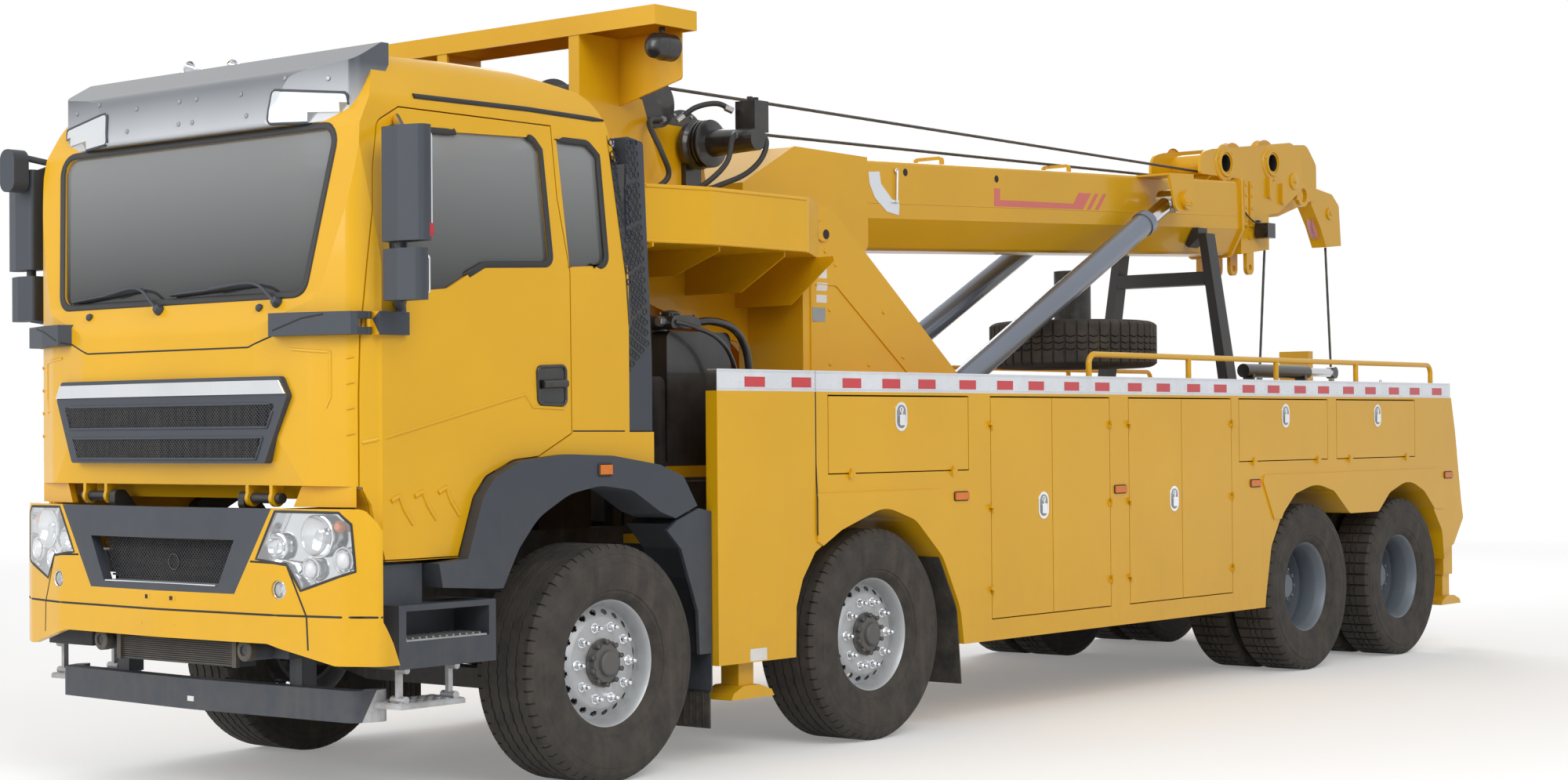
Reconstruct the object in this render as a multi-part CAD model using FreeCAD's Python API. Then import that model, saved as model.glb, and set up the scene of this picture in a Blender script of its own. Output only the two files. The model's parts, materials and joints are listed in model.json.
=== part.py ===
import FreeCAD, Part

# Heavy 8x4 wrecker: cab-over truck, locker body, folding boom with two
# winches, four stabilisers and an underlift at the rear.
# Millimetres. X points forward, Y to the left, Z up from the ground.
# Stations along X below are measured from the front axle, and heights
# with the tyres pressed flat by the load. Every solid is moved by
# FRONT_AXLE_X and TYRE_SINK when it is written, which puts the origin
# on the ground under the middle of the truck, on round tyres.

import math
import os
from typing import Sequence

Vector = FreeCAD.Vector

# Driving dimensions of the whole truck
FRONT_AXLE_X = 3860.0
STEER_AXLES = (0.0, -1950.0)
DRIVE_AXLES = (-6550.0, -7900.0)
WHEEL_Z = 505.0
TYRE_R = 537.0
TYRE_SINK = TYRE_R - WHEEL_Z
BODY_Y = 1250.0
CAB_Y = 1150.0
CAB_PIVOT = (1470.0, 1280.0)
CAB_PIN_R = 22.0
BUMPER_TOP = 1240.0
RUNNING_GAP = 6.0
SKIN = 4.0

# Wheels
STEER_TYRE_WIDTH = 378.0
STEER_TYRE_Y = 1028.0
DRIVE_TYRE_WIDTH = 300.0
DRIVE_TYRE_Y = (740.0, 1080.0)
RIM_SEAT_R = 286.0
RIM_FLANGE_R = 299.0
SEAT_GAP = 0.3
SPINDLE_R = 45.0
HUB_BORE_R = 45.08
KINGPIN_Y = 920.0
SPRING_EYE_Z = 660.0

# Chassis frame
RAIL_Y = 430.0
RAIL_WIDTH = 85.0
RAIL_TOP = 1080.0
RAIL_BOTTOM = 780.0
RAIL_FRONT = 1250.0
RAIL_REAR = -8600.0
SUBFRAME_TOP = 1290.0
GEARBOX_REAR = -1480.0

# Locker body
BODY_FRONT = -660.0
PANEL_JOINT = -1400.0
BODY_REAR = -8640.0
BODY_TOP = 1737.0
BODY_BOTTOM = 410.0
BODY_INNER_Y = 700.0
TRIM_RISE = 9.0
RAIL_STRIP_TOP = 1840.0
DECK_Z = 1600.0
LOWER_DOOR_Z = (522.0, 1722.0)
UPPER_DOOR_Z = (1326.0, 1722.0)
DOOR_THICKNESS = 22.0
HINGE_Y = BODY_Y + 12.0
HINGE_PIN_R = 4.0
PIN_GAP = 0.08
SLIDE_GAP = 0.1
LOWER_HINGE_Z = (680.0, 1120.0, 1565.0)
LOWER_DOORS = ((-2900.0, -3500.0, -4100.0), (-4300.0, -4900.0, -5500.0))
UPPER_DOORS = ((-1495.0, -2700.0), (-5590.0, -6765.0), (-6885.0, -8055.0))

# Mast, boom and winches
MAST_Y = 690.0
MAST_INNER_Y = 480.0
BOOM_PIN = (-2160.0, 2600.0)
BOOM_Y = 250.0
BOOM_TILT = 2.4
BOOM_WALL = 12.0
BOOM_SLACK = 10.0
HEAD_TUBES = ((-7301.0, 3385.0), (-7974.0, 3437.0))
HEAD_NOSE_X = -7520.0
LIFT_PIN = (-3700.0, 1739.0)
LIFT_EYE = (-6260.0, 3040.0)
LIFT_Y = 376.0
LIFT_PIN_R = 32.0
LIFT_BARREL_R = 74.0
LIFT_BARREL_WALL = 14.0
LIFT_ROD_GAP = 8.0
LIFT_ROD_R = LIFT_BARREL_R - LIFT_BARREL_WALL - LIFT_ROD_GAP
PISTON_GAP = 0.5
BOOM_REST_X = (-6880.0, -6760.0)
DRUM_FRONT = (-1130.0, 3200.0)
DRUM_REAR = (-1540.0, 3030.0)
DRUM_FLANGE_R = 191.0
DRUM_CORE_R = 118.0
PLATFORM_Z = (2440.0, 2720.0)
GANTRY_Y = 1002.0
GANTRY_X = (-820.0, -520.0)
GANTRY_Z = (3473.0, 3566.0)

# Stabilisers and underlift
LEG_Y = 1115.0
LEG_HALF = 55.0
FRONT_LEG_X = -950.0
REAR_LEG_X = -8690.0
LIFT_HINGE = (-8930.0, 640.0)


def box(x0: float, x1: float, y0: float, y1: float, z0: float, z1: float):
    """Return a box between two corners given in any order."""
    low = Vector(min(x0, x1), min(y0, y1), min(z0, z1))
    return Part.makeBox(abs(x1 - x0), abs(y1 - y0), abs(z1 - z0), low)


def both_y(shape):
    """Return a shape with its mirror image on the right-hand side."""
    return [shape, shape.mirror(Vector(0, 0, 0), Vector(0, 1, 0))]


def fuse(shapes: Sequence):
    """Join shapes that touch and clean the result."""
    first, rest = shapes[0], list(shapes[1:])
    joined = first.fuse(rest) if rest else first
    solids = [solid.removeSplitter() for solid in joined.Solids]
    return solids[0] if len(solids) == 1 else Part.makeCompound(solids)


def corner_arc(before, corner, after, radius: float):
    """Return the two tangent points and the middle of a rounded corner."""
    to_before = (before - corner).normalize()
    to_after = (after - corner).normalize()
    half = to_before.getAngle(to_after) / 2.0
    reach = radius / math.tan(half)
    middle_way = (to_before + to_after).normalize()
    centre = corner + middle_way * (radius / math.sin(half))
    return (
        corner + to_before * reach,
        centre - middle_way * radius,
        corner + to_after * reach,
    )


def outline(points: Sequence, place) -> Part.Wire:
    """Make a closed wire. A point is (u, v) or (u, v, corner radius)."""
    corners = [place(p[0], p[1]) for p in points]
    count = len(points)
    spans = []
    for i, point in enumerate(points):
        radius = point[2] if len(point) > 2 else 0.0
        if radius:
            before, after = corners[i - 1], corners[(i + 1) % count]
            spans.append(corner_arc(before, corners[i], after, radius))
        else:
            spans.append((corners[i],))
    edges = []
    for i, span in enumerate(spans):
        if len(span) == 3:
            edges.append(Part.Arc(*span).toShape())
        start, end = span[-1], spans[(i + 1) % count][0]
        if start.distanceToPoint(end) > 1e-6:
            edges.append(Part.LineSegment(start, end).toShape())
    return Part.Wire(edges)


def prism_xz(points: Sequence, y0: float, y1: float):
    """Extrude a side outline of (x, z) points along Y."""
    face = Part.Face(outline(points, lambda x, z: Vector(x, min(y0, y1), z)))
    return face.extrude(Vector(0, abs(y1 - y0), 0))


def inset_xz(points: Sequence, gap: float, y0: float, y1: float):
    """Extrude a side outline drawn in by a gap, or out if it is negative."""
    wire = outline(points, lambda x, z: Vector(x, min(y0, y1), z))
    face = Part.Face(wire.makeOffset2D(-gap, 2))
    return face.extrude(Vector(0, abs(y1 - y0), 0))


def prism_yz(points: Sequence, x0: float, x1: float):
    """Extrude a front outline of (y, z) points along X."""
    face = Part.Face(outline(points, lambda y, z: Vector(min(x0, x1), y, z)))
    return face.extrude(Vector(abs(x1 - x0), 0, 0))


def prism_xy(points: Sequence, z0: float, z1: float):
    """Extrude a plan outline of (x, y) points along Z."""
    face = Part.Face(outline(points, lambda x, y: Vector(x, y, min(z0, z1))))
    return face.extrude(Vector(0, 0, abs(z1 - z0)))


def rod(start, end, radius: float):
    """Return a cylinder between two points."""
    start, end = Vector(*start), Vector(*end)
    return Part.makeCylinder(radius, (end - start).Length, start, end - start)


def pipe(start, end, outer: float, inner: float):
    """Return a tube between two points."""
    return rod(start, end, outer).cut(rod(start, end, inner))


def cross_rod(x: float, z: float, y0: float, y1: float, radius: float):
    """Return a cylinder along Y."""
    return rod((x, min(y0, y1), z), (x, max(y0, y1), z), radius)


def revolve_y(profile: Sequence, x: float, z: float):
    """Turn a (radius, y) profile about a line along Y."""
    wire = outline(profile, lambda r, y: Vector(x + r, y, z))
    face = Part.Face(wire)
    return face.revolve(Vector(x, 0, z), Vector(0, 1, 0), 360)


def tilted(shape, pivot, degrees: float):
    """Turn a shape about a line along Y through (x, z)."""
    turned = shape.copy()
    turned.rotate(Vector(pivot[0], 0, pivot[1]), Vector(0, 1, 0), degrees)
    return turned


def write(name: str, shapes) -> None:
    """Write one named piece in the truck's own frame."""
    solids = shapes if isinstance(shapes, list) else [shapes]
    piece = solids[0] if len(solids) == 1 else Part.makeCompound(solids)
    piece = piece.copy()
    piece.translate(Vector(FRONT_AXLE_X, 0, TYRE_SINK))
    piece.exportStep(os.path.join("parts", name + ".step"))


def tyre(x: float, y: float, width: float, z: float = WHEEL_Z):
    """Return one tyre, its axis along Y."""
    radius, half = TYRE_R, width / 2.0
    bead = half * 0.72
    profile = [
        (RIM_SEAT_R + SEAT_GAP, y - bead),
        (RIM_FLANGE_R + 14, y - half * 0.86),
        (radius * 0.80, y - half),
        (radius * 0.95, y - half * 0.93),
        (radius, y - half * 0.80),
        (radius, y + half * 0.80),
        (radius * 0.95, y + half * 0.93),
        (radius * 0.80, y + half),
        (RIM_FLANGE_R + 14, y + half * 0.86),
        (RIM_SEAT_R + SEAT_GAP, y + bead),
    ]
    return revolve_y(profile, x, z)


def rim_barrel(y0: float, y1: float):
    """Return the (radius, y) profile of a rim's barrel between flanges."""
    return [
        (RIM_SEAT_R, y0),
        (RIM_SEAT_R, y1),
        (RIM_SEAT_R - 14, y1),
        (RIM_SEAT_R - 30, y1 - 60),
        (RIM_SEAT_R - 30, y0 + 60),
        (RIM_SEAT_R - 14, y0),
    ]


def slots(x: float, z: float, y0: float, y1: float, ring: float, radius: float):
    """Return ten hand holes round a wheel disc."""
    holes = []
    for i in range(10):
        turn = math.radians(36 * i + 18)
        place = (x + ring * math.cos(turn), z + ring * math.sin(turn))
        holes.append(cross_rod(*place, y0, y1, radius))
    return holes


def steer_wheel(x: float) -> list:
    """Return a left steered wheel: its tyre, and its rim with the hub."""
    inner = STEER_TYRE_Y - STEER_TYRE_WIDTH * 0.36
    outer = STEER_TYRE_Y + STEER_TYRE_WIDTH * 0.36
    face_y = outer - 22
    barrel = revolve_y(rim_barrel(inner, outer), x, WHEEL_Z)
    disc_profile = [
        (HUB_BORE_R, face_y - 130),
        (165, face_y - 130),
        (165, face_y - 22),
        (RIM_SEAT_R - 30.5, face_y - 66),
        (RIM_SEAT_R - 30.5, face_y - 52),
        (172, face_y - 6),
        (112, face_y - 6),
        (100, face_y + 46),
        (60, face_y + 56),
        (0, face_y + 56),
        (0, face_y + 34),
        (HUB_BORE_R, face_y + 34),
    ]
    disc = revolve_y(disc_profile, x, WHEEL_Z)
    disc = disc.cut(slots(x, WHEEL_Z, face_y - 90, face_y + 10, 214, 17))
    web = revolve_y([(RIM_SEAT_R - 32, face_y - 72), (RIM_SEAT_R - 15, face_y - 72),
                     (RIM_SEAT_R - 15, face_y - 50), (RIM_SEAT_R - 32, face_y - 50)], x, WHEEL_Z)
    return [tyre(x, STEER_TYRE_Y, STEER_TYRE_WIDTH), fuse([barrel, web, disc])]


def drive_wheel(x: float) -> list:
    """Return a left twin wheel: two tyres, and their rims with the hub."""
    near, far = DRIVE_TYRE_Y
    reach = DRIVE_TYRE_WIDTH * 0.36
    middle = (near + far) / 2.0
    profile = [
        (HUB_BORE_R + 20, near - 40),
        (150, near - 40),
        (165, middle - 22),
        (RIM_SEAT_R - 30.5, middle - 14),
        (RIM_SEAT_R - 30.5, middle + 14),
        (172, middle + 22),
        (128, middle + 26),
        (118, middle + 128),
        (70, middle + 150),
        (0, middle + 150),
        (0, middle + 120),
        (HUB_BORE_R + 20, middle + 120),
    ]
    hub = revolve_y(profile, x, WHEEL_Z)
    hub = hub.cut(slots(x, WHEEL_Z, middle - 40, middle + 40, 214, 17))
    joiner = revolve_y([(RIM_SEAT_R - 32, near + reach - 4), (RIM_SEAT_R - 15, near + reach - 4),
                        (RIM_SEAT_R - 15, far - reach + 4), (RIM_SEAT_R - 32, far - reach + 4)], x, WHEEL_Z)
    rims = [revolve_y(rim_barrel(y - reach, y + reach), x, WHEEL_Z) for y in (near, far)]
    tyres = [tyre(x, y, DRIVE_TYRE_WIDTH) for y in (near, far)]
    return tyres + [fuse(rims + [joiner, hub])]


def knuckle(x: float):
    """Return a left steering knuckle: yoke, spindle and track-rod arm."""
    web, back = KINGPIN_Y + 54, KINGPIN_Y + 84
    low, high, thick = WHEEL_Z - 78, WHEEL_Z + 78, 42
    yoke = prism_yz([(KINGPIN_Y - 44, low - thick, 20), (KINGPIN_Y - 44, low), (web, low), (web, high),
                     (KINGPIN_Y - 44, high), (KINGPIN_Y - 44, high + thick, 20), (back, high + thick, 30),
                     (back, low - thick, 30)], x - 50, x + 50)
    spindle = cross_rod(x, WHEEL_Z, back - 10, KINGPIN_Y + 232, SPINDLE_R)
    arm = box(x - 45, x - 225, KINGPIN_Y - 40, KINGPIN_Y - 12, low - thick, low - 8)
    return fuse([yoke, spindle, arm])


def make_wheels() -> None:
    """Write the eight wheels and the four knuckles."""
    for i, x in enumerate(STEER_AXLES):
        for side, pick in (("left", 0), ("right", 1)):
            write(f"wheel_{i + 1}_{side}", [both_y(s)[pick] for s in steer_wheel(x)])
            write(f"knuckle_{i + 1}_{side}", both_y(knuckle(x))[pick])
    for i, x in enumerate(DRIVE_AXLES):
        for side, pick in (("left", 0), ("right", 1)):
            write(f"wheel_{i + 3}_{side}", [both_y(s)[pick] for s in drive_wheel(x)])


def steer_beam(x: float):
    """Return a steered axle: dropped beam, eyes, kingpins and springs."""
    half = [(0, 350), (RAIL_Y - 20, 350, 60), (KINGPIN_Y - 100, 440, 60), (KINGPIN_Y, 440),
            (KINGPIN_Y, WHEEL_Z + 70), (KINGPIN_Y - 110, WHEEL_Z + 70, 60), (RAIL_Y + 20, 445, 60), (0, 445)]
    left = prism_yz(half, x - 42, x + 42)
    eye = rod((x, KINGPIN_Y, WHEEL_Z - 72), (x, KINGPIN_Y, WHEEL_Z + 72), 46)
    pin = rod((x, KINGPIN_Y, WHEEL_Z - 78), (x, KINGPIN_Y, WHEEL_Z + 78), 24)
    return fuse([piece for part in (left, eye, pin, leaf_spring(x, 445, 1500, 4)) for piece in both_y(part)])


def leaf_spring(x: float, seat: float, length: float, leaves: int):
    """Return a left leaf spring pack clamped on an axle seat."""
    thick, width, rise = 16.0, 90.0, 150.0
    stack = []
    for i in range(leaves):
        reach = length / 2.0 * (1 - 0.16 * i)
        drop = (leaves - 1 - i) * thick
        lift = rise * (1 - 0.16 * i) ** 2
        low = seat + 1 + drop
        points = [(x - reach, low + lift), (x - 60, low), (x + 60, low), (x + reach, low + lift),
                  (x + reach, low + lift + thick), (x + 60, low + thick),
                  (x - 60, low + thick), (x - reach, low + lift + thick)]
        stack.append(prism_xz(points, RAIL_Y - width, RAIL_Y))
    tower = box(x - 60, x + 60, RAIL_Y - width, RAIL_Y, seat, seat + 2)
    return fuse(stack + [tower])


def drive_beam(x: float):
    """Return a driven axle: banjo housing, tubes and trailing seats."""
    bowl = Part.makeSphere(235, Vector(x, 0, WHEEL_Z + 30))
    bowl = bowl.common(box(x - 235, x + 235, -190, 190, 260, 800))
    nose = rod((x, 0, WHEEL_Z + 60), (x + 330, 0, WHEEL_Z + 110), 95)
    tube_half = cross_rod(x, WHEEL_Z, 0, 640, 88)
    end = cross_rod(x, WHEEL_Z, 640, 960, 65)
    seat = box(x - 90, x + 90, RAIL_Y - 90, RAIL_Y, WHEEL_Z, 620)
    return fuse([bowl, nose] + both_y(tube_half) + both_y(end) + both_y(seat))


def make_axles() -> None:
    """Write the axles with their springs and the drive line."""
    pieces = []
    for x in STEER_AXLES:
        pieces.append(steer_beam(x))
    middle = sum(DRIVE_AXLES) / 2.0
    rear, front = DRIVE_AXLES[1], DRIVE_AXLES[0]
    pack = prism_xz([(rear - 60, 620), (rear + 60, 620), (middle - 120, 700), (middle + 120, 700),
                     (front - 60, 620), (front + 60, 620), (front + 60, 645), (middle + 130, RAIL_BOTTOM),
                     (middle - 130, RAIL_BOTTOM), (rear - 60, 645)], RAIL_Y - 85, RAIL_Y - 5)
    beams = [drive_beam(x) for x in DRIVE_AXLES]
    link = rod((DRIVE_AXLES[0] - 200, 0, WHEEL_Z + 60), (DRIVE_AXLES[1] + 300, 0, WHEEL_Z + 100), 45)
    shaft = rod((DRIVE_AXLES[0] + 320, 0, WHEEL_Z + 108), (GEARBOX_REAR - 4, 0, 800), 55)
    pieces.append(fuse(beams + both_y(pack) + [link, shaft]))
    write("axles", pieces)


def channel_rail():
    """Return the left frame rail, a channel open inwards."""
    outer = box(RAIL_REAR, RAIL_FRONT, RAIL_Y - RAIL_WIDTH, RAIL_Y, RAIL_BOTTOM, RAIL_TOP)
    hollow = box(RAIL_REAR - 1, RAIL_FRONT + 1, RAIL_Y - RAIL_WIDTH - 1, RAIL_Y - 9,
                 RAIL_BOTTOM + 9, RAIL_TOP - 9)
    return outer.cut(hollow)


def make_chassis() -> None:
    """Write the ladder frame with its sub-frame, and the engine block."""
    pieces = both_y(channel_rail())
    inner = RAIL_Y - 9.0
    for x in (1150, -1600, -2700, -3600, -4600, -5600, -6200, -7225, -8450):
        pieces.append(box(x - 45, x + 45, -inner, inner, RAIL_BOTTOM + 90, RAIL_TOP - 60))
    pieces += both_y(box(-900, RAIL_REAR, RAIL_Y - 70, RAIL_Y, RAIL_TOP, SUBFRAME_TOP))
    for x in (-940, -2300, -3300, -4400, -5500, -6600, -7700, -8550):
        pieces.append(box(x - 40, x + 40, -RAIL_Y, RAIL_Y, RAIL_TOP + 20, SUBFRAME_TOP - 20))
    for x in (-3400, -5300, -8300):
        bracket = prism_yz([(RAIL_Y, 900), (RAIL_Y, RAIL_TOP), (BODY_INNER_Y, RAIL_TOP), (BODY_INNER_Y, 1040)],
                           x - 20, x + 20)
        pieces += both_y(bracket)
    for axle in STEER_AXLES:
        for x in (axle + 725, axle - 725):
            pieces += both_y(box(x - 35, x + 35, RAIL_Y - 88, RAIL_Y, SPRING_EYE_Z, RAIL_BOTTOM))
    write("chassis_frame", [fuse(pieces + deck() + cab_mounts()), fuse(boom_rest())])
    block = box(760, -520, -330, 330, 640, 1200)
    gearbox = prism_xz([(-520, 660), (-520, 1080), (-900, 1040), (GEARBOX_REAR, 900), (GEARBOX_REAR, 700)],
                       -230, 230)
    mounts = both_y(box(300, 420, 320, RAIL_Y - RAIL_WIDTH, RAIL_BOTTOM, RAIL_BOTTOM + 90))
    write("engine_block", fuse([block, gearbox] + mounts))


def cab_mounts() -> list:
    """Return the two brackets with the pins that the cab tilts on."""
    x, z = CAB_PIVOT
    plate = prism_xz([(1150, 900), (1150, RAIL_TOP), (x - 110, z - 70, 30), (x - 28, z + 28, 20),
                      (x + 28, z + 28, 25), (x + 28, z - 30, 25), (1340, 960), (RAIL_FRONT, 900)],
                     RAIL_Y, RAIL_Y + 40)
    pin = cross_rod(x, z, RAIL_Y + 30, 690, CAB_PIN_R)
    return both_y(fuse([plate, pin]))


def deck() -> list:
    """Return the deck between the locker bodies, on its risers."""
    front = LIFT_PIN[0] - 140
    plate = box(front, BODY_REAR, -BODY_INNER_Y, BODY_INNER_Y, DECK_Z - 12, DECK_Z)
    risers = [box(x - 30, x + 30, RAIL_Y - 70, RAIL_Y, SUBFRAME_TOP, DECK_Z - 12)
              for x in (-4400, -5500, -6820, -7700, -8560)]
    return [plate] + [piece for riser in risers for piece in both_y(riser)]


def boom_rest() -> list:
    """Return the black trestle with the two pads the boom lies between."""
    low, high = BOOM_REST_X
    foot = DECK_Z + SEAT_GAP
    leg = prism_yz([(300, 2860), (360, 2860), (560, foot), (480, foot)], low, high)
    pad = prism_yz([(258, 2900), (196, 2788), (226, 2768), (302, 2830), (302, 2900)], low, high)
    bar = box(low, high, -345, 345, 2510, 2600)
    sill = box(low, high, -500, 500, DECK_Z + SEAT_GAP, DECK_Z + 60)
    return both_y(leg) + both_y(pad) + [bar, sill]


def bumper_block(inset: float):
    """Return the bumper's outer form, or a smaller one inside it."""
    half = [(1250, 1235), (1400, 1230, 60), (1490, 1080, 160), (1562, 760, 300)]
    left = [(p[0] - inset, p[1] - inset, *p[2:]) for p in half]
    right = [(p[0], -p[1], *p[2:]) for p in left]
    plan = right + [(1600 - inset, 0, 900)] + left[::-1]
    return prism_xy(plan, 600, BUMPER_TOP)


LAMP = [(630, 1029), (748, 1232), (1070, 1228), (1120, 1180), (1135, 985), (879, 902), (810, 1008)]
GRILLE_FRAME = [(-500, 880), (500, 880), (728, BUMPER_TOP), (-728, BUMPER_TOP)]
FOG_LAMP_R = 40.0


def make_front_end() -> None:
    """Write the bumper, the lamps, the radiator and the underrun bar."""
    side = prism_xz([(1310, 599), (1640, 599), (1640, BUMPER_TOP + 1), (1440, BUMPER_TOP + 1, 30),
                     (1393, 1150), (1393, 780), (1345, 690, 40)], -1300, 1300)
    lift = prism_yz([(-1050, 599), (-700, 680), (700, 680), (1050, 599)], 1200, 1700)
    mouth = prism_yz(GRILLE_FRAME, 1300, 1700)
    lamp_hole = prism_yz(LAMP, 1350, 1700)
    skin = bumper_block(0).common(side)
    shell = skin.cut([bumper_block(28), lift, mouth] + both_y(lamp_hole))
    stay = box(RAIL_FRONT + SEAT_GAP, 1330, RAIL_Y - 80, RAIL_Y, 800, 900)
    beam = box(1330, 1372, -900, 900, 800, 880)
    arm = box(1372, 1545, 742, 800, 810, 870)
    shell = shell.cut(both_y(rod((1450, 766, 905), (1700, 766, 905), FOG_LAMP_R)))
    cups = both_y(pipe((1470, 766, 905), (1560, 766, 905), FOG_LAMP_R + 8, FOG_LAMP_R).common(bumper_block(4)))
    backs = both_y(rod((1465, 766, 905), (1480, 766, 905), FOG_LAMP_R + 8))
    write("bumper", fuse([shell, beam] + cups + backs + both_y(arm) + both_y(stay)))
    lamp = skin.common(lamp_hole).cut(bumper_block(80))
    write("headlamps", both_y(lamp))

    rim = skin.cut([bumper_block(45), lift]).common(mouth)
    intake = prism_yz([(-397, 909), (397, 909), (499, 1106), (-499, 1106)], 1400, 1700)
    backing = box(1478, 1494, -RAIL_Y, RAIL_Y, 880, 1225)
    ribs = both_y(box(1490, 1545, 500, 512, 1120, 1220)) + both_y(box(1490, 1550, 360, 372, 1120, 1220))
    web = box(1478, 1494, -512, 512, 1120, 1196)
    bars = [box(1494, 1510, -430, 430, z, z + 8) for z in (930, 975, 1020, 1065)]
    radiator = box(1380, 1480, -400, 400, 560, 1180)
    under = prism_xy([(1250, -1060, 60), (1370, -1010, 60), (1420, 0, 2200), (1370, 1010, 60),
                      (1250, 1060, 60), (1190, 1030, 20), (1300, 960, 60), (1340, 0, 2200), (1300, -960, 60),
                      (1190, -1030, 20)], 352, 485)
    hangers = both_y(box(1250, 1330, 560, 640, 480, 640))
    tow_pins = both_y(rod((1250, 500, 640), (1520, 500, 640), 45))
    carrier = box(1180, 1400, -640, 640, 600, 680)
    posts = both_y(box(1180, 1245, RAIL_Y - 80, RAIL_Y, 680, RAIL_BOTTOM))
    frame = fuse([rim.cut(intake), backing, web, radiator, under, carrier] + ribs + bars + hangers
                 + tow_pins + posts)
    write("front_frame", [frame] + steps_and_flaps())


def steps_and_flaps() -> list:
    """Return the step wells, the rear cab guards and the mud flaps."""
    well = box(750, 1300, 880, 1215, 578, 840)
    well = well.cut(box(790, 1260, 1000, 1216, 690, 815))
    upper = box(1085, 1300, 1080, 1120, 839, 1005)
    step = box(930, 1290, 1010, 1215, 412, 432)
    legs = [box(x, x + 25, 1150, 1170, 431, 579) for x in (960, 1240)]
    carrier = box(1000, 1100, RAIL_Y, 885, 790, 838)
    pieces = both_y(fuse([well, upper, step, carrier] + legs))
    fin = prism_xz([(-345, 1090), (-410, 1133), (-566, 1187), (-654, 1170), (-654, 505), (-565, 505),
                    (-556, 706), (-440, 1003)], 1197, 1215)
    guard = prism_xz([(-405, 1118), (-566, 1170), (-654, 1170), (-654, 505), (-628, 505), (-620, 706),
                      (-590, 860), (-520, 1000)], 900, 1198)
    flap = box(-654, -646, 800, 1215, 330, 600)
    arm = box(-654, -620, RAIL_Y, 905, 960, 1010)
    return pieces + both_y(fuse([fin, guard, flap, arm]))


def arch_two():
    """Return the cutter of the second axle's arch in the side body."""
    return prism_xz([(-1230, 300), (-1240, 690), (-1290, 820), (-1390, 950), (-1590, 1050, 120),
                     (-1950, 1157, 300), (-2210, 1080, 200), (-2445, 880, 200), (-2600, 600, 300),
                     (-2645, 300)], BODY_INNER_Y - 200, BODY_Y + 100)


def arch_rear():
    """Return the cutter of the twin rear arches in the side body."""
    return prism_xz([(-5890, 300), (-5915, 480, 60), (-5990, 790, 120), (-6141, 1000, 120), (-6300, 1115, 120),
                     (-6580, 1174, 500), (-6830, 1120, 120), (-7050, 966, 60), (-7470, 966, 60),
                     (-7640, 1090, 120), (-7930, 1174, 400), (-8170, 1090, 120), (-8330, 966, 80),
                     (-8470, 800, 80), (-8540, 300)], BODY_INNER_Y - 200, BODY_Y + 100)


def body_outline() -> list:
    """Return the side body's outline."""
    return [(BODY_FRONT, 445), (BODY_FRONT, BODY_TOP), (BODY_REAR, BODY_TOP), (-8700, 1500), (-8790, 1000),
            (-8820, 882, 30), (-8660, 700), (-8500, 640), (-8490, 430), (-5905, BODY_BOTTOM),
            (-2645, BODY_BOTTOM), (-2400, 445)]


def locker_rooms() -> list:
    """Return each locker's hollow as (x front, x rear, z low, z high)."""
    rooms = [(front, rear, *LOWER_DOOR_Z) for front, _, rear in LOWER_DOORS]
    rooms += [(front, rear, *UPPER_DOOR_Z) for front, rear in UPPER_DOORS]
    return rooms


def arch_trims() -> list:
    """Return the raised panels over the left wheel arches."""
    out = BODY_Y + TRIM_RISE
    front = prism_xz([(PANEL_JOINT, 1000), (PANEL_JOINT, 1235), (-2440, 1235, 40), (-2560, 1090, 90),
                      (-2690, 760, 200), (-2730, BODY_BOTTOM + 2), (-2560, BODY_BOTTOM + 2)], BODY_Y - 1, out)
    rear = prism_xz([(-5880, 1200, 20), (-5900, 1242, 20), (-8400, 1242, 20), (-8500, 960), (-6020, 960)],
                    BODY_Y - 1, out)
    return [front.cut(arch_two()), rear.cut(arch_rear())]


def make_body() -> None:
    """Write the left and right locker bodies with their side rails."""
    inner, outer = BODY_INNER_Y, BODY_Y
    whole = prism_xz(body_outline(), inner, outer)
    rooms = [box(a, b, inner + SKIN, outer + 1, lo, hi) for a, b, lo, hi in locker_rooms()]
    voids = [
        box(BODY_FRONT - 20, PANEL_JOINT, inner - 1, outer - SKIN, 400, BODY_TOP + 1),
        box(BODY_FRONT + 1, BODY_FRONT - 20, inner - 1, outer - 70, 400, BODY_TOP + 1),
        box(-1500, -2696, inner + SKIN, outer - SKIN, 1180, UPPER_DOOR_Z[0] - 12),
        box(-2660, -2880, inner + SKIN, outer - SKIN, 440, BODY_TOP - SKIN - 20),
        box(-4112, -4288, inner + SKIN, outer - SKIN, 440, BODY_TOP - SKIN - 20),
        box(-5512, -5580, inner + SKIN, outer - SKIN, 440, BODY_TOP - SKIN - 20),
        box(-5610, -8060, inner + SKIN, outer - SKIN, 1190, UPPER_DOOR_Z[0] - 12),
        box(-8075, -8600, inner + SKIN, outer - SKIN, 1200, BODY_TOP - SKIN - 20),
        box(-8560, -8900, inner - 1, outer - SKIN, 300, 1190),
    ]
    hollow = whole.cut([arch_two(), arch_rear()] + rooms + voids)
    hinges = [hinge_half(place, False) for places in hinge_places().values() for place in places]
    body = fuse([hollow, handrail()] + arch_trims() + hinges)
    write("body_left", body)
    write("body_right", both_y(body)[1])
    strips = []
    for a, b in ((BODY_FRONT, PANEL_JOINT + 2), (PANEL_JOINT - 2, -8626)):
        strips += both_y(fuse([box(a, b, outer - 3, outer, BODY_TOP, RAIL_STRIP_TOP),
                               box(a, b, outer - 60, outer, RAIL_STRIP_TOP - 8, RAIL_STRIP_TOP)]))
    write("side_rails", strips)


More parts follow.
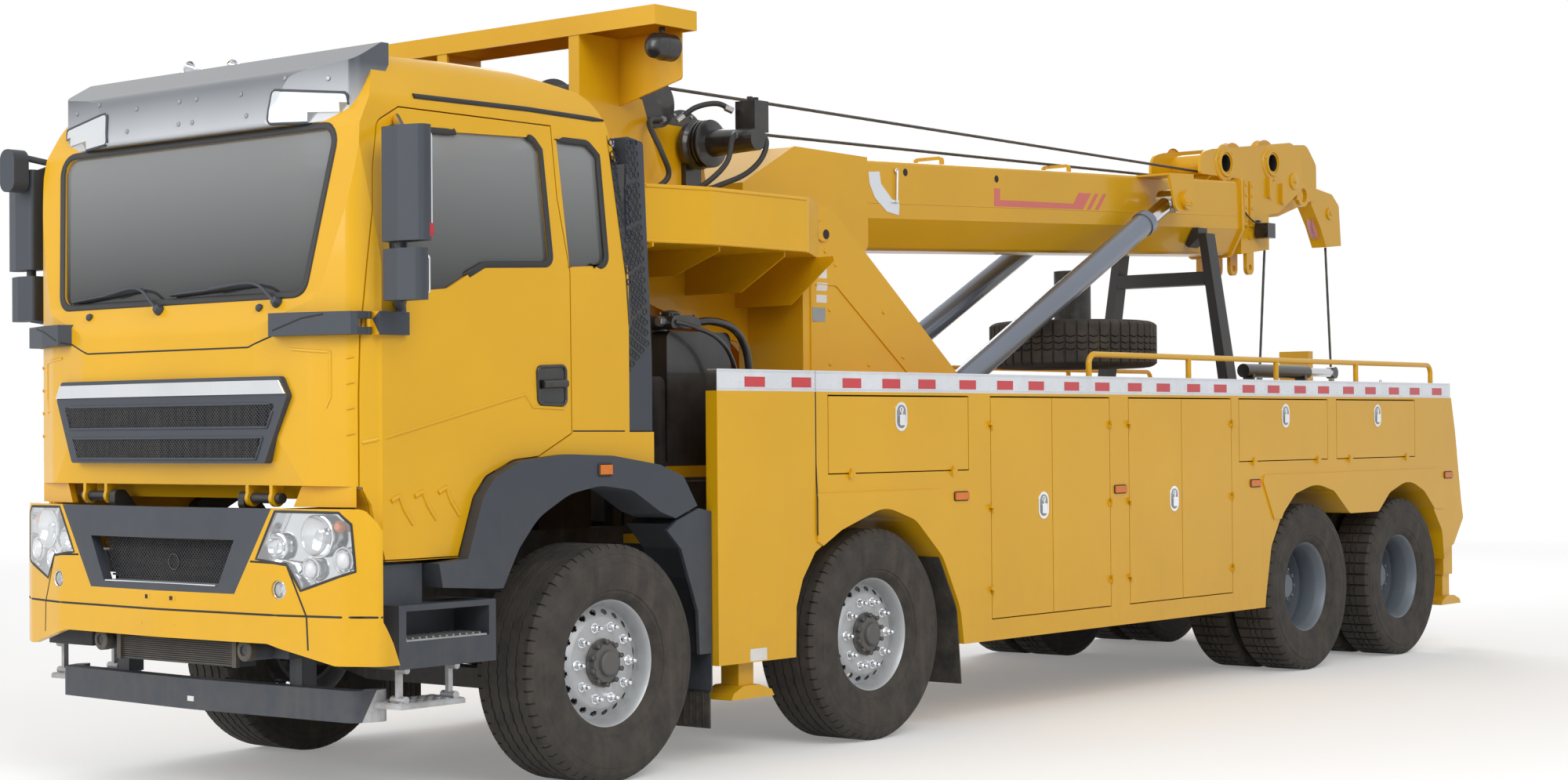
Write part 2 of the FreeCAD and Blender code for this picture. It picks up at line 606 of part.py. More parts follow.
def handrail():
    """Return the left handrail: a bent tube on five posts."""
    y, top, foot = 1150.0, 1970.0, BODY_TOP
    r = 17.0
    rail = [rod((-4100, y, top), (-8460, y, top), r)]
    for x, turn in ((-4100, 1), (-8460, -1)):
        bend = Part.makeTorus(60, r, Vector(x, y, top - 60), Vector(0, 1, 0))
        quarter = box(x, x + 100 * turn, y - 40, y + 40, top - 60, top + 40)
        rail += [bend.common(quarter), rod((x + 60 * turn, y, foot), (x + 60 * turn, y, top - 60), r)]
    rail += [rod((x, y, foot), (x, y, top), r) for x in (-5160, -6260, -7370)]
    return fuse(rail)


def locker_door(x0: float, x1: float, z0: float, z1: float):
    """Return a left locker door, a pan with a turned edge."""
    back, low, high = BODY_Y - DOOR_THICKNESS, z0 + RUNNING_GAP, z1 - RUNNING_GAP - 2
    pan = box(x0, x1, back, BODY_Y, low, high)
    return pan.cut(box(x0 - 3, x1 + 3, back - 1, BODY_Y - 3, low + 3, high - 3))


def hinge_places() -> dict:
    """Return each left door's hinges as (x, z, turn), turn 0 at the foot."""
    half_gap = RUNNING_GAP / 2.0
    places = {}
    for i, (front, _, rear) in enumerate(LOWER_DOORS):
        places[f"locker_{i + 1}_front"] = [(front - half_gap, z, 1) for z in LOWER_HINGE_Z]
        places[f"locker_{i + 1}_rear"] = [(rear + half_gap, z, -1) for z in LOWER_HINGE_Z]
    for i, (front, rear) in enumerate(UPPER_DOORS):
        z = UPPER_DOOR_Z[0] + half_gap
        places[f"locker_{i + 3}"] = [(x, z, 0) for x in (front - 180, rear + 150)]
    return places


def hinge_half(place, moving: bool):
    """Return one half of a lift-off hinge, the body's or the door's."""
    x, z, turn = place
    side = turn or 1
    drop = HINGE_Y - BODY_Y
    if moving:
        leaf = box(-24 * side, 0, -drop, -4, -20, 0)
        socket = fuse([box(-6 * side, 6 * side, -6, 6, -20, 0), leaf])
        reach = HINGE_PIN_R + PIN_GAP
        half = socket.cut(box(-reach, reach, -reach, reach, -21, 1))
    else:
        pin = rod((0, 0, -20), (0, 0, 10), HINGE_PIN_R)
        barrel = box(-6 * side, 22 * side, -6, 6, 1, 20)
        half = fuse([pin, barrel, box(3 * side, 22 * side, -drop, -5, 1, 20)])
    if not turn:
        half.rotate(Vector(0, 0, 0), Vector(0, 1, 0), 90)
    half.translate(Vector(x, HINGE_Y, z))
    return half


def make_locker_doors() -> None:
    """Write the fourteen locker doors."""
    gap, half_gap = RUNNING_GAP, RUNNING_GAP / 2.0
    doors = {}
    for i, (front, middle, rear) in enumerate(LOWER_DOORS):
        doors[f"locker_{i + 1}_front"] = locker_door(front - gap, middle + half_gap, *LOWER_DOOR_Z)
        doors[f"locker_{i + 1}_rear"] = locker_door(middle - half_gap, rear + gap, *LOWER_DOOR_Z)
    for i, (front, rear) in enumerate(UPPER_DOORS):
        doors[f"locker_{i + 3}"] = locker_door(front - gap, rear + gap, *UPPER_DOOR_Z)
    for name, places in hinge_places().items():
        door = fuse([doors[name]] + [hinge_half(place, True) for place in places])
        for side, piece in zip(("left", "right"), both_y(door)):
            write(f"{name}_{side}", piece)


CAB_SIDE = [
    (1311, 1020), (1347, 1140), (1363, 1253), (1400, 1330), (1500, 1335), (1545, 1700, 150),
    (1545, 2000, 120), (1480, 2130, 60), (1390, 2830, 60), (1220, 3140, 160), (500, 3175, 500),
    (-60, 3080, 160), (-165, 2700, 60), (-165, 1400), (70, 1395, 220), (420, 1365, 200), (640, 1215, 120),
    (745, 1020),
]
CAB_DOOR = [
    (1408, 1022), (1408, 1700), (1403, 1951), (1376, 2272), (1341, 2644), (1299, 2846, 60), (1170, 2918),
    (265, 2916), (259, 2593), (214, 2268), (209, 1540), (420, 1440, 150), (640, 1240, 120), (725, 1022),
]
DOOR_WINDOW = [
    (1232, 2821, 40), (400, 2850, 50), (352, 2798), (338, 2290, 40), (749, 2270, 60), (959, 2159, 60),
    (1262, 2130, 40),
]
QUARTER_WINDOW = [(238, 2855), (40, 2855, 50), (-24, 2802), (-29, 2300, 50), (216, 2283)]
GRILLE_STRIPS = ((690, 1578, 735, 1676), (625, 1446, 665, 1536))
GRILLE_DEPTH = 14.0
SLAT_PITCH = 48.0
DOOR_SILL_Z = 1320.0
DOOR_PIN = (1380.0, 1130.0)
DOOR_PIN_R = 8.0
HINGE_LUG = 30.0
MIRROR_FOOT_Z = (1955.0, 2050.0)
ARCH_FLARE = [
    (757, 882), (1050, 902), (1070, 1003), (905, 1017), (815, 1272, 60), (742, 1358, 60), (577, 1426, 150),
    (286, 1450, 300), (9, 1440, 300), (-305, 1395, 150), (-467, 1338, 40), (-562, 1199), (-410, 1145),
    (-303, 1179, 60), (-119, 1282, 150), (87, 1308, 300), (288, 1275, 300), (484, 1177, 300), (604, 1046, 200),
    (699, 882),
]


def cab_solid(shrink: float):
    """Return the cab's outer form, or its hollow when shrink is over 0."""
    s = shrink
    side = prism_xz(CAB_SIDE, -1400, 1400)
    if s:
        behind = side.copy()
        behind.translate(Vector(-s, 0, 0))
        side = side.common(behind)
    wall = [(CAB_Y - s, 900), (CAB_Y - s, 2250), (1080 - s, 2950, 100), (960 - s, 3170 - s, 160)]
    front = prism_yz([(-p[0], *p[1:]) for p in wall] + wall[::-1], -400, 1800)
    half = [(-165 + s, 1400), (1300 - s, 1400), (1315 - s, 1153 - s, 60), (1420 - s, 1090 - s, 120),
            (1495 - s, 900 - s, 150), (1545 - s, 600 - s, 300)]
    right = [(p[0], -p[1], *p[2:]) for p in half]
    plan = prism_xy(right + [(1562 - s, 0, 3000)] + half[::-1], 800, 3400)
    return side.common(front).common(plan)


def make_cab() -> None:
    """Write the cab's shell, doors, glass, trim and inside."""
    outer = cab_solid(0.0)
    hollow = cab_solid(45.0)
    inner = hollow.common(fuse([box(-400, 1352, -1400, 1400, DOOR_SILL_Z, 3125),
                                box(1350, 1800, -1400, 1400, 1380, 3125)]))
    under = box(-200, 1600, -1020, 1020, 900, 1275)
    sill = box(0, 1600, 1000, 1099, 900, DOOR_SILL_Z)
    door_hole = prism_xz(CAB_DOOR, 1020, 1400).cut(sill)
    windscreen = prism_yz([(-830, 2140, 60), (-950, 2820, 80), (950, 2820, 80), (830, 2140, 60)], 1200, 1800)
    quarter = prism_xz(QUARTER_WINDOW, 900, 1400)
    rear_window = prism_yz([(-600, 2350, 60), (600, 2350, 60), (600, 2750, 60), (-600, 2750, 60)], -300, 0)
    shell = outer.cut([inner, under, windscreen, rear_window] + both_y(door_hole) + both_y(quarter))
    shell = shell.cut(hood_louvres())
    tail = box(-330, -160, 1050, CAB_Y, 1400, 1545)
    flap = prism_xy([(1480, 765), (1425, 1070), (1380, 1145), (1350, 1145), (1395, 1060), (1450, 765)],
                    1246, 1342)
    flap = flap.common(prism_yz([(770, 1246), (820, 1342), (1105, 1342), (1140, 1246)], 1300, 1500))
    flap = flap.cut(inset_xz(CAB_DOOR, -RUNNING_GAP, 1000, 1400))
    x, z = CAB_PIVOT
    ears = []
    for y in (RAIL_Y + 54, 640):
        ears += both_y(fuse([cross_rod(x, z, y, y + 20, 36), box(x - 30, x + 30, y, y + 20, z, 1340)]))
    bores = both_y(cross_rod(x, z, RAIL_Y + 50, 700, CAB_PIN_R + PIN_GAP))
    write("cab_shell", fuse([shell] + both_y(tail) + both_y(flap) + ears).cut(bores))

    leaf = outer.cut(hollow).common(box(100, 1500, 1030, 1400, 900, 3000))
    leaf = leaf.common(inset_xz(CAB_DOOR, RUNNING_GAP, 1000, 1400))
    leaf = leaf.cut([prism_xz(DOOR_WINDOW, 900, 1400), inset_xz(ARCH_FLARE, -RUNNING_GAP, 900, 1400),
                     box(0, 1600, 1000, 1105, 900, DOOR_SILL_Z + 8)])
    pane_sheet = cab_solid(14.0).cut(cab_solid(20.0))
    pane = pane_sheet.common(inset_xz(DOOR_WINDOW, SEAT_GAP, 900, 1400))
    write("door_left", fuse([leaf, mirror()]))
    write("door_right", both_y(fuse([leaf, mirror(), kerb_mirror()]))[1])
    for side_name, piece in zip(("left", "right"), both_y(pane)):
        write(f"door_glass_{side_name}", piece)
    panes = [pane_sheet.common(opening) for opening in (windscreen, rear_window)]
    small = pane_sheet.common(inset_xz(QUARTER_WINDOW, SEAT_GAP, 900, 1400))
    write("cab_glass", panes + both_y(small))
    make_cab_trim(fuse([outer] + both_y(tail)))
    make_cab_inside(hollow)


def hood_louvres() -> list:
    """Return the cutters of the four slanted slots on each side."""
    cutters = []
    for i in range(4):
        low = 1818.0 + 26 * i
        reach = 400.0 + 9 * i
        slot = prism_yz([(reach - 140, low), (reach, low + 6), (reach + 4, low + 16), (reach - 140, low + 10)],
                        1549, 1700)
        cutters += both_y(slot)
    return cutters


def mirror():
    """Return a left mirror pair on its two arms."""
    main = prism_xy([(1290, 1215, 20), (1300, 1440, 30), (1365, 1440, 30), (1400, 1330), (1390, 1215, 20)],
                    2330, 2800)
    wide = prism_xy([(1290, 1215, 20), (1300, 1420, 30), (1365, 1420, 30), (1395, 1320), (1385, 1215, 20)],
                    2090, 2300)
    post = rod((1340, 1290, 2290), (1340, 1290, 2340), 22)
    upper = rod((1180, 1080, 2868), (1330, 1290, 2780), 18)
    lower = rod((1230, 1150, 2080), (1340, 1290, 2110), 26)
    foot = box(1200, DOOR_PIN[0] - 14, 1100, 1180, *MIRROR_FOOT_Z)
    link = rod((1230, 1160, 2040), (1230, 1155, 2090), 24)
    eye = hinge_lug(DOOR_PIN[0] - 40, 1.0).cut(rod((*DOOR_PIN, 1900), (*DOOR_PIN, 2100), DOOR_PIN_R + PIN_GAP))
    return fuse([main, wide, post, upper, lower, foot, link, eye])


def hinge_lug(end: float, clearance: float):
    """Return the middle lug of the door's hinge, reaching to an end in X."""
    low = MIRROR_FOOT_Z[0] + HINGE_LUG + clearance
    high = MIRROR_FOOT_Z[1] - HINGE_LUG - clearance
    x, y = DOOR_PIN
    knuckle_round = rod((x, y, low), (x, y, high), DOOR_PIN_R + 4)
    return fuse([knuckle_round, box(x, end, y - 12, y + 8, low, high)])


def hinge_fork():
    """Return the cab's half of the hinge: two lugs and the pin."""
    x, y = DOOR_PIN
    low, high = MIRROR_FOOT_Z
    pieces = [rod((x, y, low), (x, y, high), DOOR_PIN_R)]
    for a, b in ((low, low + HINGE_LUG), (high - HINGE_LUG, high)):
        pieces += [rod((x, y, a), (x, y, b), DOOR_PIN_R + 4), box(x, 1445, y - 12, y + 8, a, b)]
    return fuse(pieces)


def kerb_mirror():
    """Return the round-cornered mirror on the arm of the right-hand door.

    It is made on the left side, like the mirrors it stands beside.
    """
    hood = prism_yz([(1205, 2690, 50), (1205, 2890, 50), (1320, 2890, 50), (1320, 2690, 50)], 1410, 1490)
    arm = rod((1255, 1185, 2824), (1440, 1250, 2860), 15)
    return fuse([hood, arm])


def grille_plan(back: float):
    """Return a block with the grille's curved front, set back by a depth."""
    left = [(1560 - back, 600, 300), (1530 - back, 900), (1400, 900)]
    right = [(p[0], -p[1], *p[2:]) for p in left]
    return prism_xy(right[::-1] + [(1582 - back, 0, 3000)] + left, 1400, 1800)


def grille(body):
    """Return the grille: a frame with two sunk strips of upright slats."""
    half = [(673, 1427, 20), (804, 1709, 20), (763, 1790, 20)]
    frame = prism_yz([(-p[0], *p[1:]) for p in half] + half[::-1], 1500, 1590)
    frame = frame.cut(body).common(grille_plan(0.0))
    pieces = []
    for foot, low, head, high in GRILLE_STRIPS:
        room = prism_yz([(-foot, low, 14), (-head, high, 14), (head, high, 14), (foot, low, 14)], 1500, 1600)
        frame = frame.cut(room.cut(grille_plan(GRILLE_DEPTH)))
        count = int(foot / SLAT_PITCH)
        slats = [box(1500, 1600, i * SLAT_PITCH - 5, i * SLAT_PITCH + 5, low, high)
                 for i in range(-count, count + 1)]
        pieces += [slat.common(grille_plan(5.0)).cut(body) for slat in slats]
    return fuse([frame] + pieces)


def make_cab_trim(body) -> None:
    """Write the cab's dark trim: visor, grille, arches, rear strips."""
    visor_side = [(1300, 2860), (1440, 2850, 20), (1410, 3070, 60), (1200, 3190), (1160, 3190), (1160, 3100)]
    visor_plan = [(1150, -1015), (1345, -1015, 60), (1445, -500, 400), (1455, 0, 2000), (1445, 500, 400),
                  (1345, 1015, 60), (1150, 1015)]
    visor = prism_xz(visor_side, -1015, 1015).common(prism_xy(visor_plan, 2800, 3200)).cut(body)
    flare = prism_xz(ARCH_FLARE, 960, 1210)
    strip = prism_xz([(-165, 2900, 10), (-280, 2880, 20), (-330, 1900), (-330, 1545), (-165, 1545)],
                     1060, 1140)
    base = prism_xy([(1424, 1040), (1470, 880), (1520, 700), (1580, 735), (1540, 915), (1468, 1120),
                     (1436, 1138), (1424, 1118)], *MIRROR_FOOT_Z)
    base = fuse([base.cut(body), hinge_fork()])
    write("cab_trim", [visor, grille(body)] + both_y(flare.cut(body)) + both_y(strip) + both_y(base))


def make_cab_inside(hollow) -> None:
    """Write the seats, the dashboard and the steering wheel."""
    pieces = []
    for y in (560.0, -560.0):
        base = box(250, 700, y - 180, y + 180, 1320, 1560)
        cushion = box(200, 760, y - 250, y + 250, 1560, 1690)
        back = prism_xz([(200, 1690), (330, 1690, 40), (220, 2420, 40), (110, 2420, 40), (120, 1690)],
                        y - 240, y + 240)
        pieces.append(fuse([base, cushion, back]))
    dash = prism_xz([(1600, 1700), (1330, 1700), (1060, 1760, 60), (1080, 2010, 60), (1330, 2060), (1600, 2060)],
                    -980, 980)
    pieces.append(dash.common(hollow))
    write("cab_interior", pieces)


def mast_side():
    """Return the left cheek of the mast with its sloping rear edge."""
    cheek = prism_xz([(-2000, DECK_Z), (-2000, 2440), (-2000, 2735, 20), (-2240, 2735, 30),
                      (-3390, 1860, 60), (-3680, DECK_Z)], MAST_INNER_Y, MAST_Y)
    room = prism_xz([(-2030, DECK_Z + 20), (-2030, 2380), (-2330, 2380, 60), (-3280, 1700, 60),
                     (-3400, DECK_Z + 20)], MAST_INNER_Y - 1, MAST_Y - 10)
    return cheek.cut(room)


def make_mast() -> None:
    """Write the mast, the winch platform and the lamp gantry."""
    low, high = PLATFORM_Z
    plan = [(-420, -930), (-480, -948), (-850, -1056, 60), (-1600, -1056, 30), (-2001, -800), (-2001, 800),
            (-1600, 1056, 30), (-850, 1056, 60), (-480, 948), (-420, 930)]
    inner_plan = [(-428, -922), (-482, -940), (-851, -1048, 60), (-1597, -1048, 30), (-1993, -796),
                  (-1993, 796), (-1597, 1048, 30), (-851, 1048, 60), (-482, 940), (-428, 922)]
    tray = prism_xy(plan, low, high)
    tray = tray.cut([prism_xy(inner_plan, low + 8, high - 20), prism_xy(inner_plan, high - 12, high + 1)])
    well = box(-1850, -2010, -330, 330, low - 1, high + 1)
    tray = tray.cut(well)
    gussets = []
    for x in (-520, -1000, -1500, -1900):
        depth = 60 + 0.13 * (-x - 500)
        gussets.append(prism_yz([(300, low - depth), (MAST_Y, low - depth), (980, low - 20), (980, low),
                                 (300, low)], x - 5, x + 5))
    spine = prism_xz([(-440, low), (-2001, low), (-2001, 2000), (-1700, 2060), (-520, 2400)], 300, 312)
    cheeks = both_y(mast_side())
    front_wall = box(-2000, -2012, -MAST_Y, MAST_Y, DECK_Z, low)
    hole = prism_yz([(-250, 1700, 40), (-250, 2300, 40), (250, 2300, 40), (250, 1700, 40)], -2100, -1900)
    feet = both_y(box(-1960, -3650, RAIL_Y - 70, RAIL_Y, SUBFRAME_TOP, DECK_Z))
    ties = both_y(box(-2100, -3500, RAIL_Y - 70, MAST_Y, DECK_Z - 40, DECK_Z))
    clevis = []
    for y in (LIFT_Y - 84, LIFT_Y + 84):
        ear = prism_xz([(LIFT_PIN[0] - 130, DECK_Z - 12), (LIFT_PIN[0] + 130, DECK_Z - 12),
                        (LIFT_PIN[0] + 60, LIFT_PIN[1] + 70, 50), (LIFT_PIN[0] - 60, LIFT_PIN[1] + 70, 50)],
                       y - 10, y + 10)
        clevis.append(ear)
    clevis.append(cross_rod(*LIFT_PIN, LIFT_Y - 94, LIFT_Y + 94, LIFT_PIN_R))
    foot = (LIFT_PIN[0] - 130, LIFT_PIN[0] + 130)
    clevis.append(box(*foot, RAIL_Y - 70, RAIL_Y, SUBFRAME_TOP, DECK_Z - 10))
    clevis.append(box(*foot, LIFT_Y - 94, LIFT_Y + 94, DECK_Z - 30, DECK_Z - 11))
    pin = cross_rod(*BOOM_PIN, MAST_INNER_Y - 10, MAST_Y + 14, 55)
    inner_pin = cross_rod(*BOOM_PIN, -MAST_INNER_Y, MAST_INNER_Y, 45)
    ridge = prism_xz([(-2060, 1700, 40), (-2060, 2330, 40), (-2280, 2330, 60), (-3150, 1700, 60)],
                     MAST_Y, MAST_Y + 7)
    ridge = ridge.cut(prism_xz([(-2075, 1715, 30), (-2075, 2315, 30), (-2276, 2315, 50), (-3106, 1715, 50)],
                               MAST_Y - 1, MAST_Y + 8))
    mast = fuse([tray, front_wall.cut(hole), inner_pin] + cheeks + both_y(ridge)
                + both_y(fuse(gussets + [spine])) + feet + ties + both_y(fuse(clevis)) + both_y(pin)
                + make_gantry() + make_winch_frame())
    write("mast", mast)


def make_gantry() -> list:
    """Return the lamp gantry with its brackets and the winch cheeks."""
    low, high = GANTRY_Z
    beam = box(*GANTRY_X, -GANTRY_Y, GANTRY_Y, low, high)
    beam = beam.cut(box(GANTRY_X[0] + 6, GANTRY_X[1] - 6, -GANTRY_Y + 6, GANTRY_Y - 6, low - 1, high - 6))
    web = prism_xz([(-525, low + 10), (-525, 3150), (-545, 2708), (-1170, 2708), (-975, 3200), (-815, low - 240),
                    (-815, low + 10)], 488, 500)
    front = prism_xz([(-525, low + 10), (-525, 3150), (-545, 2708), (-560, 2708), (-540, 3150),
                      (-540, low + 10)], 430, 500)
    wing = prism_yz([(488, low + 10), (910, low + 10), (910, 3250, 20), (488, 3150, 20)], -820, -808)
    return [beam] + both_y(fuse([web, front, wing]))


def make_winch_frame() -> list:
    """Return the plates that carry the two drums."""
    plate = prism_xz([(-1000, 2708), (-1000, 3200), (-1060, 3290, 60), (-1210, 3290, 60), (-1330, 3130),
                      (-1620, 3120, 40), (-1700, 2708)], 296, 308)
    eyes = [cross_rod(*centre, 280, 320, 62) for centre in (DRUM_FRONT, DRUM_REAR)]
    holes = [cross_rod(*centre, 270, 330, HUB_BORE_R) for centre in (DRUM_FRONT, DRUM_REAR)]
    return both_y(fuse([plate] + eyes).cut(holes))


def make_drums() -> None:
    """Write the two winch drums."""
    for name, centre in (("drum_front", DRUM_FRONT), ("drum_rear", DRUM_REAR)):
        half = [(0, 330), (SPINDLE_R, 330), (SPINDLE_R, 268), (DRUM_FLANGE_R, 268), (DRUM_FLANGE_R, 252),
                (DRUM_CORE_R, 252)]
        profile = [(r, -y) for r, y in half] + half[::-1]
        write(name, revolve_y(profile, *centre))


def winch_drives() -> list:
    """Return the planetary drive and the motor of each winch."""
    drives = []
    for centre, reach in ((DRUM_FRONT, 470.0), (DRUM_REAR, 780.0)):
        profile = [(0, 336), (120, 336), (130, 380)]
        for i in range(3):
            rib = 396 + 24 * i
            profile += [(112, rib), (112, rib + 12), (124, rib + 14), (124, rib + 22)]
        profile += [(112, 470), (70, 480), (62, 640), (58, reach), (0, reach)] if reach > 500 else [(0, 472)]
        drives.append(revolve_y(profile, *centre))
    x, z = DRUM_REAR
    valve = fuse([box(x - 95, x + 15, 640, 770, z + 40, z + 200), box(x - 60, x - 10, 650, 740, z, z + 41)])
    drives[1] = fuse([drives[1], valve])
    foot = PLATFORM_Z[1] - 12
    stays = [box(c[0] - 60, c[0] + 60, 308, 340, foot, c[1] - 100) for c in (DRUM_FRONT, DRUM_REAR)]
    return [fuse([drive, stay]) for drive, stay in zip(drives, stays)]


def boom_section(shrink: float) -> list:
    """Return the boom's section, drawn in by a wall or a running gap."""
    s = shrink
    top, shoulder, keel = 3085 - s, 2753 + 0.4 * s, 2573 + s
    half, foot = BOOM_Y - s, 150 - 0.6 * s
    right = [(half, top, 20), (half, shoulder), (foot, keel, 40)]
    return [(-p[0], *p[1:]) for p in right] + right[::-1]


def rope_guide(x: float):
    """Return a fork on the boom's top that keeps the ropes in line."""
    sheet = prism_yz([(-110, 3080), (-110, 3150, 30), (110, 3150, 30), (110, 3080)], x - 8, x + 8)
    return sheet.cut(box(x - 9, x + 9, -85, 85, 3100, 3130))


def make_boom() -> None:
    """Write the outer boom, and the inner boom with its head."""
    tilt = BOOM_TILT
    pivot = (-3140.0, 2573.0)
    half = BOOM_Y
    room_section = boom_section(BOOM_WALL)
    tube = prism_yz(boom_section(0.0), -2700, -7470).cut(prism_yz(room_section, -2600, -7600))
    guides = [rope_guide(x) for x in (-4100.0, -5500.0)]
    tube = tilted(fuse([tube] + guides), pivot, tilt)
    root = prism_xz([(-2040, 2880), (-2480, 3110, 30), (-3140, 3100), (-3145, 2560, 60), (-2160, 2500, 100),
                     (-2040, 2600, 60)], -half, half)
    room = prism_xz([(-2080, 2860), (-2500, 3085), (-3146, 3088), (-3146, 2590), (-2250, 2720), (-2080, 2720)],
                    -half + 16, half - 16)
    bore = cross_rod(*BOOM_PIN, -half - 1, half + 1, HUB_BORE_R)
    collar = prism_yz(boom_section(-18.0), -7440, -7470).cut(prism_yz(room_section, -7300, -7600))
    collar = tilted(collar, pivot, tilt)
    ear = prism_xz([(-6085, 3085), (-6400, 3085), (-6400, 2850, 60), (-6165, 2830, 60)], 478, 494)
    ear = tilted(ear, pivot, tilt)
    cap = tilted(box(-6085, -6400, half - 10, 490, 3072, 3085), pivot, tilt)
    boss = cross_rod(*LIFT_EYE, 490, 520, 60)
    ears = both_y(fuse([ear, cap, boss]))
    outer = fuse([tube, root.cut([room, bore]), collar] + ears)
    write("boom_outer", outer)

    slack = BOOM_WALL + BOOM_SLACK
    beam_room = prism_yz(boom_section(slack + 10), -4100, -7500)
    beam = prism_yz(boom_section(slack), -4200, -7560).cut(beam_room)
    shoe = prism_yz(boom_section(BOOM_WALL + SLIDE_GAP), -4200, -4400).cut(beam_room)
    beam = tilted(fuse([beam, shoe]), pivot, tilt)
    beam = beam.cut(box(HEAD_NOSE_X + SEAT_GAP, -7700, -300, 300, 2400, 3500))
    write("boom_inner", [beam, boom_head()])


def boom_head():
    """Return the boom head: sheave plates, sheaves, block and rings."""
    outline_near = [(-7500, 3290), (-6965, 3290, 20), (-6965, 3440, 120), (-7120, 3470, 60), (-8290, 3610, 140),
                    (-8435, 3500, 60), (-8435, 3280, 60), (-8080, 3087), (-7925, 3060), (-7925, 2810),
                    (-7560, 2800), (HEAD_NOSE_X, 3290)]
    near = prism_xz(outline_near, 185, 205)
    outline_far = [(-7500, 3290), (-8000, 3575, 40), (-8750, 3640, 120), (-8900, 3500, 60),
                   (-8900, 3250, 80), (-8300, 3080), (-7925, 3040), (-7560, 3000)]
    far = prism_xz(outline_far, 60, 76)
    nose = prism_xz([(HEAD_NOSE_X, 2760), (HEAD_NOSE_X, 3290), (-7900, 3290), (-7900, 2810)], -205, 205)
    tubes = [cross_rod(x, z, -215, 215, 78) for x, z in HEAD_TUBES]
    bores = [cross_rod(x, z, -220, 220, 62) for x, z in HEAD_TUBES]
    groove = [(62.5, -26), (170, -26), (150, -8), (150, 8), (170, 26), (62.5, 26)]
    sheaves = [revolve_y([(r, y + place) for r, y in groove], *HEAD_TUBES[1]) for place in (-130.0, 130.0)]
    pin_ends = [cross_rod(-8302, 3329, -215, 215, 36), cross_rod(-7640, 2900, -216, 216, 30)]
    swivel = prism_xz([(-8820, 3330), (-8900, 3330, 20), (-9180, 3300, 40), (-9290, 3220, 40), (-9320, 2917),
                       (-9080, 2895), (-8980, 3050), (-8850, 3200)], -60, 60)
    section = [(52, -16), (84, -16), (84, 16), (52, 16)]
    rings = [revolve_y([(r, y + place) for r, y in section], -8480, 3240) for place in (175.0, -175.0)]
    tongues = [box(-8380, -8420, y - 16, y + 16, 3200, 3290) for y in (175.0, -175.0)]
    links = [chain_link(-7650, y) for y in (190.0, 60.0, -60.0, -190.0)]
    head = fuse(both_y(near) + both_y(far) + [nose, swivel] + pin_ends + tubes + sheaves + rings + tongues
                + links)
    return head.cut(bores + [box(HEAD_NOSE_X, -7400, -300, 300, 2400, 3289)])


def chain_link(x: float, y: float):
    """Return a link plate under the boom head, its eye at the foot."""
    plate = prism_xz([(x - 50, 2830), (x - 50, 2620, 48), (x + 50, 2620, 48), (x + 50, 2830)], y - 14, y + 14)
    return plate.cut(cross_rod(x, 2672, y - 15, y + 15, 22))


def along(start, end, distance: float):
    """Return the (x, z) point a distance along a line."""
    length = math.hypot(end[0] - start[0], end[1] - start[1])
    t = distance / length
    return (start[0] + (end[0] - start[0]) * t, start[1] + (end[1] - start[1]) * t)


def make_lift_cylinders() -> None:
    """Write the pair of lift barrels and the pair of lift rods."""
    length = math.hypot(LIFT_EYE[0] - LIFT_PIN[0], LIFT_EYE[1] - LIFT_PIN[1])
    y = LIFT_Y
    p0, p1 = LIFT_PIN, LIFT_EYE

    def at(distance: float):
        x, z = along(p0, p1, distance)
        return (x, y, z)

    mouth = length - 330
    bore_r = LIFT_BARREL_R - LIFT_BARREL_WALL
    barrel = fuse([pipe(at(60), at(mouth), LIFT_BARREL_R, bore_r), rod(at(60), at(120), LIFT_BARREL_R),
                   pipe(at(mouth - 60), at(mouth), LIFT_BARREL_R + 8, LIFT_ROD_R + PISTON_GAP),
                   cross_rod(*p0, y - 66, y + 66, 78)])
    barrel = barrel.cut(cross_rod(*p0, y - 80, y + 80, LIFT_PIN_R + PIN_GAP))
    eye = fuse([rod(at(300), at(length - 60), LIFT_ROD_R), rod(at(240), at(300), bore_r - PISTON_GAP),
                cross_rod(*p1, y - 60, y + 60, 76)])
    eye = eye.cut(cross_rod(*p1, y - 80, y + 80, 36))
    write("lift_barrels", both_y(barrel))
    write("lift_rods", both_y(eye))


def make_stabilisers() -> None:
    """Write the four stabiliser legs, each with its foot."""
    for name, x in (("front", FRONT_LEG_X), ("rear", REAR_LEG_X)):
        leg = box(x - LEG_HALF, x + LEG_HALF, LEG_Y - LEG_HALF, LEG_Y + LEG_HALF, 330, 1000)
        foot = prism_xz([(x - 170, 268), (x + 150, 268), (x + 130, 300), (x + 60, 330), (x - 60, 330),
                         (x - 150, 300)], LEG_Y - 90, LEG_Y + 90)
        piece = fuse([leg, foot])
        write(f"stabiliser_{name}_left", both_y(piece)[0])
        write(f"stabiliser_{name}_right", both_y(piece)[1])


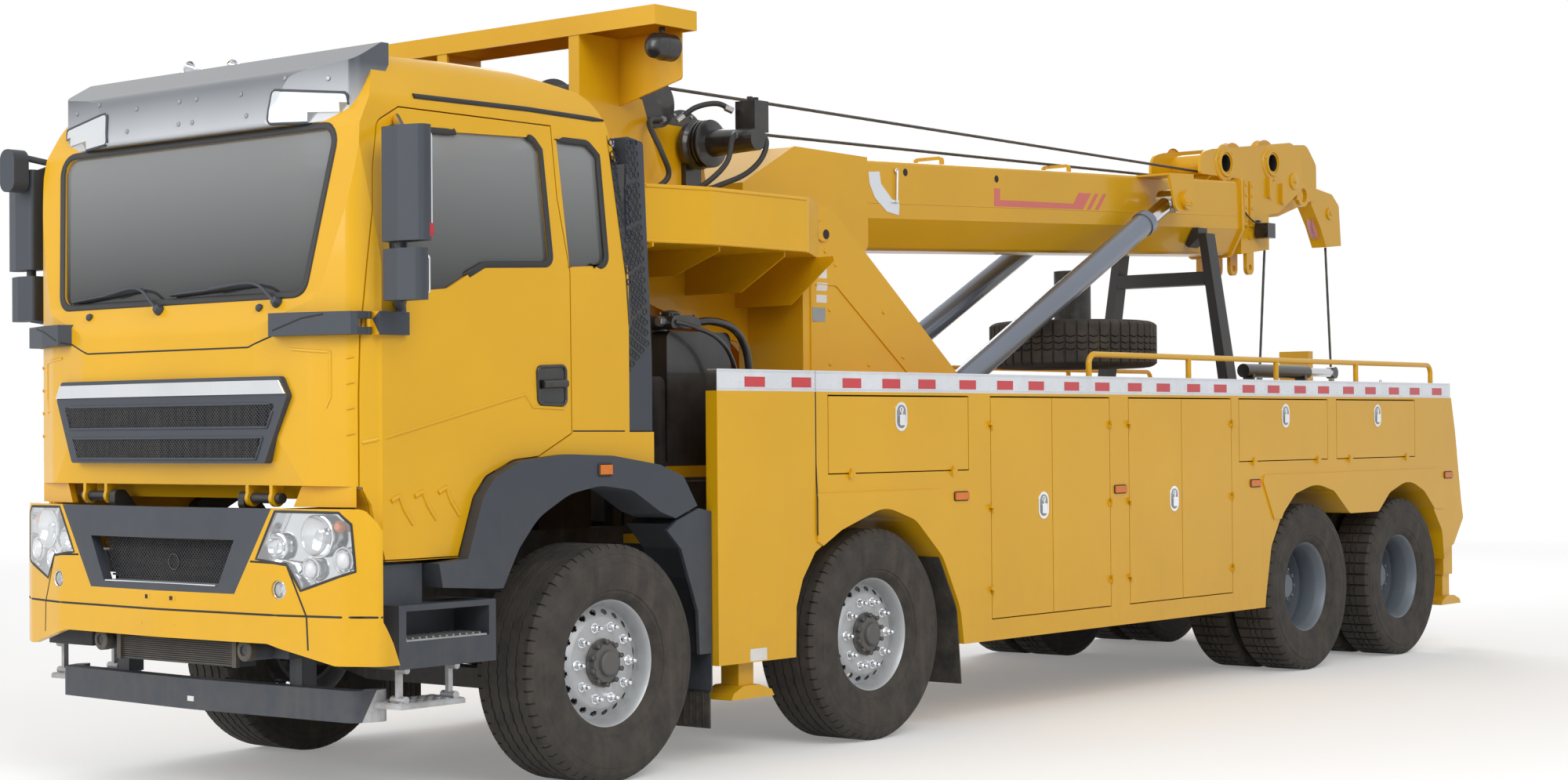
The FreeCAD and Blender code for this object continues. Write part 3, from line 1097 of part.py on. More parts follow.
def make_rear_frame() -> None:
    """Write the stabilisers' sleeves and the underlift's guide."""
    pieces = []
    for x in (FRONT_LEG_X, REAR_LEG_X):
        sleeve = box(x - 72, x + 72, LEG_Y - 72, LEG_Y + 72, 480, 1120)
        reach = LEG_HALF + SLIDE_GAP
        sleeve = sleeve.cut(box(x - reach, x + reach, LEG_Y - reach, LEG_Y + reach, 470, 1110))
        inner_end = RAIL_Y if x > RAIL_REAR else RAIL_Y - 60
        arm = box(x - 60, x + 60, inner_end, LEG_Y - 70, 880, 1040)
        pieces += both_y(fuse([sleeve, arm]))
    guide = box(RAIL_REAR, RAIL_REAR - 60, -RAIL_Y, RAIL_Y, 560, 1500)
    column = box(RAIL_REAR - 60, RAIL_REAR - 130, -120, 120, 480, 2100)
    write("rear_frame", pieces[:2] + [fuse(pieces[2:] + [guide, column])])


def make_underlift() -> None:
    """Write the underlift's sliding post, its arm and its stinger."""
    x = RAIL_REAR - 136
    slide = box(RAIL_REAR - 90, x - 90, -150, 150, 520, 1500)
    groove = 120 + SLIDE_GAP
    outer = slide.cut(box(RAIL_REAR - 89, RAIL_REAR - 130 - SLIDE_GAP, -groove, groove, 519, 1501))
    hx, hz = LIFT_HINGE
    ears = [prism_xz([(x - 80, 540), (x - 80, 740), (hx - 20, hz + 80, 60), (hx - 60, hz - 60, 50), (hx, 540)],
                     y - 15, y + 15) for y in (-140.0, 140.0)]
    pin = cross_rod(hx, hz, -160, 160, SPINDLE_R)
    write("underlift_post", fuse([outer, pin] + ears))
    tube = box(hx - 75, hx + 75, -80, 80, hz + 60, hz + 1000)
    tube = tube.cut(box(hx - 60, hx + 60, -65, 65, hz + 70, hz + 1010))
    eye = cross_rod(hx, hz, -120, 120, 80)
    cheek = box(hx - 60, hx + 60, -80, 80, hz, hz + 70)
    write("underlift_arm", fuse([tube, eye, cheek]).cut(cross_rod(hx, hz, -200, 200, HUB_BORE_R)))
    stick = box(hx - 54, hx + 54, -59, 59, hz + 120, hz + 1060)
    half_x, half_y = 60 - SLIDE_GAP, 65 - SLIDE_GAP
    shoe = box(hx - half_x, hx + half_x, -half_y, half_y, hz + 120, hz + 200)
    bar = box(hx - 60, hx + 60, -620, 620, hz + 1060, hz + 1180)
    fork = both_y(pipe((hx + 70, 520, hz + 1120), (hx - 130, 520, hz + 1120), 62, 40))
    bosses = both_y(box(hx - 70, hx + 70, 458, 582, hz + 1058, hz + 1182))
    bar = fuse([bar] + bosses)
    hole = both_y(rod((hx + 200, 520, hz + 1120), (hx - 200, 520, hz + 1120), 40))
    write("underlift_stinger", fuse([stick, shoe, bar] + fork).cut(hole))


def deck_cylinder():
    """Return the cylinder that raises the underlift, laid on the deck."""
    y, z = 500.0, DECK_Z + 327
    barrel = fuse([rod((-7000, y, z), (-7900, y, z), 47), rod((-7900, y, z), (-8270, y, z), 30)])
    low = DECK_Z + SEAT_GAP
    feet = [box(x - 12, x + 12, y - 40, y + 40, low, z) for x in (-7080, -7820)]
    eye = cross_rod(-8290, z, y - 30, y + 30, 42)
    return fuse([barrel, eye] + feet)


def make_deck_gear() -> None:
    """Write the hydraulics and the spare wheel."""
    tank = prism_xz([(-700, 1400), (-700, 2030, 40), (-1170, 2030, 40), (-1170, 1400)], 200, 900)
    cap = rod((-850, 650, 2030), (-850, 650, 2110), 90)
    cover = prism_xz([(-340, 1310, 60), (-360, 1800, 60), (-640, 1810, 40), (-640, 1310)], 560, 940)
    foot = box(-300, -660, RAIL_Y - 80, RAIL_Y, RAIL_TOP, 1320)
    shelf = box(-340, -1180, 200, 900, 1380, 1401)
    posts = [box(x - 30, x + 30, RAIL_Y - 70, RAIL_Y - 10, RAIL_TOP, 1385) for x in (-380, -860)]
    beam = box(-600, -660, RAIL_Y - 80, 600, 1310, 1401)
    tray = fuse([tank, cap, cover, shelf, beam, foot] + posts)
    write("hydraulics", [tray, deck_cylinder()] + winch_drives())
    x, y, z = -5500.0, 100.0, 2080.0
    spare = tyre(0, 0, DRIVE_TYRE_WIDTH, 0)
    rim = revolve_y(rim_barrel(-108, 108), 0, 0)
    disc = revolve_y([(70, -10), (RIM_SEAT_R - 20, -10), (RIM_SEAT_R - 20, 10), (70, 10)], 0, 0)
    pair = []
    for shape in (spare, fuse([rim, disc])):
        shape.rotate(Vector(0, 0, 0), Vector(1, 0, 0), 90)
        shape.translate(Vector(x, y, z))
        pair.append(shape)
    stand = [rod((x, y, DECK_Z), (x, y, z - 5), 120), rod((x, y, z - 12), (x, y, z + 60), 60)]
    write("spare_wheel", [pair[0], fuse([pair[1]] + stand)])


def main() -> None:
    """Build and write every piece."""
    os.makedirs("parts", exist_ok=True)
    make_wheels()
    make_axles()
    make_chassis()
    make_front_end()
    make_body()
    make_locker_doors()
    make_cab()
    make_mast()
    make_drums()
    make_boom()
    make_lift_cylinders()
    make_stabilisers()
    make_rear_frame()
    make_underlift()
    make_deck_gear()


main()
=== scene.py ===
"""Dress the heavy wrecker: finishes, tyres, lamps, grilles, ropes and fittings.

Pieces are written in metres from the middle of the front axle, X forward, Y to
the left and Z up from the loaded ground, and are moved into the frame's own
origin when they are made.
"""

from __future__ import annotations

import json
import logging
import math
from dataclasses import dataclass
from enum import Enum
from typing import Callable, Iterable, Sequence

import bmesh
import bpy
from mathutils import Matrix, Vector
from mathutils.bvhtree import BVHTree

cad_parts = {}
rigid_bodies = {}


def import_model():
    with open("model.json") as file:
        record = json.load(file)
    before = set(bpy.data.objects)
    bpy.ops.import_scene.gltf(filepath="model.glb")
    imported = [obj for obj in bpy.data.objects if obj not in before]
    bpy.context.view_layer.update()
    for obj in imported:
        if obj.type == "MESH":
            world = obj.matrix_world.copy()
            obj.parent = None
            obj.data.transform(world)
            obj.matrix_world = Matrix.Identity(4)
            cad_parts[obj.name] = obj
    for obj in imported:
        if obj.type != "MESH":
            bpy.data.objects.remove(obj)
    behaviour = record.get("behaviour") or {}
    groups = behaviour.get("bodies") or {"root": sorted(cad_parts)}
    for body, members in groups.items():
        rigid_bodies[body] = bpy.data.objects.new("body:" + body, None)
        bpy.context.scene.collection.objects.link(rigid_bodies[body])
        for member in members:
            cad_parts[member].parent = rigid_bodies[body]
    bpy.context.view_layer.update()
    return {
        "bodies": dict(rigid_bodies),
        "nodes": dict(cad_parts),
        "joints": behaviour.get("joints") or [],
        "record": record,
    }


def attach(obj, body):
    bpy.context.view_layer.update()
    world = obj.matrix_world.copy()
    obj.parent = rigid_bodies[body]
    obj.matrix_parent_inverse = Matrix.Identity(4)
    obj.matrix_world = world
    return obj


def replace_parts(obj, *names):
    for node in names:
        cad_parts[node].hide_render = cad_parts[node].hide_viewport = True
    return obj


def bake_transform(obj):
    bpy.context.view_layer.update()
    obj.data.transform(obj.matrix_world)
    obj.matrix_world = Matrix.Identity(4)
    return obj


for spare_object in list(bpy.data.objects):
    bpy.data.objects.remove(spare_object)
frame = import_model()

LOG = logging.getLogger("wrecker")
ORIGIN = Vector((3.86, 0.0, 0.032))
WELD = 1e-6
EDGE_SEGMENTS, EDGE_ANGLE = 2, 40.0
AHEAD, ACROSS, UP = (Vector(way) for way in ((1.0, 0.0, 0.0), (0.0, 1.0, 0.0), (0.0, 0.0, 1.0)))
CENTRE = Vector((0.0, 0.0, 0.0))
LEFT, RIGHT = 1.0, -1.0
SIDE_NAMES = {LEFT: "left", RIGHT: "right"}

Pair = tuple[float, float]
Place = tuple[Vector, Vector]


class Plane(Enum):
    """The plane that a flat outline is drawn in."""

    SIDE = "xz"
    FRONT = "yz"
    PLAN = "xy"

    def place(self, u: float, v: float, depth: float) -> Vector:
        """Return the point at (u, v) in the plane and at a depth across it."""
        if self is Plane.SIDE:
            return Vector((u, depth, v))
        if self is Plane.FRONT:
            return Vector((depth, u, v))
        return Vector((u, v, depth))


def rounded(points: Sequence[tuple], segments: int = 6) -> list[Pair]:
    """Turn (u, v) or (u, v, radius) corners into a plain list of points.

    Args:
        points: the corners in order round a closed outline.
        segments: how many steps an arc is drawn in.

    Returns:
        The outline as (u, v) pairs.
    """
    result: list[Pair] = []
    count = len(points)
    for i, point in enumerate(points):
        corner = Vector(point[:2])
        if len(point) < 3:
            result.append((corner.x, corner.y))
            continue
        before = (Vector(points[i - 1][:2]) - corner).normalized()
        after = (Vector(points[(i + 1) % count][:2]) - corner).normalized()
        half = before.angle(after) / 2.0
        middle = (before + after).normalized()
        centre = corner + middle * (point[2] / math.sin(half))
        start = corner + before * (point[2] / math.tan(half)) - centre
        sweep = start.angle_signed(corner + after * (point[2] / math.tan(half)) - centre)
        for k in range(segments + 1):
            turned = Matrix.Rotation(-sweep * k / segments, 2) @ start
            result.append(tuple(centre + turned))
    return result


def spread(points: Sequence[Pair], step: float, closed: bool) -> list[Pair]:
    """Add points along an outline so that none is far from the next.

    Args:
        points: the outline.
        step: the longest distance left between two points.
        closed: whether the last point joins the first.

    Returns:
        The denser outline.
    """
    result: list[Pair] = []
    ends = list(points) + ([points[0]] if closed else [])
    for a, b in zip(ends, ends[1:]):
        count = max(1, math.ceil(math.dist(a, b) / step))
        result += [(a[0] + (b[0] - a[0]) * k / count, a[1] + (b[1] - a[1]) * k / count) for k in range(count)]
    if not closed:
        result.append(tuple(ends[-1]))
    return result


def around(count: int, radius: float, phase: float = 0.0) -> list[Pair]:
    """Return points evenly spaced round a circle."""
    turns = [math.tau * (k + phase) / count for k in range(count)]
    return [(radius * math.cos(turn), radius * math.sin(turn)) for turn in turns]


def rect(u0: float, u1: float, v0: float, v1: float, *radius: float) -> list[tuple]:
    """Return a rectangle's corners, with their radius where one is given."""
    return [(u0, v0, *radius), (u1, v0, *radius), (u1, v1, *radius), (u0, v1, *radius)]


def flowing(points: Sequence[Sequence[float]], steps: int = 8) -> list[Vector]:
    """Return a smooth line through points, as a hose or a cable takes."""
    knots = [Vector(p) for p in points]
    padded = [knots[0] * 2 - knots[1]] + knots + [knots[-1] * 2 - knots[-2]]
    line: list[Vector] = []
    for i in range(1, len(padded) - 2):
        a, b, c, d = padded[i - 1 : i + 3]
        for k in range(steps):
            t = k / steps
            line.append(((2 * b) + (c - a) * t + (2 * a - 5 * b + 4 * c - d) * t**2 + (3 * b - a - 3 * c + d)
                         * t**3) / 2)
    return line + [knots[-1]]


class Shape:
    """A mesh grown from simple forms, in metres from the front axle."""

    def __init__(self) -> None:
        """Start empty, with the first finish."""
        self.bm = bmesh.new()
        self.finish = 0

    def face(self, corners: Sequence) -> None:
        """Add one face in the present finish."""
        made = self.bm.faces.new(corners)
        made.material_index = self.finish
        made.smooth = True

    def loft(self, rings: Sequence[Sequence[Vector]], closed: bool = True, capped: bool = True,
             loop: bool = False) -> None:
        """Join rings of equal length into a skin.

        Args:
            rings: the rings in order.
            closed: whether each ring goes all the way round.
            capped: whether the two end rings are filled.
            loop: whether the last ring joins the first.
        """
        made = [[self.bm.verts.new(p) for p in ring] for ring in rings]
        pairs = list(zip(made, made[1:])) + ([(made[-1], made[0])] if loop else [])
        size = len(made[0])
        for one, two in pairs:
            for i in range(size if closed else size - 1):
                j = (i + 1) % size
                self.face((one[i], one[j], two[j], two[i]))
        if capped and closed and not loop:
            self.face(made[0][::-1])
            self.face(made[-1])

    def prism(self, points: Sequence[tuple], plane: Plane, low: float, high: float) -> "Shape":
        """Raise a flat outline between two depths and return the shape."""
        outline = rounded(points)
        self.loft([[plane.place(u, v, depth) for u, v in outline] for depth in (low, high)])
        return self

    def box(self, x0: float, x1: float, y0: float, y1: float, z0: float, z1: float) -> "Shape":
        """Add a box between two corners and return the shape."""
        return self.prism(rect(x0, x1, y0, y1), Plane.PLAN, z0, z1)

    def lathe(self, profile: Sequence[Pair], centre: Sequence[float], axis: Sequence[float] = ACROSS,
              sides: int = 32, closed: bool = False,
              skip: Callable[[int, int], bool] | None = None) -> "Shape":
        """Turn a (radius, along) profile about an axis.

        Args:
            profile: the points from one end to the other.
            centre: the point that along is measured from.
            axis: the direction of the axis.
            sides: how many steps there are in a turn.
            closed: whether the profile's last point joins its first.
            skip: says which (profile step, turn step) faces are left open.

        Returns:
            The shape.
        """
        spin = Vector(axis).normalized().to_track_quat("Z", "X")
        base = Vector(centre)
        rings = []
        for radius, along in profile:
            if radius < WELD:
                rings.append([self.bm.verts.new(base + spin @ Vector((0, 0, along)))] * sides)
            else:
                rings.append([self.bm.verts.new(base + spin @ Vector((u, v, along))) for u,
                              v in around(sides, radius)])
        pairs = list(zip(rings, rings[1:])) + ([(rings[-1], rings[0])] if closed else [])
        for i, (one, two) in enumerate(pairs):
            for k in range(sides):
                if skip and skip(i, k):
                    continue
                corners = [one[k], one[(k + 1) % sides], two[(k + 1) % sides], two[k]]
                self.face(list(dict.fromkeys(corners)))
        return self

    def rod(self, start: Sequence[float], end: Sequence[float], radius: float, sides: int = 20,
            chamfer: float = 0.0) -> "Shape":
        """Add a round bar between two points, its ends chamfered."""
        start, end = Vector(start), Vector(end)
        long = (end - start).length
        c = chamfer or min(radius, long) * 0.08
        profile = [(0, 0), (radius - c, 0), (radius, c), (radius, long - c), (radius - c, long), (0, long)]
        return self.lathe(profile, start, end - start, sides)

    def ring(self, centre: Sequence[float], axis: Sequence[float], radius: float, wire: float,
             sides: int = 28) -> "Shape":
        """Add a round ring of round wire."""
        loop = [(radius + u, v) for u, v in around(10, wire)]
        return self.lathe(loop, centre, axis, sides, closed=True)

    def tube(self, points: Sequence[Sequence[float]], radius: float, sides: int = 10,
             smooth: bool = True) -> "Shape":
        """Add a round hose or bar along a line of points."""
        line = flowing(points) if smooth else [Vector(p) for p in points]
        side = (line[1] - line[0]).orthogonal().normalized()
        rings = []
        for i, point in enumerate(line):
            way = (line[min(i + 1, len(line) - 1)] - line[max(i - 1, 0)]).normalized()
            side = (side - way * side.dot(way)).normalized()
            up = way.cross(side)
            rings.append([point + (side * math.cos(t) + up * math.sin(t)) * radius
                          for t in (math.tau * k / sides for k in range(sides))])
        self.loft(rings)
        return self

    def bead(self, path: Sequence[Place], width: float, height: float, closed: bool = False,
             sink: float = 0.002) -> "Shape":
        """Lay a low rounded strip along places on a surface.

        Args:
            path: points with the surface's normal at each.
            width: the strip's width.
            height: how far it stands proud.
            closed: whether it joins its own start.
            sink: how far its edges go under the surface.

        Returns:
            The shape.
        """
        half = width / 2.0
        section = ((-half, -sink), (-half * 0.9, height * 0.55), (-half * 0.45, height),
                   (half * 0.45, height), (half * 0.9, height * 0.55), (half, -sink))
        rings = []
        count = len(path)
        for i, (point, normal) in enumerate(path):
            after = path[(i + 1) % count][0] if closed or i + 1 < count else point
            before = path[i - 1][0] if closed or i else point
            across = (after - before).normalized().cross(normal).normalized()
            rings.append([point + across * u + normal * v for u, v in section])
        self.loft(rings, loop=closed)
        return self

    def patch(self, rows: Sequence[Sequence[Place]], lift: float, sink: float = 0.003) -> "Shape":
        """Lay a thin sheet over rows of places, its rim turned down.

        Args:
            rows: rows of points with the surface's normal at each.
            lift: how far the sheet stands proud.
            sink: how far its rim goes under the surface.

        Returns:
            The shape.
        """
        top = [[self.bm.verts.new(point + normal * lift) for point, normal in row] for row in rows]
        for one, two in zip(top, top[1:]):
            for i in range(len(one) - 1):
                self.face((one[i], one[i + 1], two[i + 1], two[i]))
        last = len(rows[0]) - 1
        border = [(0, i) for i in range(last)] + [(j, last) for j in range(len(rows) - 1)]
        border += [(len(rows) - 1, i) for i in range(last, 0, -1)]
        border += [(j, 0) for j in range(len(rows) - 1, 0, -1)]
        low = [self.bm.verts.new(rows[j][i][0] - rows[j][i][1] * sink) for j, i in border]
        high = [top[j][i] for j, i in border]
        for i in range(len(border)):
            k = (i + 1) % len(border)
            self.face((high[i], low[i], low[k], high[k]))
        return self

    def diagonals(self, surface: Callable[[float, float], Place], foot: float, low: float, head: float,
                  high: float, step: float, wire: float) -> "Shape":
        """Fill an upright trapezoid with crossed slanting wires.

        Args:
            surface: gives the place at (y, z).
            foot: half the width at the bottom.
            low: the height of the bottom.
            head: half the width at the top.
            high: the height of the top.
            step: the distance between wires.
            wire: the width of a wire.

        Returns:
            The shape.
        """
        tall = high - low
        count = int((max(foot, head) * 2 + tall) / step)
        for way in (1, -1):
            for k in range(count + 1):
                start = -max(foot, head) - tall / 2 + k * step
                line = [(start + way * tall * (t / 6 - 0.5), low + tall * t / 6) for t in range(7)]
                line = [(y, z) for y, z in line if abs(y) <= foot + (head - foot) * (z - low) / tall]
                if len(line) > 1:
                    self.bead([surface(y, z) for y, z in line], wire, wire * 0.8, sink=wire * 0.5)
        return self

    def stamp(self, other: "Shape", places: Iterable[Matrix]) -> "Shape":
        """Add copies of another shape at each place."""
        other.bm.verts.index_update()
        for place in places:
            made = [self.bm.verts.new(place @ v.co) for v in other.bm.verts]
            for f in other.bm.faces:
                copy = self.bm.faces.new([made[v.index] for v in f.verts])
                copy.material_index = f.material_index
                copy.smooth = True
        return self

    def both_sides(self) -> "Shape":
        """Add the mirror image on the other side of the truck."""
        mirror = Shape()
        mirror.stamp(self, [Matrix.Diagonal((1, -1, 1, 1))])
        self.stamp(mirror, [Matrix.Identity(4)])
        mirror.bm.free()
        return self

    def flip(self, side: float) -> "Shape":
        """Mirror the whole shape when it belongs to the right side."""
        if side < 0:
            bmesh.ops.scale(self.bm, vec=(1, -1, 1), verts=self.bm.verts)
        return self

    def mesh(self, name: str, finishes: str, crease: float,
             shift: Sequence[float] = CENTRE) -> bpy.types.Mesh:
        """Close the shape and turn it into a mesh, moved by shift."""
        bmesh.ops.remove_doubles(self.bm, verts=self.bm.verts, dist=WELD)
        bmesh.ops.recalc_face_normals(self.bm, faces=self.bm.faces)
        bmesh.ops.translate(self.bm, vec=shift, verts=self.bm.verts)
        mesh = bpy.data.meshes.new(name)
        self.bm.to_mesh(mesh)
        self.bm.free()
        mesh.set_sharp_from_angle(angle=math.radians(crease))
        for finish in finishes.split():
            mesh.materials.append(SKINS[finish])
        return mesh

    def make(self, name: str, body: str | None, finishes: str, slot: str | None = None, edge: float = 0.0,
             crease: float = 35.0) -> bpy.types.Object:
        """Turn the shape into a piece that rides on a body.

        Args:
            name: the piece's name.
            body: the body that it moves with, or None where it rides on none.
            finishes: its finishes' names, in the order that the shape numbers them.
            slot: not used.
            edge: the width of the rounding on its edges.
            crease: the angle in degrees past which an edge stays sharp.

        Returns:
            The piece.
        """
        mesh = self.mesh(name, finishes, crease, ORIGIN)
        piece = bpy.data.objects.new(name, mesh)
        bpy.context.scene.collection.objects.link(piece)
        if edge:
            bevel = piece.modifiers.new("edges", "BEVEL")
            bevel.width, bevel.segments = edge, EDGE_SEGMENTS
            bevel.limit_method, bevel.angle_limit = "ANGLE", math.radians(EDGE_ANGLE)
            bevel.harden_normals = True
        if body:
            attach(piece, body)
        LOG.info("%s on %s, %d faces", name, body, len(mesh.polygons))
        return piece


class Skin:
    """The outer surface of some nodes, which trim is laid on."""

    REACH = 6.0

    def __init__(self, *nodes: str) -> None:
        """Gather the nodes' triangles, in metres from the front axle."""
        points: list[Vector] = []
        faces: list[list[int]] = []
        for node in nodes:
            mesh = frame["nodes"][node].data
            start = len(points)
            points += [v.co - ORIGIN for v in mesh.vertices]
            faces += [[start + i for i in p.vertices] for p in mesh.polygons]
        self.tree = BVHTree.FromPolygons(points, faces)

    def hit(self, start: Sequence[float], way: Sequence[float]) -> Place:
        """Return where a line from start first meets the skin."""
        origin, way = Vector(start), Vector(way)
        point, normal, _, _ = self.tree.ray_cast(origin, way)
        if point is None:
            point, normal, _, _ = self.tree.find_nearest(origin + way * self.REACH)
        return point, (normal if normal.dot(way) < 0 else -normal)

    def front(self, y: float, z: float) -> Place:
        """Return the skin's place seen from in front at (y, z)."""
        return self.hit((self.REACH, y, z), (-1, 0, 0))

    def side(self, x: float, z: float, side: float = LEFT) -> Place:
        """Return the skin's place seen from one side at (x, z)."""
        return self.hit((x, self.REACH * side, z), (0, -side, 0))

    def above(self, x: float, y: float) -> Place:
        """Return the skin's place seen from above at (x, y)."""
        return self.hit((x, y, self.REACH), (0, 0, -1))


def on_side(skin: Skin, points: Sequence[tuple], closed: bool = True, step: float = 0.03,
            side: float = LEFT) -> list[Place]:
    """Lay a side outline of (x, z) points on a skin."""
    line = rounded(points) if closed else [tuple(p[:2]) for p in points]
    return [skin.side(x, z, side) for x, z in spread(line, step, closed)]


def on_front(skin: Skin, points: Sequence[tuple], closed: bool = True, step: float = 0.03) -> list[Place]:
    """Lay a front outline of (y, z) points on a skin."""
    line = rounded(points) if closed else [tuple(p[:2]) for p in points]
    return [skin.front(y, z) for y, z in spread(line, step, closed)]


def quad_on(surface: Callable[[float, float], Place], corners: Sequence[Pair], across: int = 8,
            along: int = 3) -> list[list[Place]]:
    """Lay a four-cornered sheet of places on a surface.

    Args:
        surface: gives the place at two coordinates.
        corners: the four corners in order.
        across: the steps from the first corner to the second.
        along: the steps from the second corner to the third.

    Returns:
        Rows of places.
    """
    a, b, c, d = (Vector(p) for p in corners)
    rows = []
    for j in range(along + 1):
        start, end = a.lerp(d, j / along), b.lerp(c, j / along)
        rows.append([surface(*start.lerp(end, i / across)) for i in range(across + 1)])
    return rows


def facing(place: Place, spin: float = 0.0) -> Matrix:
    """Return the matrix that stands a shape's Z along a place's normal."""
    point, normal = place
    turn = normal.to_track_quat("Z", "Y").to_matrix().to_4x4()
    return Matrix.Translation(point) @ turn @ Matrix.Rotation(spin, 4, "Z")


def bolt_head(radius: float, height: float) -> Shape:
    """Return a low domed bolt head or rivet that stands along Z."""
    return Shape().lathe([(radius, -0.002), (radius, height * 0.5), (radius * 0.8, height * 0.85),
                          (0, height)], CENTRE, UP, 14)


class Tree:
    """A shader node tree that nodes are added to and wired in."""

    def __init__(self, tree: bpy.types.NodeTree) -> None:
        """Hold the tree."""
        self.tree = tree

    def add(self, kind: str, settings: dict | None = None, **inputs: object) -> bpy.types.Node:
        """Add a node, set its properties, and set or wire its inputs.

        Args:
            kind: the node's type without the ShaderNode prefix.
            settings: properties of the node itself.
            inputs: values or sockets by input name, with _ for a space.

        Returns:
            The node.
        """
        node = self.tree.nodes.new(kind if kind.startswith("Node") else "ShaderNode" + kind)
        for key, value in (settings or {}).items():
            setattr(node, key, value)
        for key, value in inputs.items():
            self.put(value, node.inputs[key.replace("_", " ")])
        return node

    def put(self, value: object, socket: bpy.types.NodeSocket) -> None:
        """Wire a socket into an input, or set a plain value."""
        if isinstance(value, bpy.types.NodeSocket):
            self.tree.links.new(value, socket)
        else:
            socket.default_value = value

    def math(self, operation: str, *values: object) -> bpy.types.NodeSocket:
        """Return the result of a sum on sockets or numbers."""
        node = self.tree.nodes.new("ShaderNodeMath")
        node.operation = operation
        for socket, value in zip(node.inputs, values):
            self.put(value, socket)
        return node.outputs[0]

    def between(self, value: object, low: float, high: float, to_low: float = 0.0,
                to_high: float = 1.0) -> bpy.types.NodeSocket:
        """Return a value spread from one range to another and held inside it."""
        node = self.add("MapRange", None, Value=value, From_Min=low, From_Max=high, To_Min=to_low,
                        To_Max=to_high)
        return node.outputs[0]

    def noise(self, vector: object, scale: float, detail: float = 3.0,
              rough: float = 0.5) -> bpy.types.NodeSocket:
        """Return a noise value over a position."""
        node = self.add("TexNoise", None, Vector=vector, Scale=scale, Detail=detail, Roughness=rough)
        return node.outputs[0]


def new_group(name: str, inputs: dict[str, tuple[str, object]],
              outputs: dict[str, str]) -> tuple[Tree, dict, bpy.types.Node]:
    """Start a shader node group with named sockets.

    Args:
        name: the group's name.
        inputs: socket kind and default value by name.
        outputs: socket kind by name.

    Returns:
        The tree, its input sockets by name, and its output node.
    """
    tree = bpy.data.node_groups.new(name, "ShaderNodeTree")
    for label, (kind, value) in inputs.items():
        socket = tree.interface.new_socket(name=label, in_out="INPUT", socket_type="NodeSocket" + kind)
        if value is not None:
            socket.default_value = value
    for label, kind in outputs.items():
        tree.interface.new_socket(name=label, in_out="OUTPUT", socket_type="NodeSocket" + kind)
    entry = tree.nodes.new("NodeGroupInput")
    return Tree(tree), {s.name: s for s in entry.outputs}, tree.nodes.new("NodeGroupOutput")


def weathering_group() -> bpy.types.NodeTree:
    """Build the group that mottles a colour and lays dust and streaks on it."""
    t, given, out = new_group("Weathering", {"Position": ("Vector", None),
                                             "Color": ("Color", (0.5, 0.5, 0.5, 1)),
                                             "Dust Color": ("Color", (0.3, 0.26, 0.2, 1)),
                                             "Roughness": ("Float", 0.4), "Amount": ("Float", 0.3),
                                             "Top": ("Float", 1.0), "Mottle": ("Float", 0.05)},
                              {"Color": "Color", "Roughness": "Float"})
    spot = given["Position"]
    broad = t.noise(spot, 1.7, 3.0)
    shade = t.math("ADD", 1.0, t.math("MULTIPLY", t.between(broad, 0.3, 0.7, -1.0, 1.0), given["Mottle"]))
    tint = t.add("VectorMath", {"operation": "SCALE"}, Vector=given["Color"], Scale=shade)
    height = t.add("SeparateXYZ", None, Vector=spot).outputs["Z"]
    low = t.between(t.math("SUBTRACT", height, given["Top"]), -0.9, 0.1, 1.0, 0.0)
    fine = t.between(t.noise(spot, 9.0, 6.0, 0.65), 0.36, 0.68)
    stretched = t.add("Mapping", None, Vector=spot)
    stretched.inputs["Scale"].default_value = (16.0, 16.0, 0.9)
    runs = t.between(t.noise(stretched.outputs[0], 1.0, 4.0), 0.52, 0.74, 0.0, 0.5)
    dirt = t.math("ADD", t.math("MULTIPLY", fine, 0.7), runs)
    mask = t.math("MULTIPLY", t.math("MULTIPLY", dirt, low), given["Amount"])
    mask = t.between(mask, 0.0, 1.0)
    mixed = t.add("Mix", {"data_type": "RGBA"})
    for socket, value in ((mixed.inputs[0], mask), (mixed.inputs[6], tint.outputs[0]),
                          (mixed.inputs[7], given["Dust Color"])):
        t.put(value, socket)
    t.put(mixed.outputs[2], out.inputs["Color"])
    lift = t.math("MULTIPLY", mask, t.math("SUBTRACT", 0.92, given["Roughness"]))
    t.put(t.math("ADD", given["Roughness"], lift), out.inputs["Roughness"])
    return t.tree


def grain_group() -> bpy.types.NodeTree:
    """Build the group that gives moulded grain, casting skin or orange peel."""
    t, given, out = new_group("Grain", {"Position": ("Vector", None), "Scale": ("Float", 300.0),
                                        "Coarse": ("Float", 0.3)}, {"Height": "Float"})
    fine = t.add("TexNoise", None, Vector=given["Position"], Scale=given["Scale"], Detail=2.0).outputs[0]
    coarse = t.add("TexNoise", None, Vector=given["Position"], Scale=t.math("MULTIPLY", given["Scale"], 0.06),
                   Detail=3.0)
    t.put(t.math("ADD", fine, t.math("MULTIPLY", coarse.outputs[0], given["Coarse"])), out.inputs["Height"])
    return t.tree


def weave_group() -> bpy.types.NodeTree:
    """Build the group that gives a plain weave's height."""
    t, given, out = new_group("Weave", {"Position": ("Vector", None), "Scale": ("Float", 500.0)},
                              {"Height": "Float"})
    waves = []
    for direction in ("X", "Y", "Z"):
        wave = t.add("TexWave", {"bands_direction": direction}, Vector=given["Position"],
                     Scale=given["Scale"], Distortion=0.6)
        waves.append(wave.outputs[1])
    height = t.math("ADD", t.math("MULTIPLY", waves[0], waves[2]), waves[1])
    t.put(height, out.inputs["Height"])
    return t.tree


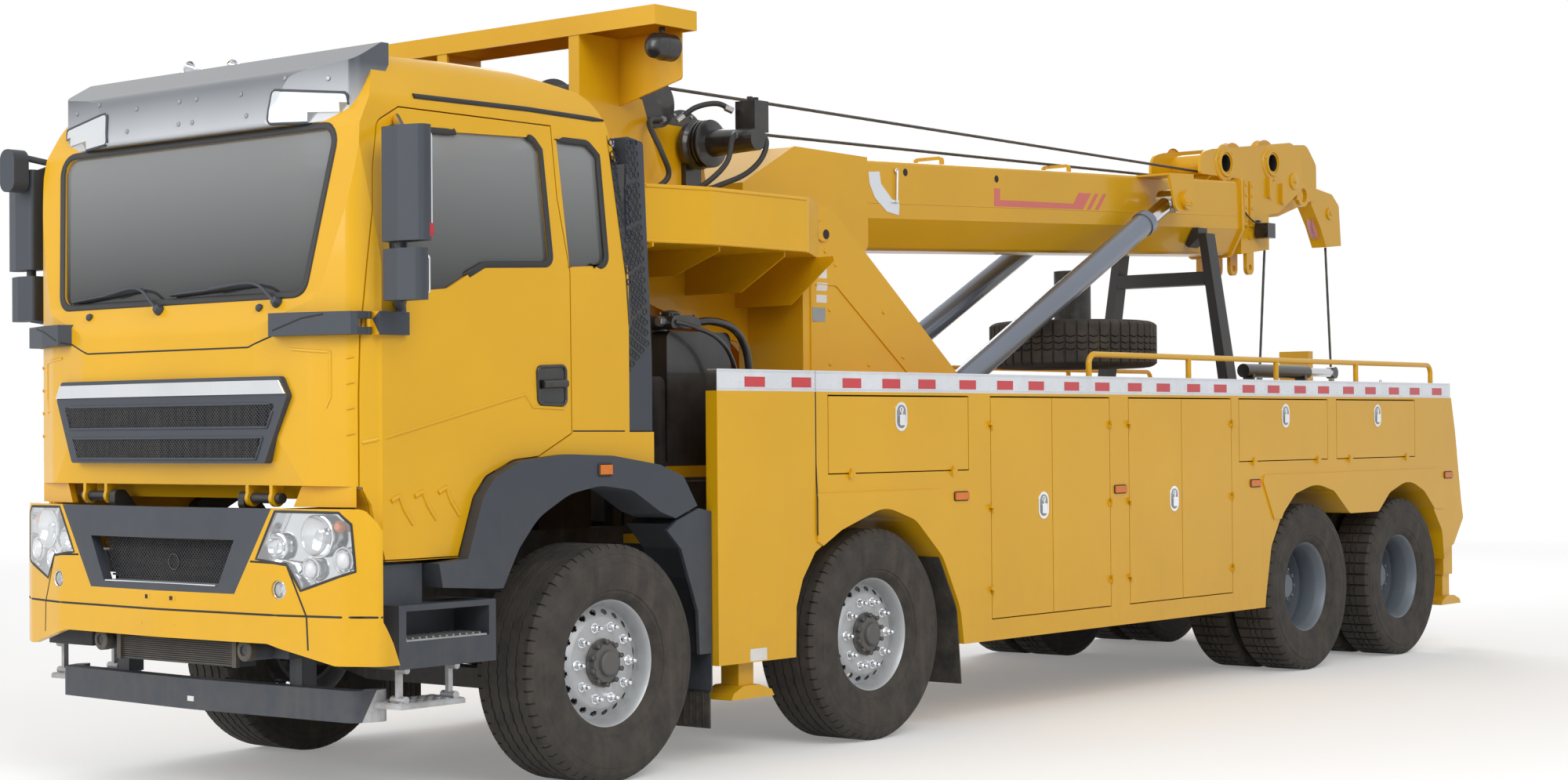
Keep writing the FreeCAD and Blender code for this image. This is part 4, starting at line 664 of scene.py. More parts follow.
GROUPS = {"weathering": weathering_group(), "grain": grain_group(), "weave": weave_group()}
Colour = tuple[float, float, float]
ROAD_DUST: Colour = (0.21, 0.175, 0.13)


@dataclass(frozen=True)
class Finish:
    """One surface: its colour, gloss, dust and grain.

    Lengths in top are metres above the ground, and grain_scale is in
    features per metre.
    """

    name: str
    color: Colour
    roughness: float = 0.4
    metallic: float = 0.0
    coat: float = 0.0
    gloss: float = 0.5
    dust: float = 0.25
    dust_color: Colour = ROAD_DUST
    top: float = 1.1
    mottle: float = 0.05
    grain: float = 0.15
    grain_depth: float = 0.0006
    grain_scale: float = 320.0

    def material(self) -> bpy.types.Material:
        """Build the finish's material."""
        made = bpy.data.materials.new(self.name)
        made.use_nodes = True
        t = Tree(made.node_tree)
        surface = made.node_tree.nodes["Principled BSDF"]
        spot = t.add("TexCoord").outputs["Object"]
        weather = t.add("Group", {"node_tree": GROUPS["weathering"]}, Position=spot, Color=(*self.color, 1),
                        Dust_Color=(*self.dust_color, 1), Roughness=self.roughness, Amount=self.dust,
                        Top=self.top, Mottle=self.mottle)
        t.put(self.colour(t, spot, weather.outputs["Color"]), surface.inputs["Base Color"])
        t.put(weather.outputs["Roughness"], surface.inputs["Roughness"])
        surface.inputs["Metallic"].default_value = self.metallic
        surface.inputs["Coat Weight"].default_value = self.coat
        surface.inputs["Specular IOR Level"].default_value = self.gloss
        surface.inputs["Coat Roughness"].default_value = 0.06
        bump = t.add("Bump", None, Strength=self.grain, Distance=self.grain_depth,
                     Height=self.height(t, spot))
        t.put(bump.outputs[0], surface.inputs["Normal"])
        return made

    def colour(self, t: Tree, spot: bpy.types.NodeSocket, base: bpy.types.NodeSocket) -> bpy.types.NodeSocket:
        """Return the colour over the surface."""
        return base

    def height(self, t: Tree, spot: bpy.types.NodeSocket) -> bpy.types.NodeSocket:
        """Return the relief over the surface."""
        return t.add("Group", {"node_tree": GROUPS["grain"]}, Position=spot,
                     Scale=self.grain_scale).outputs[0]


@dataclass(frozen=True)
class Cloth(Finish):
    """A woven seat cover."""

    weave_scale: float = 260.0

    def height(self, t: Tree, spot: bpy.types.NodeSocket) -> bpy.types.NodeSocket:
        """Return the weave's relief."""
        return t.add("Group", {"node_tree": GROUPS["weave"]}, Position=spot,
                     Scale=self.weave_scale).outputs["Height"]


@dataclass(frozen=True)
class HeightGraded(Finish):
    """A surface whose colour changes with height: on the panes a painted reflection, dark ground below and
    pale sky above; on the visor pale at the foot and dark at the top.
    """

    high_color: Colour = (0.5, 0.5, 0.5)
    low_z: float = 2.0
    high_z: float = 3.0
    clear: float = 0.0

    def colour(self, t: Tree, spot: bpy.types.NodeSocket, base: bpy.types.NodeSocket) -> bpy.types.NodeSocket:
        """Return the colour, mixed by height."""
        height = t.add("SeparateXYZ", None, Vector=spot).outputs["Z"]
        share = t.between(height, self.low_z, self.high_z)
        mixed = t.add("Mix", {"data_type": "RGBA"})
        for socket, value in zip((mixed.inputs[0], mixed.inputs[6], mixed.inputs[7]),
                                 (share, base, (*self.high_color, 1))):
            t.put(value, socket)
        return mixed.outputs[2]

    def material(self) -> bpy.types.Material:
        """Build the material, see-through where clear says so."""
        made = super().material()
        surface = made.node_tree.nodes["Principled BSDF"]
        surface.inputs["Transmission Weight"].default_value = self.clear
        return made


@dataclass(frozen=True)
class Lens(Finish):
    """A thin moulded lamp lens: clear head on, glossy at a slant."""

    body: float = 0.14

    def material(self) -> bpy.types.Material:
        """Build the material with a see-through share that falls at a slant."""
        made = super().material()
        t = Tree(made.node_tree)
        surface = made.node_tree.nodes["Principled BSDF"]
        slant = t.add("LayerWeight", None, Blend=0.35).outputs["Facing"]
        t.put(t.between(slant, 0.0, 1.0, self.body, 0.75), surface.inputs["Alpha"])
        return made


FINISHES = (
    Finish("paint", (0.74, 0.398, 0.004), 0.34, coat=0.25, gloss=0.35, dust=0.16, top=1.0, mottle=0.035,
           grain=0.06, grain_scale=140),
    Finish("frame_black", (0.022, 0.022, 0.024), 0.45, dust=0.55, top=1.5, mottle=0.2, grain_scale=120),
    Finish("engine_grey", (0.1, 0.105, 0.11), 0.55, metallic=0.3, dust=0.5, top=2.0, grain=0.4,
           grain_scale=90),
    Finish("plastic", (0.038, 0.046, 0.06), 0.55, dust=0.24, top=1.3, mottle=0.08, grain=0.35,
           grain_scale=700),
    Finish("alloy", (0.72, 0.75, 0.79), 0.32, metallic=0.75, dust=0.1, top=3.0, grain=0.1),
    Finish("tread_plate", (0.45, 0.46, 0.48), 0.42, metallic=0.7, dust=0.6, top=2.0, mottle=0.15),
    Finish("dark_metal", (0.018, 0.019, 0.021), 0.28, metallic=0.2, coat=0.35, dust=0.12, top=4.5, grain=0.2),
    Finish("tyre", (0.034, 0.031, 0.028), 0.86, dust=0.55, top=3.0, dust_color=(0.115, 0.095, 0.075),
           mottle=0.2, grain=0.5, grain_scale=420),
    Finish("front_rim", (0.46, 0.48, 0.5), 0.42, metallic=0.45, dust=0.35, top=3.0,
           dust_color=(0.3, 0.27, 0.22), mottle=0.1),
    Finish("rear_rim", (0.17, 0.205, 0.25), 0.45, metallic=0.25, dust=0.35, top=3.0, mottle=0.1),
    Finish("chrome", (0.78, 0.8, 0.83), 0.09, metallic=1.0, dust=0.06, top=4.0, grain=0.02),
    Finish("steel", (0.3, 0.31, 0.32), 0.38, metallic=0.8, dust=0.25, top=4.0, mottle=0.15),
    Finish("wire_rope", (0.075, 0.072, 0.07), 0.5, metallic=0.6, dust=0.3, top=5.0, mottle=0.2),
    Finish("cylinder_steel", (0.165, 0.2, 0.265), 0.3, metallic=0.35, coat=0.5, dust=0.15, top=4.0),
    Finish("chrome_rod", (0.6, 0.62, 0.65), 0.12, metallic=1.0, dust=0.08, top=4.0, grain=0.03),
    # near black for dark joints; the boom's holes, the head tubes' bores and the bumper's holes also wear it
    # as painted shade
    Finish("seam", (0.02, 0.018, 0.016), 0.8, dust=0.2, top=1.0),
    Finish("rubber", (0.022, 0.022, 0.024), 0.62, dust=0.2, top=1.2, grain=0.2, grain_scale=500),
    Finish("mesh_black", (0.03, 0.031, 0.034), 0.5, dust=0.35, top=3.0, dust_color=(0.14, 0.12, 0.1)),
    Finish("fins", (0.085, 0.075, 0.066), 0.6, metallic=0.3, dust=0.6, top=3.0),
    Finish("red_sheeting", (0.6, 0.02, 0.035), 0.35, coat=0.4, dust=0.1, top=3.0, grain=0.25,
           grain_scale=900),
    Finish("stripe_red", (0.68, 0.14, 0.11), 0.4, coat=0.3, dust=0.05, top=0.2),
    Finish("blank_label", (0.78, 0.78, 0.76), 0.5, dust=0.2, top=4.0),
    Finish("sheave_red", (0.62, 0.3, 0.33), 0.45, dust=0.15, top=5.0),
    Finish("dash_plastic", (0.035, 0.036, 0.04), 0.6, dust=0.1, top=3.0, grain=0.4, grain_scale=900),
    Finish("lamp_silver", (0.66, 0.68, 0.7), 0.1, metallic=1.0, dust=0.05, top=0.5, grain=0.02),
    Finish("bulb", (0.85, 0.86, 0.88), 0.12, coat=0.6, dust=0.0),
    Finish("lamp_pale", (0.62, 0.65, 0.68), 0.16, coat=0.5, dust=0.05, top=0.5, grain=0.12, grain_scale=60),
    Finish("flap_rubber", (0.03, 0.028, 0.027), 0.85, dust=0.5, top=1.3, mottle=0.25, grain=0.9,
           grain_depth=0.002, grain_scale=90),
    Cloth("seat", (0.055, 0.057, 0.065), 0.9, dust=0.05, top=3.0, mottle=0.1, grain=0.7),
    HeightGraded("visor", (0.5, 0.52, 0.55), 0.28, coat=0.4, dust=0.05, top=0.5, high_color=(0.06, 0.072, 0.09),
          low_z=2.9, high_z=3.13),
    # painted reflection: the panes run from near black low down, where they mirror the dark ground, to pale
    # grey near the top, where they mirror the sky
    HeightGraded("glass", (0.016, 0.017, 0.018), 0.05, dust=0.0, grain=0.01, high_color=(0.34, 0.35, 0.355),
          low_z=2.1, high_z=2.88, clear=0.3),
    Lens("lamp_glass", (0.9, 0.92, 0.94), 0.04, dust=0.05, top=0.8, grain=0.02),
    Lens("amber_lens", (0.85, 0.22, 0.01), 0.12, dust=0.1, top=1.0, grain=0.3, grain_scale=250, body=0.8),
    Lens("red_lens", (0.55, 0.02, 0.03), 0.12, dust=0.1, top=1.0, grain=0.3, grain_scale=250, body=0.85),
)
SKINS: dict[str, bpy.types.Material] = {finish.name: finish.material() for finish in FINISHES}


@dataclass
class Studio:
    """The floor, the lights and the camera."""

    camera_at: tuple[float, float, float] = (12.218, 9.057, 1.584)
    yaw: float = 39.369
    pitch: float = -0.887
    roll: float = -0.463
    focal_px: float = 3242.4
    frame_px: float = 2000.0
    floor_half: float = 120.0
    floor_near: float = 7.0
    floor_far: float = 26.0
    aim_z: float = 1.4

    def camera(self) -> None:
        """Stand the camera where the photograph was taken from."""
        yaw, pitch, roll = (math.radians(a) for a in (self.yaw, self.pitch, self.roll))
        level = Vector((-math.cos(yaw), -math.sin(yaw), 0))
        right = level.cross(UP)
        ahead = level * math.cos(pitch) - UP * math.sin(pitch)
        up = UP * math.cos(pitch) + level * math.sin(pitch)
        across = right * math.cos(roll) + up * math.sin(roll)
        upward = up * math.cos(roll) - right * math.sin(roll)
        data = bpy.data.cameras.new("camera")
        data.sensor_width = 36.0
        data.lens = self.focal_px / self.frame_px * data.sensor_width
        data.clip_end = 400.0
        camera = bpy.data.objects.new("camera", data)
        bpy.context.scene.collection.objects.link(camera)
        turn = Matrix((across, upward, -ahead)).transposed().to_4x4()
        camera.matrix_world = Matrix.Translation(self.camera_at) @ turn
        bpy.context.scene.camera = camera

    def lamp(self, name: str, at: Sequence[float], size: float, power: float) -> None:
        """Hang a square soft light that faces the truck."""
        data = bpy.data.lights.new(name, "AREA")
        data.size, data.energy = size, power
        lamp = bpy.data.objects.new(name, data)
        bpy.context.scene.collection.objects.link(lamp)
        lamp.location = at
        lamp.rotation_euler = (UP * self.aim_z - Vector(at)).to_track_quat("-Z", "Y").to_euler()

    def world(self) -> None:
        """Give a pale sky, white to the camera and to reflections."""
        world = bpy.data.worlds.new("sky")
        world.use_nodes = True
        bpy.context.scene.world = world
        t = Tree(world.node_tree)
        background = world.node_tree.nodes["Background"]
        path = t.add("LightPath")
        seen = t.math("MAXIMUM", path.outputs["Is Camera Ray"], path.outputs["Is Transmission Ray"])
        seen = t.math("MAXIMUM", seen, t.math("MULTIPLY", path.outputs["Is Glossy Ray"], 0.9))
        t.put(t.between(seen, 0.0, 1.0, 0.52, 1.0), background.inputs["Strength"])
        background.inputs["Color"].default_value = (1, 1, 1, 1)

    def floor(self) -> None:
        """Lay the pale floor, which keeps the truck's shadow."""
        mesh = bpy.data.meshes.new("floor")
        half = self.floor_half
        mesh.from_pydata([(-half, -half, 0), (half, -half, 0), (half, half, 0), (-half, half, 0)], [],
                         [(0, 1, 2, 3)])
        floor = bpy.data.objects.new("floor", mesh)
        bpy.context.scene.collection.objects.link(floor)
        material = bpy.data.materials.new("floor")
        material.use_nodes = True
        t = Tree(material.node_tree)
        surface = material.node_tree.nodes["Principled BSDF"]
        surface.inputs["Roughness"].default_value = 0.9
        surface.inputs["Emission Color"].default_value = (1, 1, 1, 1)
        path = t.add("LightPath")
        seen = t.math("MAXIMUM", path.outputs["Is Camera Ray"], path.outputs["Is Glossy Ray"])
        reach = t.add("VectorMath", {"operation": "LENGTH"},
                      Vector=t.add("TexCoord").outputs["Object"]).outputs["Value"]
        far = t.between(reach, self.floor_near, self.floor_far, 0.22, 1.0)
        t.put(t.math("MULTIPLY", seen, far), surface.inputs["Emission Strength"])
        shade = t.between(reach, self.floor_near, self.floor_far, 0.82, 0.0)
        t.put(shade, surface.inputs["Base Color"])
        mesh.materials.append(material)

    def build(self) -> None:
        """Make the whole studio."""
        view = bpy.context.scene.view_settings
        view.view_transform = "Standard"
        self.camera()
        self.world()
        self.floor()
        self.lamp("key", (9.0, 13.0, 11.0), 9.0, 1250.0)
        self.lamp("front", (16.0, -3.0, 7.0), 8.0, 900.0)
        self.lamp("back", (-12.0, -8.0, 9.0), 8.0, 700.0)


def place_copy(mesh: bpy.types.Mesh, name: str, body: str, at: Sequence[float],
               turn: Matrix | None = None) -> bpy.types.Object:
    """Place a finished mesh at a point given from the front axle."""
    piece = bpy.data.objects.new(name, mesh)
    bpy.context.scene.collection.objects.link(piece)
    piece.matrix_world = Matrix.Translation(ORIGIN + Vector(at)) @ (turn or Matrix.Identity(4))
    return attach(piece, body)


@dataclass(frozen=True)
class Tread:
    """The pattern cut into a tyre: zigzag grooves and cross slots."""

    pitches: int = 60
    grooves: tuple[float, ...] = (-0.56, -0.19, 0.19, 0.56)
    groove_width: float = 0.011
    groove_depth: float = 0.013
    zigzag: float = 0.0035
    slot_depth: float = 0.01
    slot_half: float = 0.05
    blocks: bool = False

    def phases(self) -> list[tuple[float, bool]]:
        """Return the turn steps within a pitch, and whether each is in a slot."""
        h, wall = self.slot_half, 0.03
        return [(0.0, False), (0.5 - h - wall, False), (0.5 - h, True), (0.5 + h, True),
                (0.5 + h + wall, False)]


@dataclass
class Tyre:
    """One tyre about its own centre, its axle along Y."""

    width: float
    tread: Tread
    radius: float = 0.537
    bead: float = 0.2866
    shoulder: float = 0.8
    wall: tuple[Pair, ...] = ((0.2866, 0.72), (0.3, 0.8), (0.318, 0.885), (0.329, 0.893), (0.333, 0.925),
                              (0.346, 0.94), (0.372, 0.975), (0.405, 0.995), (0.432, 1.0), (0.455, 0.992),
                              (0.457, 0.999), (0.466, 0.996), (0.468, 0.986), (0.49, 0.965), (0.493, 0.973),
                              (0.5, 0.962), (0.503, 0.95), (0.517, 0.915))

    def rows(self) -> list[tuple[float, float, float, float]]:
        """Return the tread's rows as (radius, y, zigzag share, slot depth)."""
        half = self.width / 2.0
        edge = half * self.shoulder
        pattern = self.tread
        deep = pattern.slot_depth
        inner = deep if pattern.blocks else 0.0
        top = self.radius
        made = [(top - 0.005, -edge - 0.006, 0.0, deep), (top, -edge, 0.0, deep),
                (top, -edge + 0.022, 0.0, deep)]
        if not pattern.blocks:
            made.append((top, -edge + 0.026, 0.0, 0.0))
        w = pattern.groove_width / 2.0
        for share in pattern.grooves:
            y = share * edge
            made += [(top, y - w, 1.0, inner), (top - pattern.groove_depth, y - w * 0.5, 1.0, 0.0),
                     (top - pattern.groove_depth, y + w * 0.5, 1.0, 0.0), (top, y + w, 1.0, inner)]
        return made + [(r, -y, 0.0, d) for r, y, _, d in made[: 3 if pattern.blocks else 4][::-1]]

    def shape(self) -> Shape:
        """Return the tyre's mesh, closed from bead to bead."""
        shape = Shape()
        half = self.width / 2.0
        phases = self.tread.phases()
        steps = [(i + phase, phase, cut) for i in range(self.tread.pitches) for phase, cut in phases]
        rings = []
        for along, phase, cut in steps:
            turn = math.tau * along / self.tread.pitches
            swing = self.tread.zigzag * (1.0 - 4.0 * abs(phase - 0.5))
            ring = [(r, -share * half) for r, share in self.wall]
            ring += [(r - (d if cut else 0.0), y + swing * z) for r, y, z, d in self.rows()]
            ring += [(r, share * half) for r, share in self.wall[::-1]]
            rings.append([Vector((r * math.cos(turn), y, r * math.sin(turn))) for r, y in ring])
        shape.loft(rings, closed=True, capped=False, loop=True)
        return shape


def nut_shape(length: float, radius: float = 0.016) -> Shape:
    """Return a wheel nut with its washer and stud, pointing along Y."""
    shape = Shape()
    shape.lathe([(0, 0), (radius * 1.45, 0), (radius * 1.45, 0.004), (radius, 0.005)], CENTRE, sides=16)
    shape.prism(around(6, radius), Plane.SIDE, 0.004, 0.026)
    shape.lathe([(0.012, 0.025), (0.012, 0.03), (0.0095, 0.033), (0.0095, length), (0.007, length + 0.003),
                 (0, length + 0.003)], CENTRE, sides=12)
    return shape


def ring_places(count: int, radius: float, y: float, phase: float = 0.0) -> list[Matrix]:
    """Return places spaced round an axle, each turned to face outward."""
    places = []
    for k in range(count):
        turn = math.tau * (k + phase) / count
        at = Vector((radius * math.cos(turn), y, radius * math.sin(turn)))
        places.append(Matrix.Translation(at) @ Matrix.Rotation(-turn, 4, "Y"))
    return places


@dataclass
class Rim:
    """A disc wheel about its own centre, its outside toward +Y.

    Finishes in order: rim paint, nuts, hub and drum.
    """

    seat: float = 0.286
    flange: float = 0.299
    barrel: float = 0.257
    stud_ring: float = 0.1675
    studs: int = 10
    holes: int = 20
    sides: int = 160

    def band(self, shape: Shape, inner: float, outer: float) -> None:
        """Add the rim's band between two places along the axle."""
        lip = self.flange
        half = [(self.seat, outer - 0.014), (lip - 0.003, outer - 0.008), (lip, outer - 0.003),
                (lip - 0.003, outer + 0.002), (self.seat + 0.002, outer), (self.seat - 0.006, outer - 0.008),
                (0.272, outer - 0.026), (self.barrel + 0.003, outer - 0.058), (self.barrel, outer - 0.07)]
        other = [(r, inner + outer - y) for r, y in half[::-1]]
        shape.lathe(half + other, CENTRE, sides=96, closed=True)

    def open_hole(self, profile_step: int, turn_step: int) -> bool:
        """Say whether a face of the disc lies in a hand hole."""
        place = turn_step % (self.sides // self.holes)
        wide = {1: (3, 4), 2: (2, 3, 4, 5), 3: (2, 3, 4, 5), 4: (3, 4)}
        step = profile_step if profile_step < 6 else 15 - profile_step
        return place in wide.get(step, ())

    def disc(self, shape: Shape, face: float, dish: float) -> None:
        """Add the dished disc with its ring of hand holes.

        Args:
            shape: the shape that it is added to.
            face: where the stud ring's flat stands along the axle.
            dish: how far the disc's edge lies behind the flat.
        """
        edge = face - dish
        front = [(self.barrel + 0.002, edge - 0.006), (0.243, edge), (0.238, edge + dish * 0.1),
                 (0.231, edge + dish * 0.25), (0.223, edge + dish * 0.45), (0.217, edge + dish * 0.62),
                 (0.206, edge + dish * 0.92), (0.2, face)]
        front.append((0.105, face))
        back = [(r, y - 0.011) for r, y in front[::-1]]
        shape.lathe(front + back, CENTRE, sides=self.sides, skip=self.open_hole)

    def front(self, centre: float, outer: float) -> Shape:
        """Return a steered wheel's rim, hub and brake drum."""
        shape = Shape()
        inner = 2 * centre - outer
        face = outer - 0.04
        self.band(shape, inner, outer)
        self.disc(shape, face, 0.03)
        shape.finish = 1
        shape.stamp(self.finished(nut_shape(0.048), 1), ring_places(self.studs, self.stud_ring, face))
        shape.finish = 2
        shape.lathe([(0.108, face - 0.02), (0.108, face + 0.006), (0.092, face + 0.01), (0.086, face + 0.032),
                     (0.06, face + 0.036), (0.056, face + 0.052), (0.05, face + 0.057), (0, face + 0.059)],
                    CENTRE, sides=48)
        shape.stamp(self.finished(nut_shape(0.028, 0.011), 2),
                    ring_places(self.studs, 0.096, face + 0.008, 0.5))
        shape.lathe(rect(0.188, 0.206, inner + 0.02, face - 0.03), CENTRE, sides=40, closed=True)
        return shape

    def rear(self, near: float, far: float, reach: float) -> Shape:
        """Return a twin wheel's two rims, disc and hub."""
        shape = Shape()
        middle = (near + far) / 2.0
        for y in (near, far):
            self.band(shape, y - reach, y + reach)
        self.disc(shape, middle + 0.034, 0.016)
        shape.lathe(rect(self.barrel, self.barrel + 0.012, near + reach - 0.03, far - reach + 0.03), CENTRE,
                    sides=64, closed=True)
        face = middle + 0.034
        shape.stamp(self.finished(nut_shape(0.052), 1), ring_places(self.studs, self.stud_ring, face))
        shape.finish = 2
        shape.lathe([(0.128, face - 0.03), (0.128, face + 0.012), (0.116, face + 0.018),
                     (0.108, face + 0.078), (0.088, face + 0.092), (0.078, face + 0.096),
                     (0.074, face + 0.112), (0, face + 0.116)], CENTRE, sides=48)
        shape.stamp(self.finished(nut_shape(0.016, 0.009), 2), ring_places(8, 0.09, face + 0.09))
        shape.lathe(rect(0.188, 0.206, near - reach, middle - 0.01), CENTRE, sides=40, closed=True)
        return shape

    @staticmethod
    def finished(shape: Shape, number: int) -> Shape:
        """Give a whole shape one of the rim's finishes."""
        for f in shape.bm.faces:
            f.material_index = number
        return shape


@dataclass
class Wheels:
    """All eight wheels and the spare."""

    axles: tuple[float, ...] = (0.0, -1.95, -6.55, -7.9)
    height: float = 0.505
    steer_width: float = 0.378
    steer_y: float = 1.028
    drive_width: float = 0.3
    drive_y: tuple[float, float] = (0.74, 1.08)
    spare_at: tuple[float, float, float] = (-5.5, 0.1, 2.08)
    crease: float = 32.0
    rim_share: float = 0.36
    steer_tread: Tread = Tread()
    drive_tread: Tread = Tread(pitches=46, grooves=(-0.34, 0.0, 0.34), groove_width=0.009, groove_depth=0.014,
                               zigzag=0.006, slot_depth=0.013, slot_half=0.07, blocks=True)

    def tyres(self, width: float, tread: Tread, places: Sequence[float]) -> Shape:
        """Return one or two tyres side by side."""
        shape = Shape()
        one = Tyre(width, tread).shape()
        shape.stamp(one, [Matrix.Translation((0, y, 0)) for y in places])
        return shape

    def build(self) -> None:
        """Make the wheels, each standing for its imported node."""
        reach = self.steer_width * self.rim_share
        for side in (LEFT, RIGHT):
            name = SIDE_NAMES[side]
            tyres = self.tyres(self.steer_width, self.steer_tread, [self.steer_y])
            rim = Rim().front(self.steer_y, self.steer_y + reach)
            steer = (tyres.flip(side).mesh(f"steer_tyre_{name}", "tyre", self.crease),
                     rim.flip(side).mesh(f"steer_rim_{name}", "front_rim chrome engine_grey", self.crease))
            tyres = self.tyres(self.drive_width, self.drive_tread, self.drive_y)
            rim = Rim().rear(*self.drive_y, self.drive_width * self.rim_share)
            drive = (tyres.flip(side).mesh(f"drive_tyre_{name}", "tyre", self.crease),
                     rim.flip(side).mesh(f"drive_rim_{name}", "rear_rim steel rear_rim", self.crease))
            for i, x in enumerate(self.axles):
                body = f"wheel_{i + 1}_{name}"
                tyre, rim = steer if i < 2 else drive
                at = (x, 0, self.height)
                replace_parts(place_copy(tyre, body + "_tyre", body, at), body)
                place_copy(rim, body + "_rim", body, at)
        self.spare()

    def spare(self) -> None:
        """Lay the spare wheel flat on its stand."""
        flat = Matrix.Rotation(math.radians(90), 4, "X")
        tyre = self.tyres(self.drive_width, self.drive_tread, [0.0]).mesh("spare_tyre", "tyre", self.crease)
        rim = Shape()
        half = self.drive_width * self.rim_share
        Rim().band(rim, -half, half)
        Rim().disc(rim, 0.004, 0.012)
        rim.finish = 1
        rim.lathe([(0, -0.02), (0.14, -0.02), (0.14, 0.012), (0.05, 0.016), (0.05, 0.06), (0, 0.062)], CENTRE,
                  sides=40)
        rim.lathe(rect(0, 0.118, 0.02, 0.475), CENTRE, sides=40)
        disc = rim.mesh("spare_rim", "rear_rim frame_black", self.crease)
        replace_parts(place_copy(tyre, "spare_tyre", "chassis", self.spare_at, flat), "spare_wheel")
        place_copy(disc, "spare_rim", "chassis", self.spare_at, flat)


@dataclass
class CabFace:
    """The cab's front: windscreen seal, wipers, visor, chrome band and grille mesh."""

    windscreen: tuple = ((-0.843, 2.128, 0.07), (-0.962, 2.834, 0.08), (0.962, 2.834, 0.08),
                         (0.843, 2.128, 0.07))
    wipers: tuple = (((-0.754, 2.15), (-0.259, 2.19), (-0.097, 2.092)),
                     ((-0.04, 2.156), (0.535, 2.18), (0.698, 2.096)))
    nozzles: tuple[float, ...] = (-0.595, 0.592)
    hood_seam: tuple[Pair, ...] = ((-0.899, 2.024), (-0.561, 1.914), (0.561, 1.914), (0.899, 2.024))
    chrome: tuple[Pair, ...] = ((-0.8, 1.716), (0.8, 1.716), (0.765, 1.774), (-0.765, 1.774))
    strips: tuple = ((0.69, 1.578, 0.735, 1.676), (0.625, 1.446, 0.665, 1.536))
    slat_z: float = 1.557
    mesh_step: float = 0.017
    mesh_wire: float = 0.0032
    visor_bolts: tuple[Pair, ...] = ((0.878, 3.032), (0.366, 3.007), (0.418, 2.909), (0.06, 3.013),
                                     (0.048, 2.911), (0.65, 3.05))
    lens: tuple[Pair, ...] = ((0.56, 2.862), (0.985, 2.846), (0.975, 2.965), (0.58, 3.004))
    horns: tuple[Pair, ...] = ((-0.5, 1.02), (-0.34, 0.9))

    def build(self) -> None:
        """Make every piece of the cab's front."""
        shell, whole = Skin("cab_shell"), Skin("cab_shell", "cab_trim", "cab_glass")
        seal = Shape().bead(on_front(shell, self.windscreen, step=0.05), 0.034, 0.007, closed=True)
        seal.make("windscreen_seal", "cab", "rubber", "plastic", crease=60)
        self.seams(whole)
        self.wiper_gear(whole)
        self.visor(Skin("cab_trim"))
        self.grille(whole)
        self.air_horns(shell)

    def seams(self, skin: Skin) -> None:
        """Draw the front panel's gaps and creases."""
        gap = Shape().bead(on_front(skin, self.hood_seam, closed=False), 0.008, 0.0012)
        for side in (LEFT, RIGHT):
            gap.bead(on_front(skin, [(side * 0.899, 2.024), (side * 1.0, 2.04)], closed=False), 0.008, 0.0012)
        gap.make("front_panel_gap", "cab", "seam", crease=80)
        ridge = Shape()
        for side in (LEFT, RIGHT):
            line = [(side * 0.8, 1.9), (side * 0.985, 1.885), (side * 0.985, 1.7), (side * 0.965, 1.655)]
            ridge.bead(on_front(skin, line, closed=False), 0.014, 0.004)
            for i in range(4):
                z = 1.86 - 0.105 * i
                line = [(side * 1.055, z), (side * 1.105, z + 0.012), (side * 1.12, z - 0.03)]
                ridge.bead(on_front(skin, line, closed=False), 0.012, 0.006)
        ridge.make("front_panel_creases", "cab", "paint", "paint", crease=70)

    def wiper_gear(self, skin: Skin) -> None:
        """Park the two wipers under the windscreen."""
        gear = Shape()
        for near, far, pivot in self.wipers:
            places = on_front(skin, [near, far], closed=False, step=0.06)
            gear.bead([(p + n * 0.012, n) for p, n in places], 0.014, 0.02)
            foot, normal = skin.front(*pivot)
            gear.lathe([(0.024, -0.01), (0.024, 0.012), (0.016, 0.03), (0, 0.032)], foot, normal, 16)
            middle = places[len(places) // 2]
            reach = places[-1]
            gear.tube([foot + normal * 0.026, reach[0] + reach[1] * 0.04, middle[0] + middle[1] * 0.04],
                      0.007, 8)
        for y in self.nozzles:
            foot, normal = skin.front(y, 2.078)
            gear.lathe([(0.017, -0.01), (0.017, 0.01), (0.009, 0.018), (0, 0.019)], foot, normal, 14)
        gear.make("wipers", "cab", "plastic", "plastic")

    def visor(self, skin: Skin) -> None:
        """Bolt the visor down and set its end lamps in it."""
        bolts, lens = Shape(), Shape()
        places = [facing(skin.front(side * y, z)) for y, z in self.visor_bolts for side in (LEFT, RIGHT)]
        bolts.stamp(bolt_head(0.011, 0.006), places)
        bolts.make("visor_bolts", "cab", "steel", "alloy")
        frame = Shape()
        for side in (LEFT, RIGHT):
            corners = [(side * y, z) for y, z in self.lens]
            lens.patch(quad_on(skin.front, corners, 10, 3), 0.007)
            frame.bead(on_front(skin, [(*p, 0.02) for p in corners], step=0.04), 0.014, 0.009, closed=True)
        lens.make("visor_end_lamps", "cab", "lamp_pale", "lamp_glass")
        frame.make("visor_lamp_frames", "cab", "plastic", "plastic", crease=70)

    def grille(self, skin: Skin) -> None:
        """Lay the chrome band and the crossed mesh over the slats."""
        Shape().patch(quad_on(skin.front, self.chrome, 24, 3),
                      0.01).make("chrome_band", "cab", "chrome", edge=0.003)
        mesh, frame = Shape(), Shape()
        for foot, low, head, high in self.strips:
            mesh.diagonals(lambda y, z: self.slat_face(skin, y, z), foot, low, head, high, self.mesh_step,
                           self.mesh_wire)
            rim = [(-foot, low), (-head, high), (head, high), (foot, low)]
            places = [self.slat_face(skin, y, z) for y, z in spread(rim, 0.05, True)]
            frame.bead(places, 0.012, 0.006, closed=True)
        mesh.make("grille_mesh", "cab", "mesh_black", "plastic", crease=80)
        frame.make("grille_rims", "cab", "plastic", "plastic", crease=70)

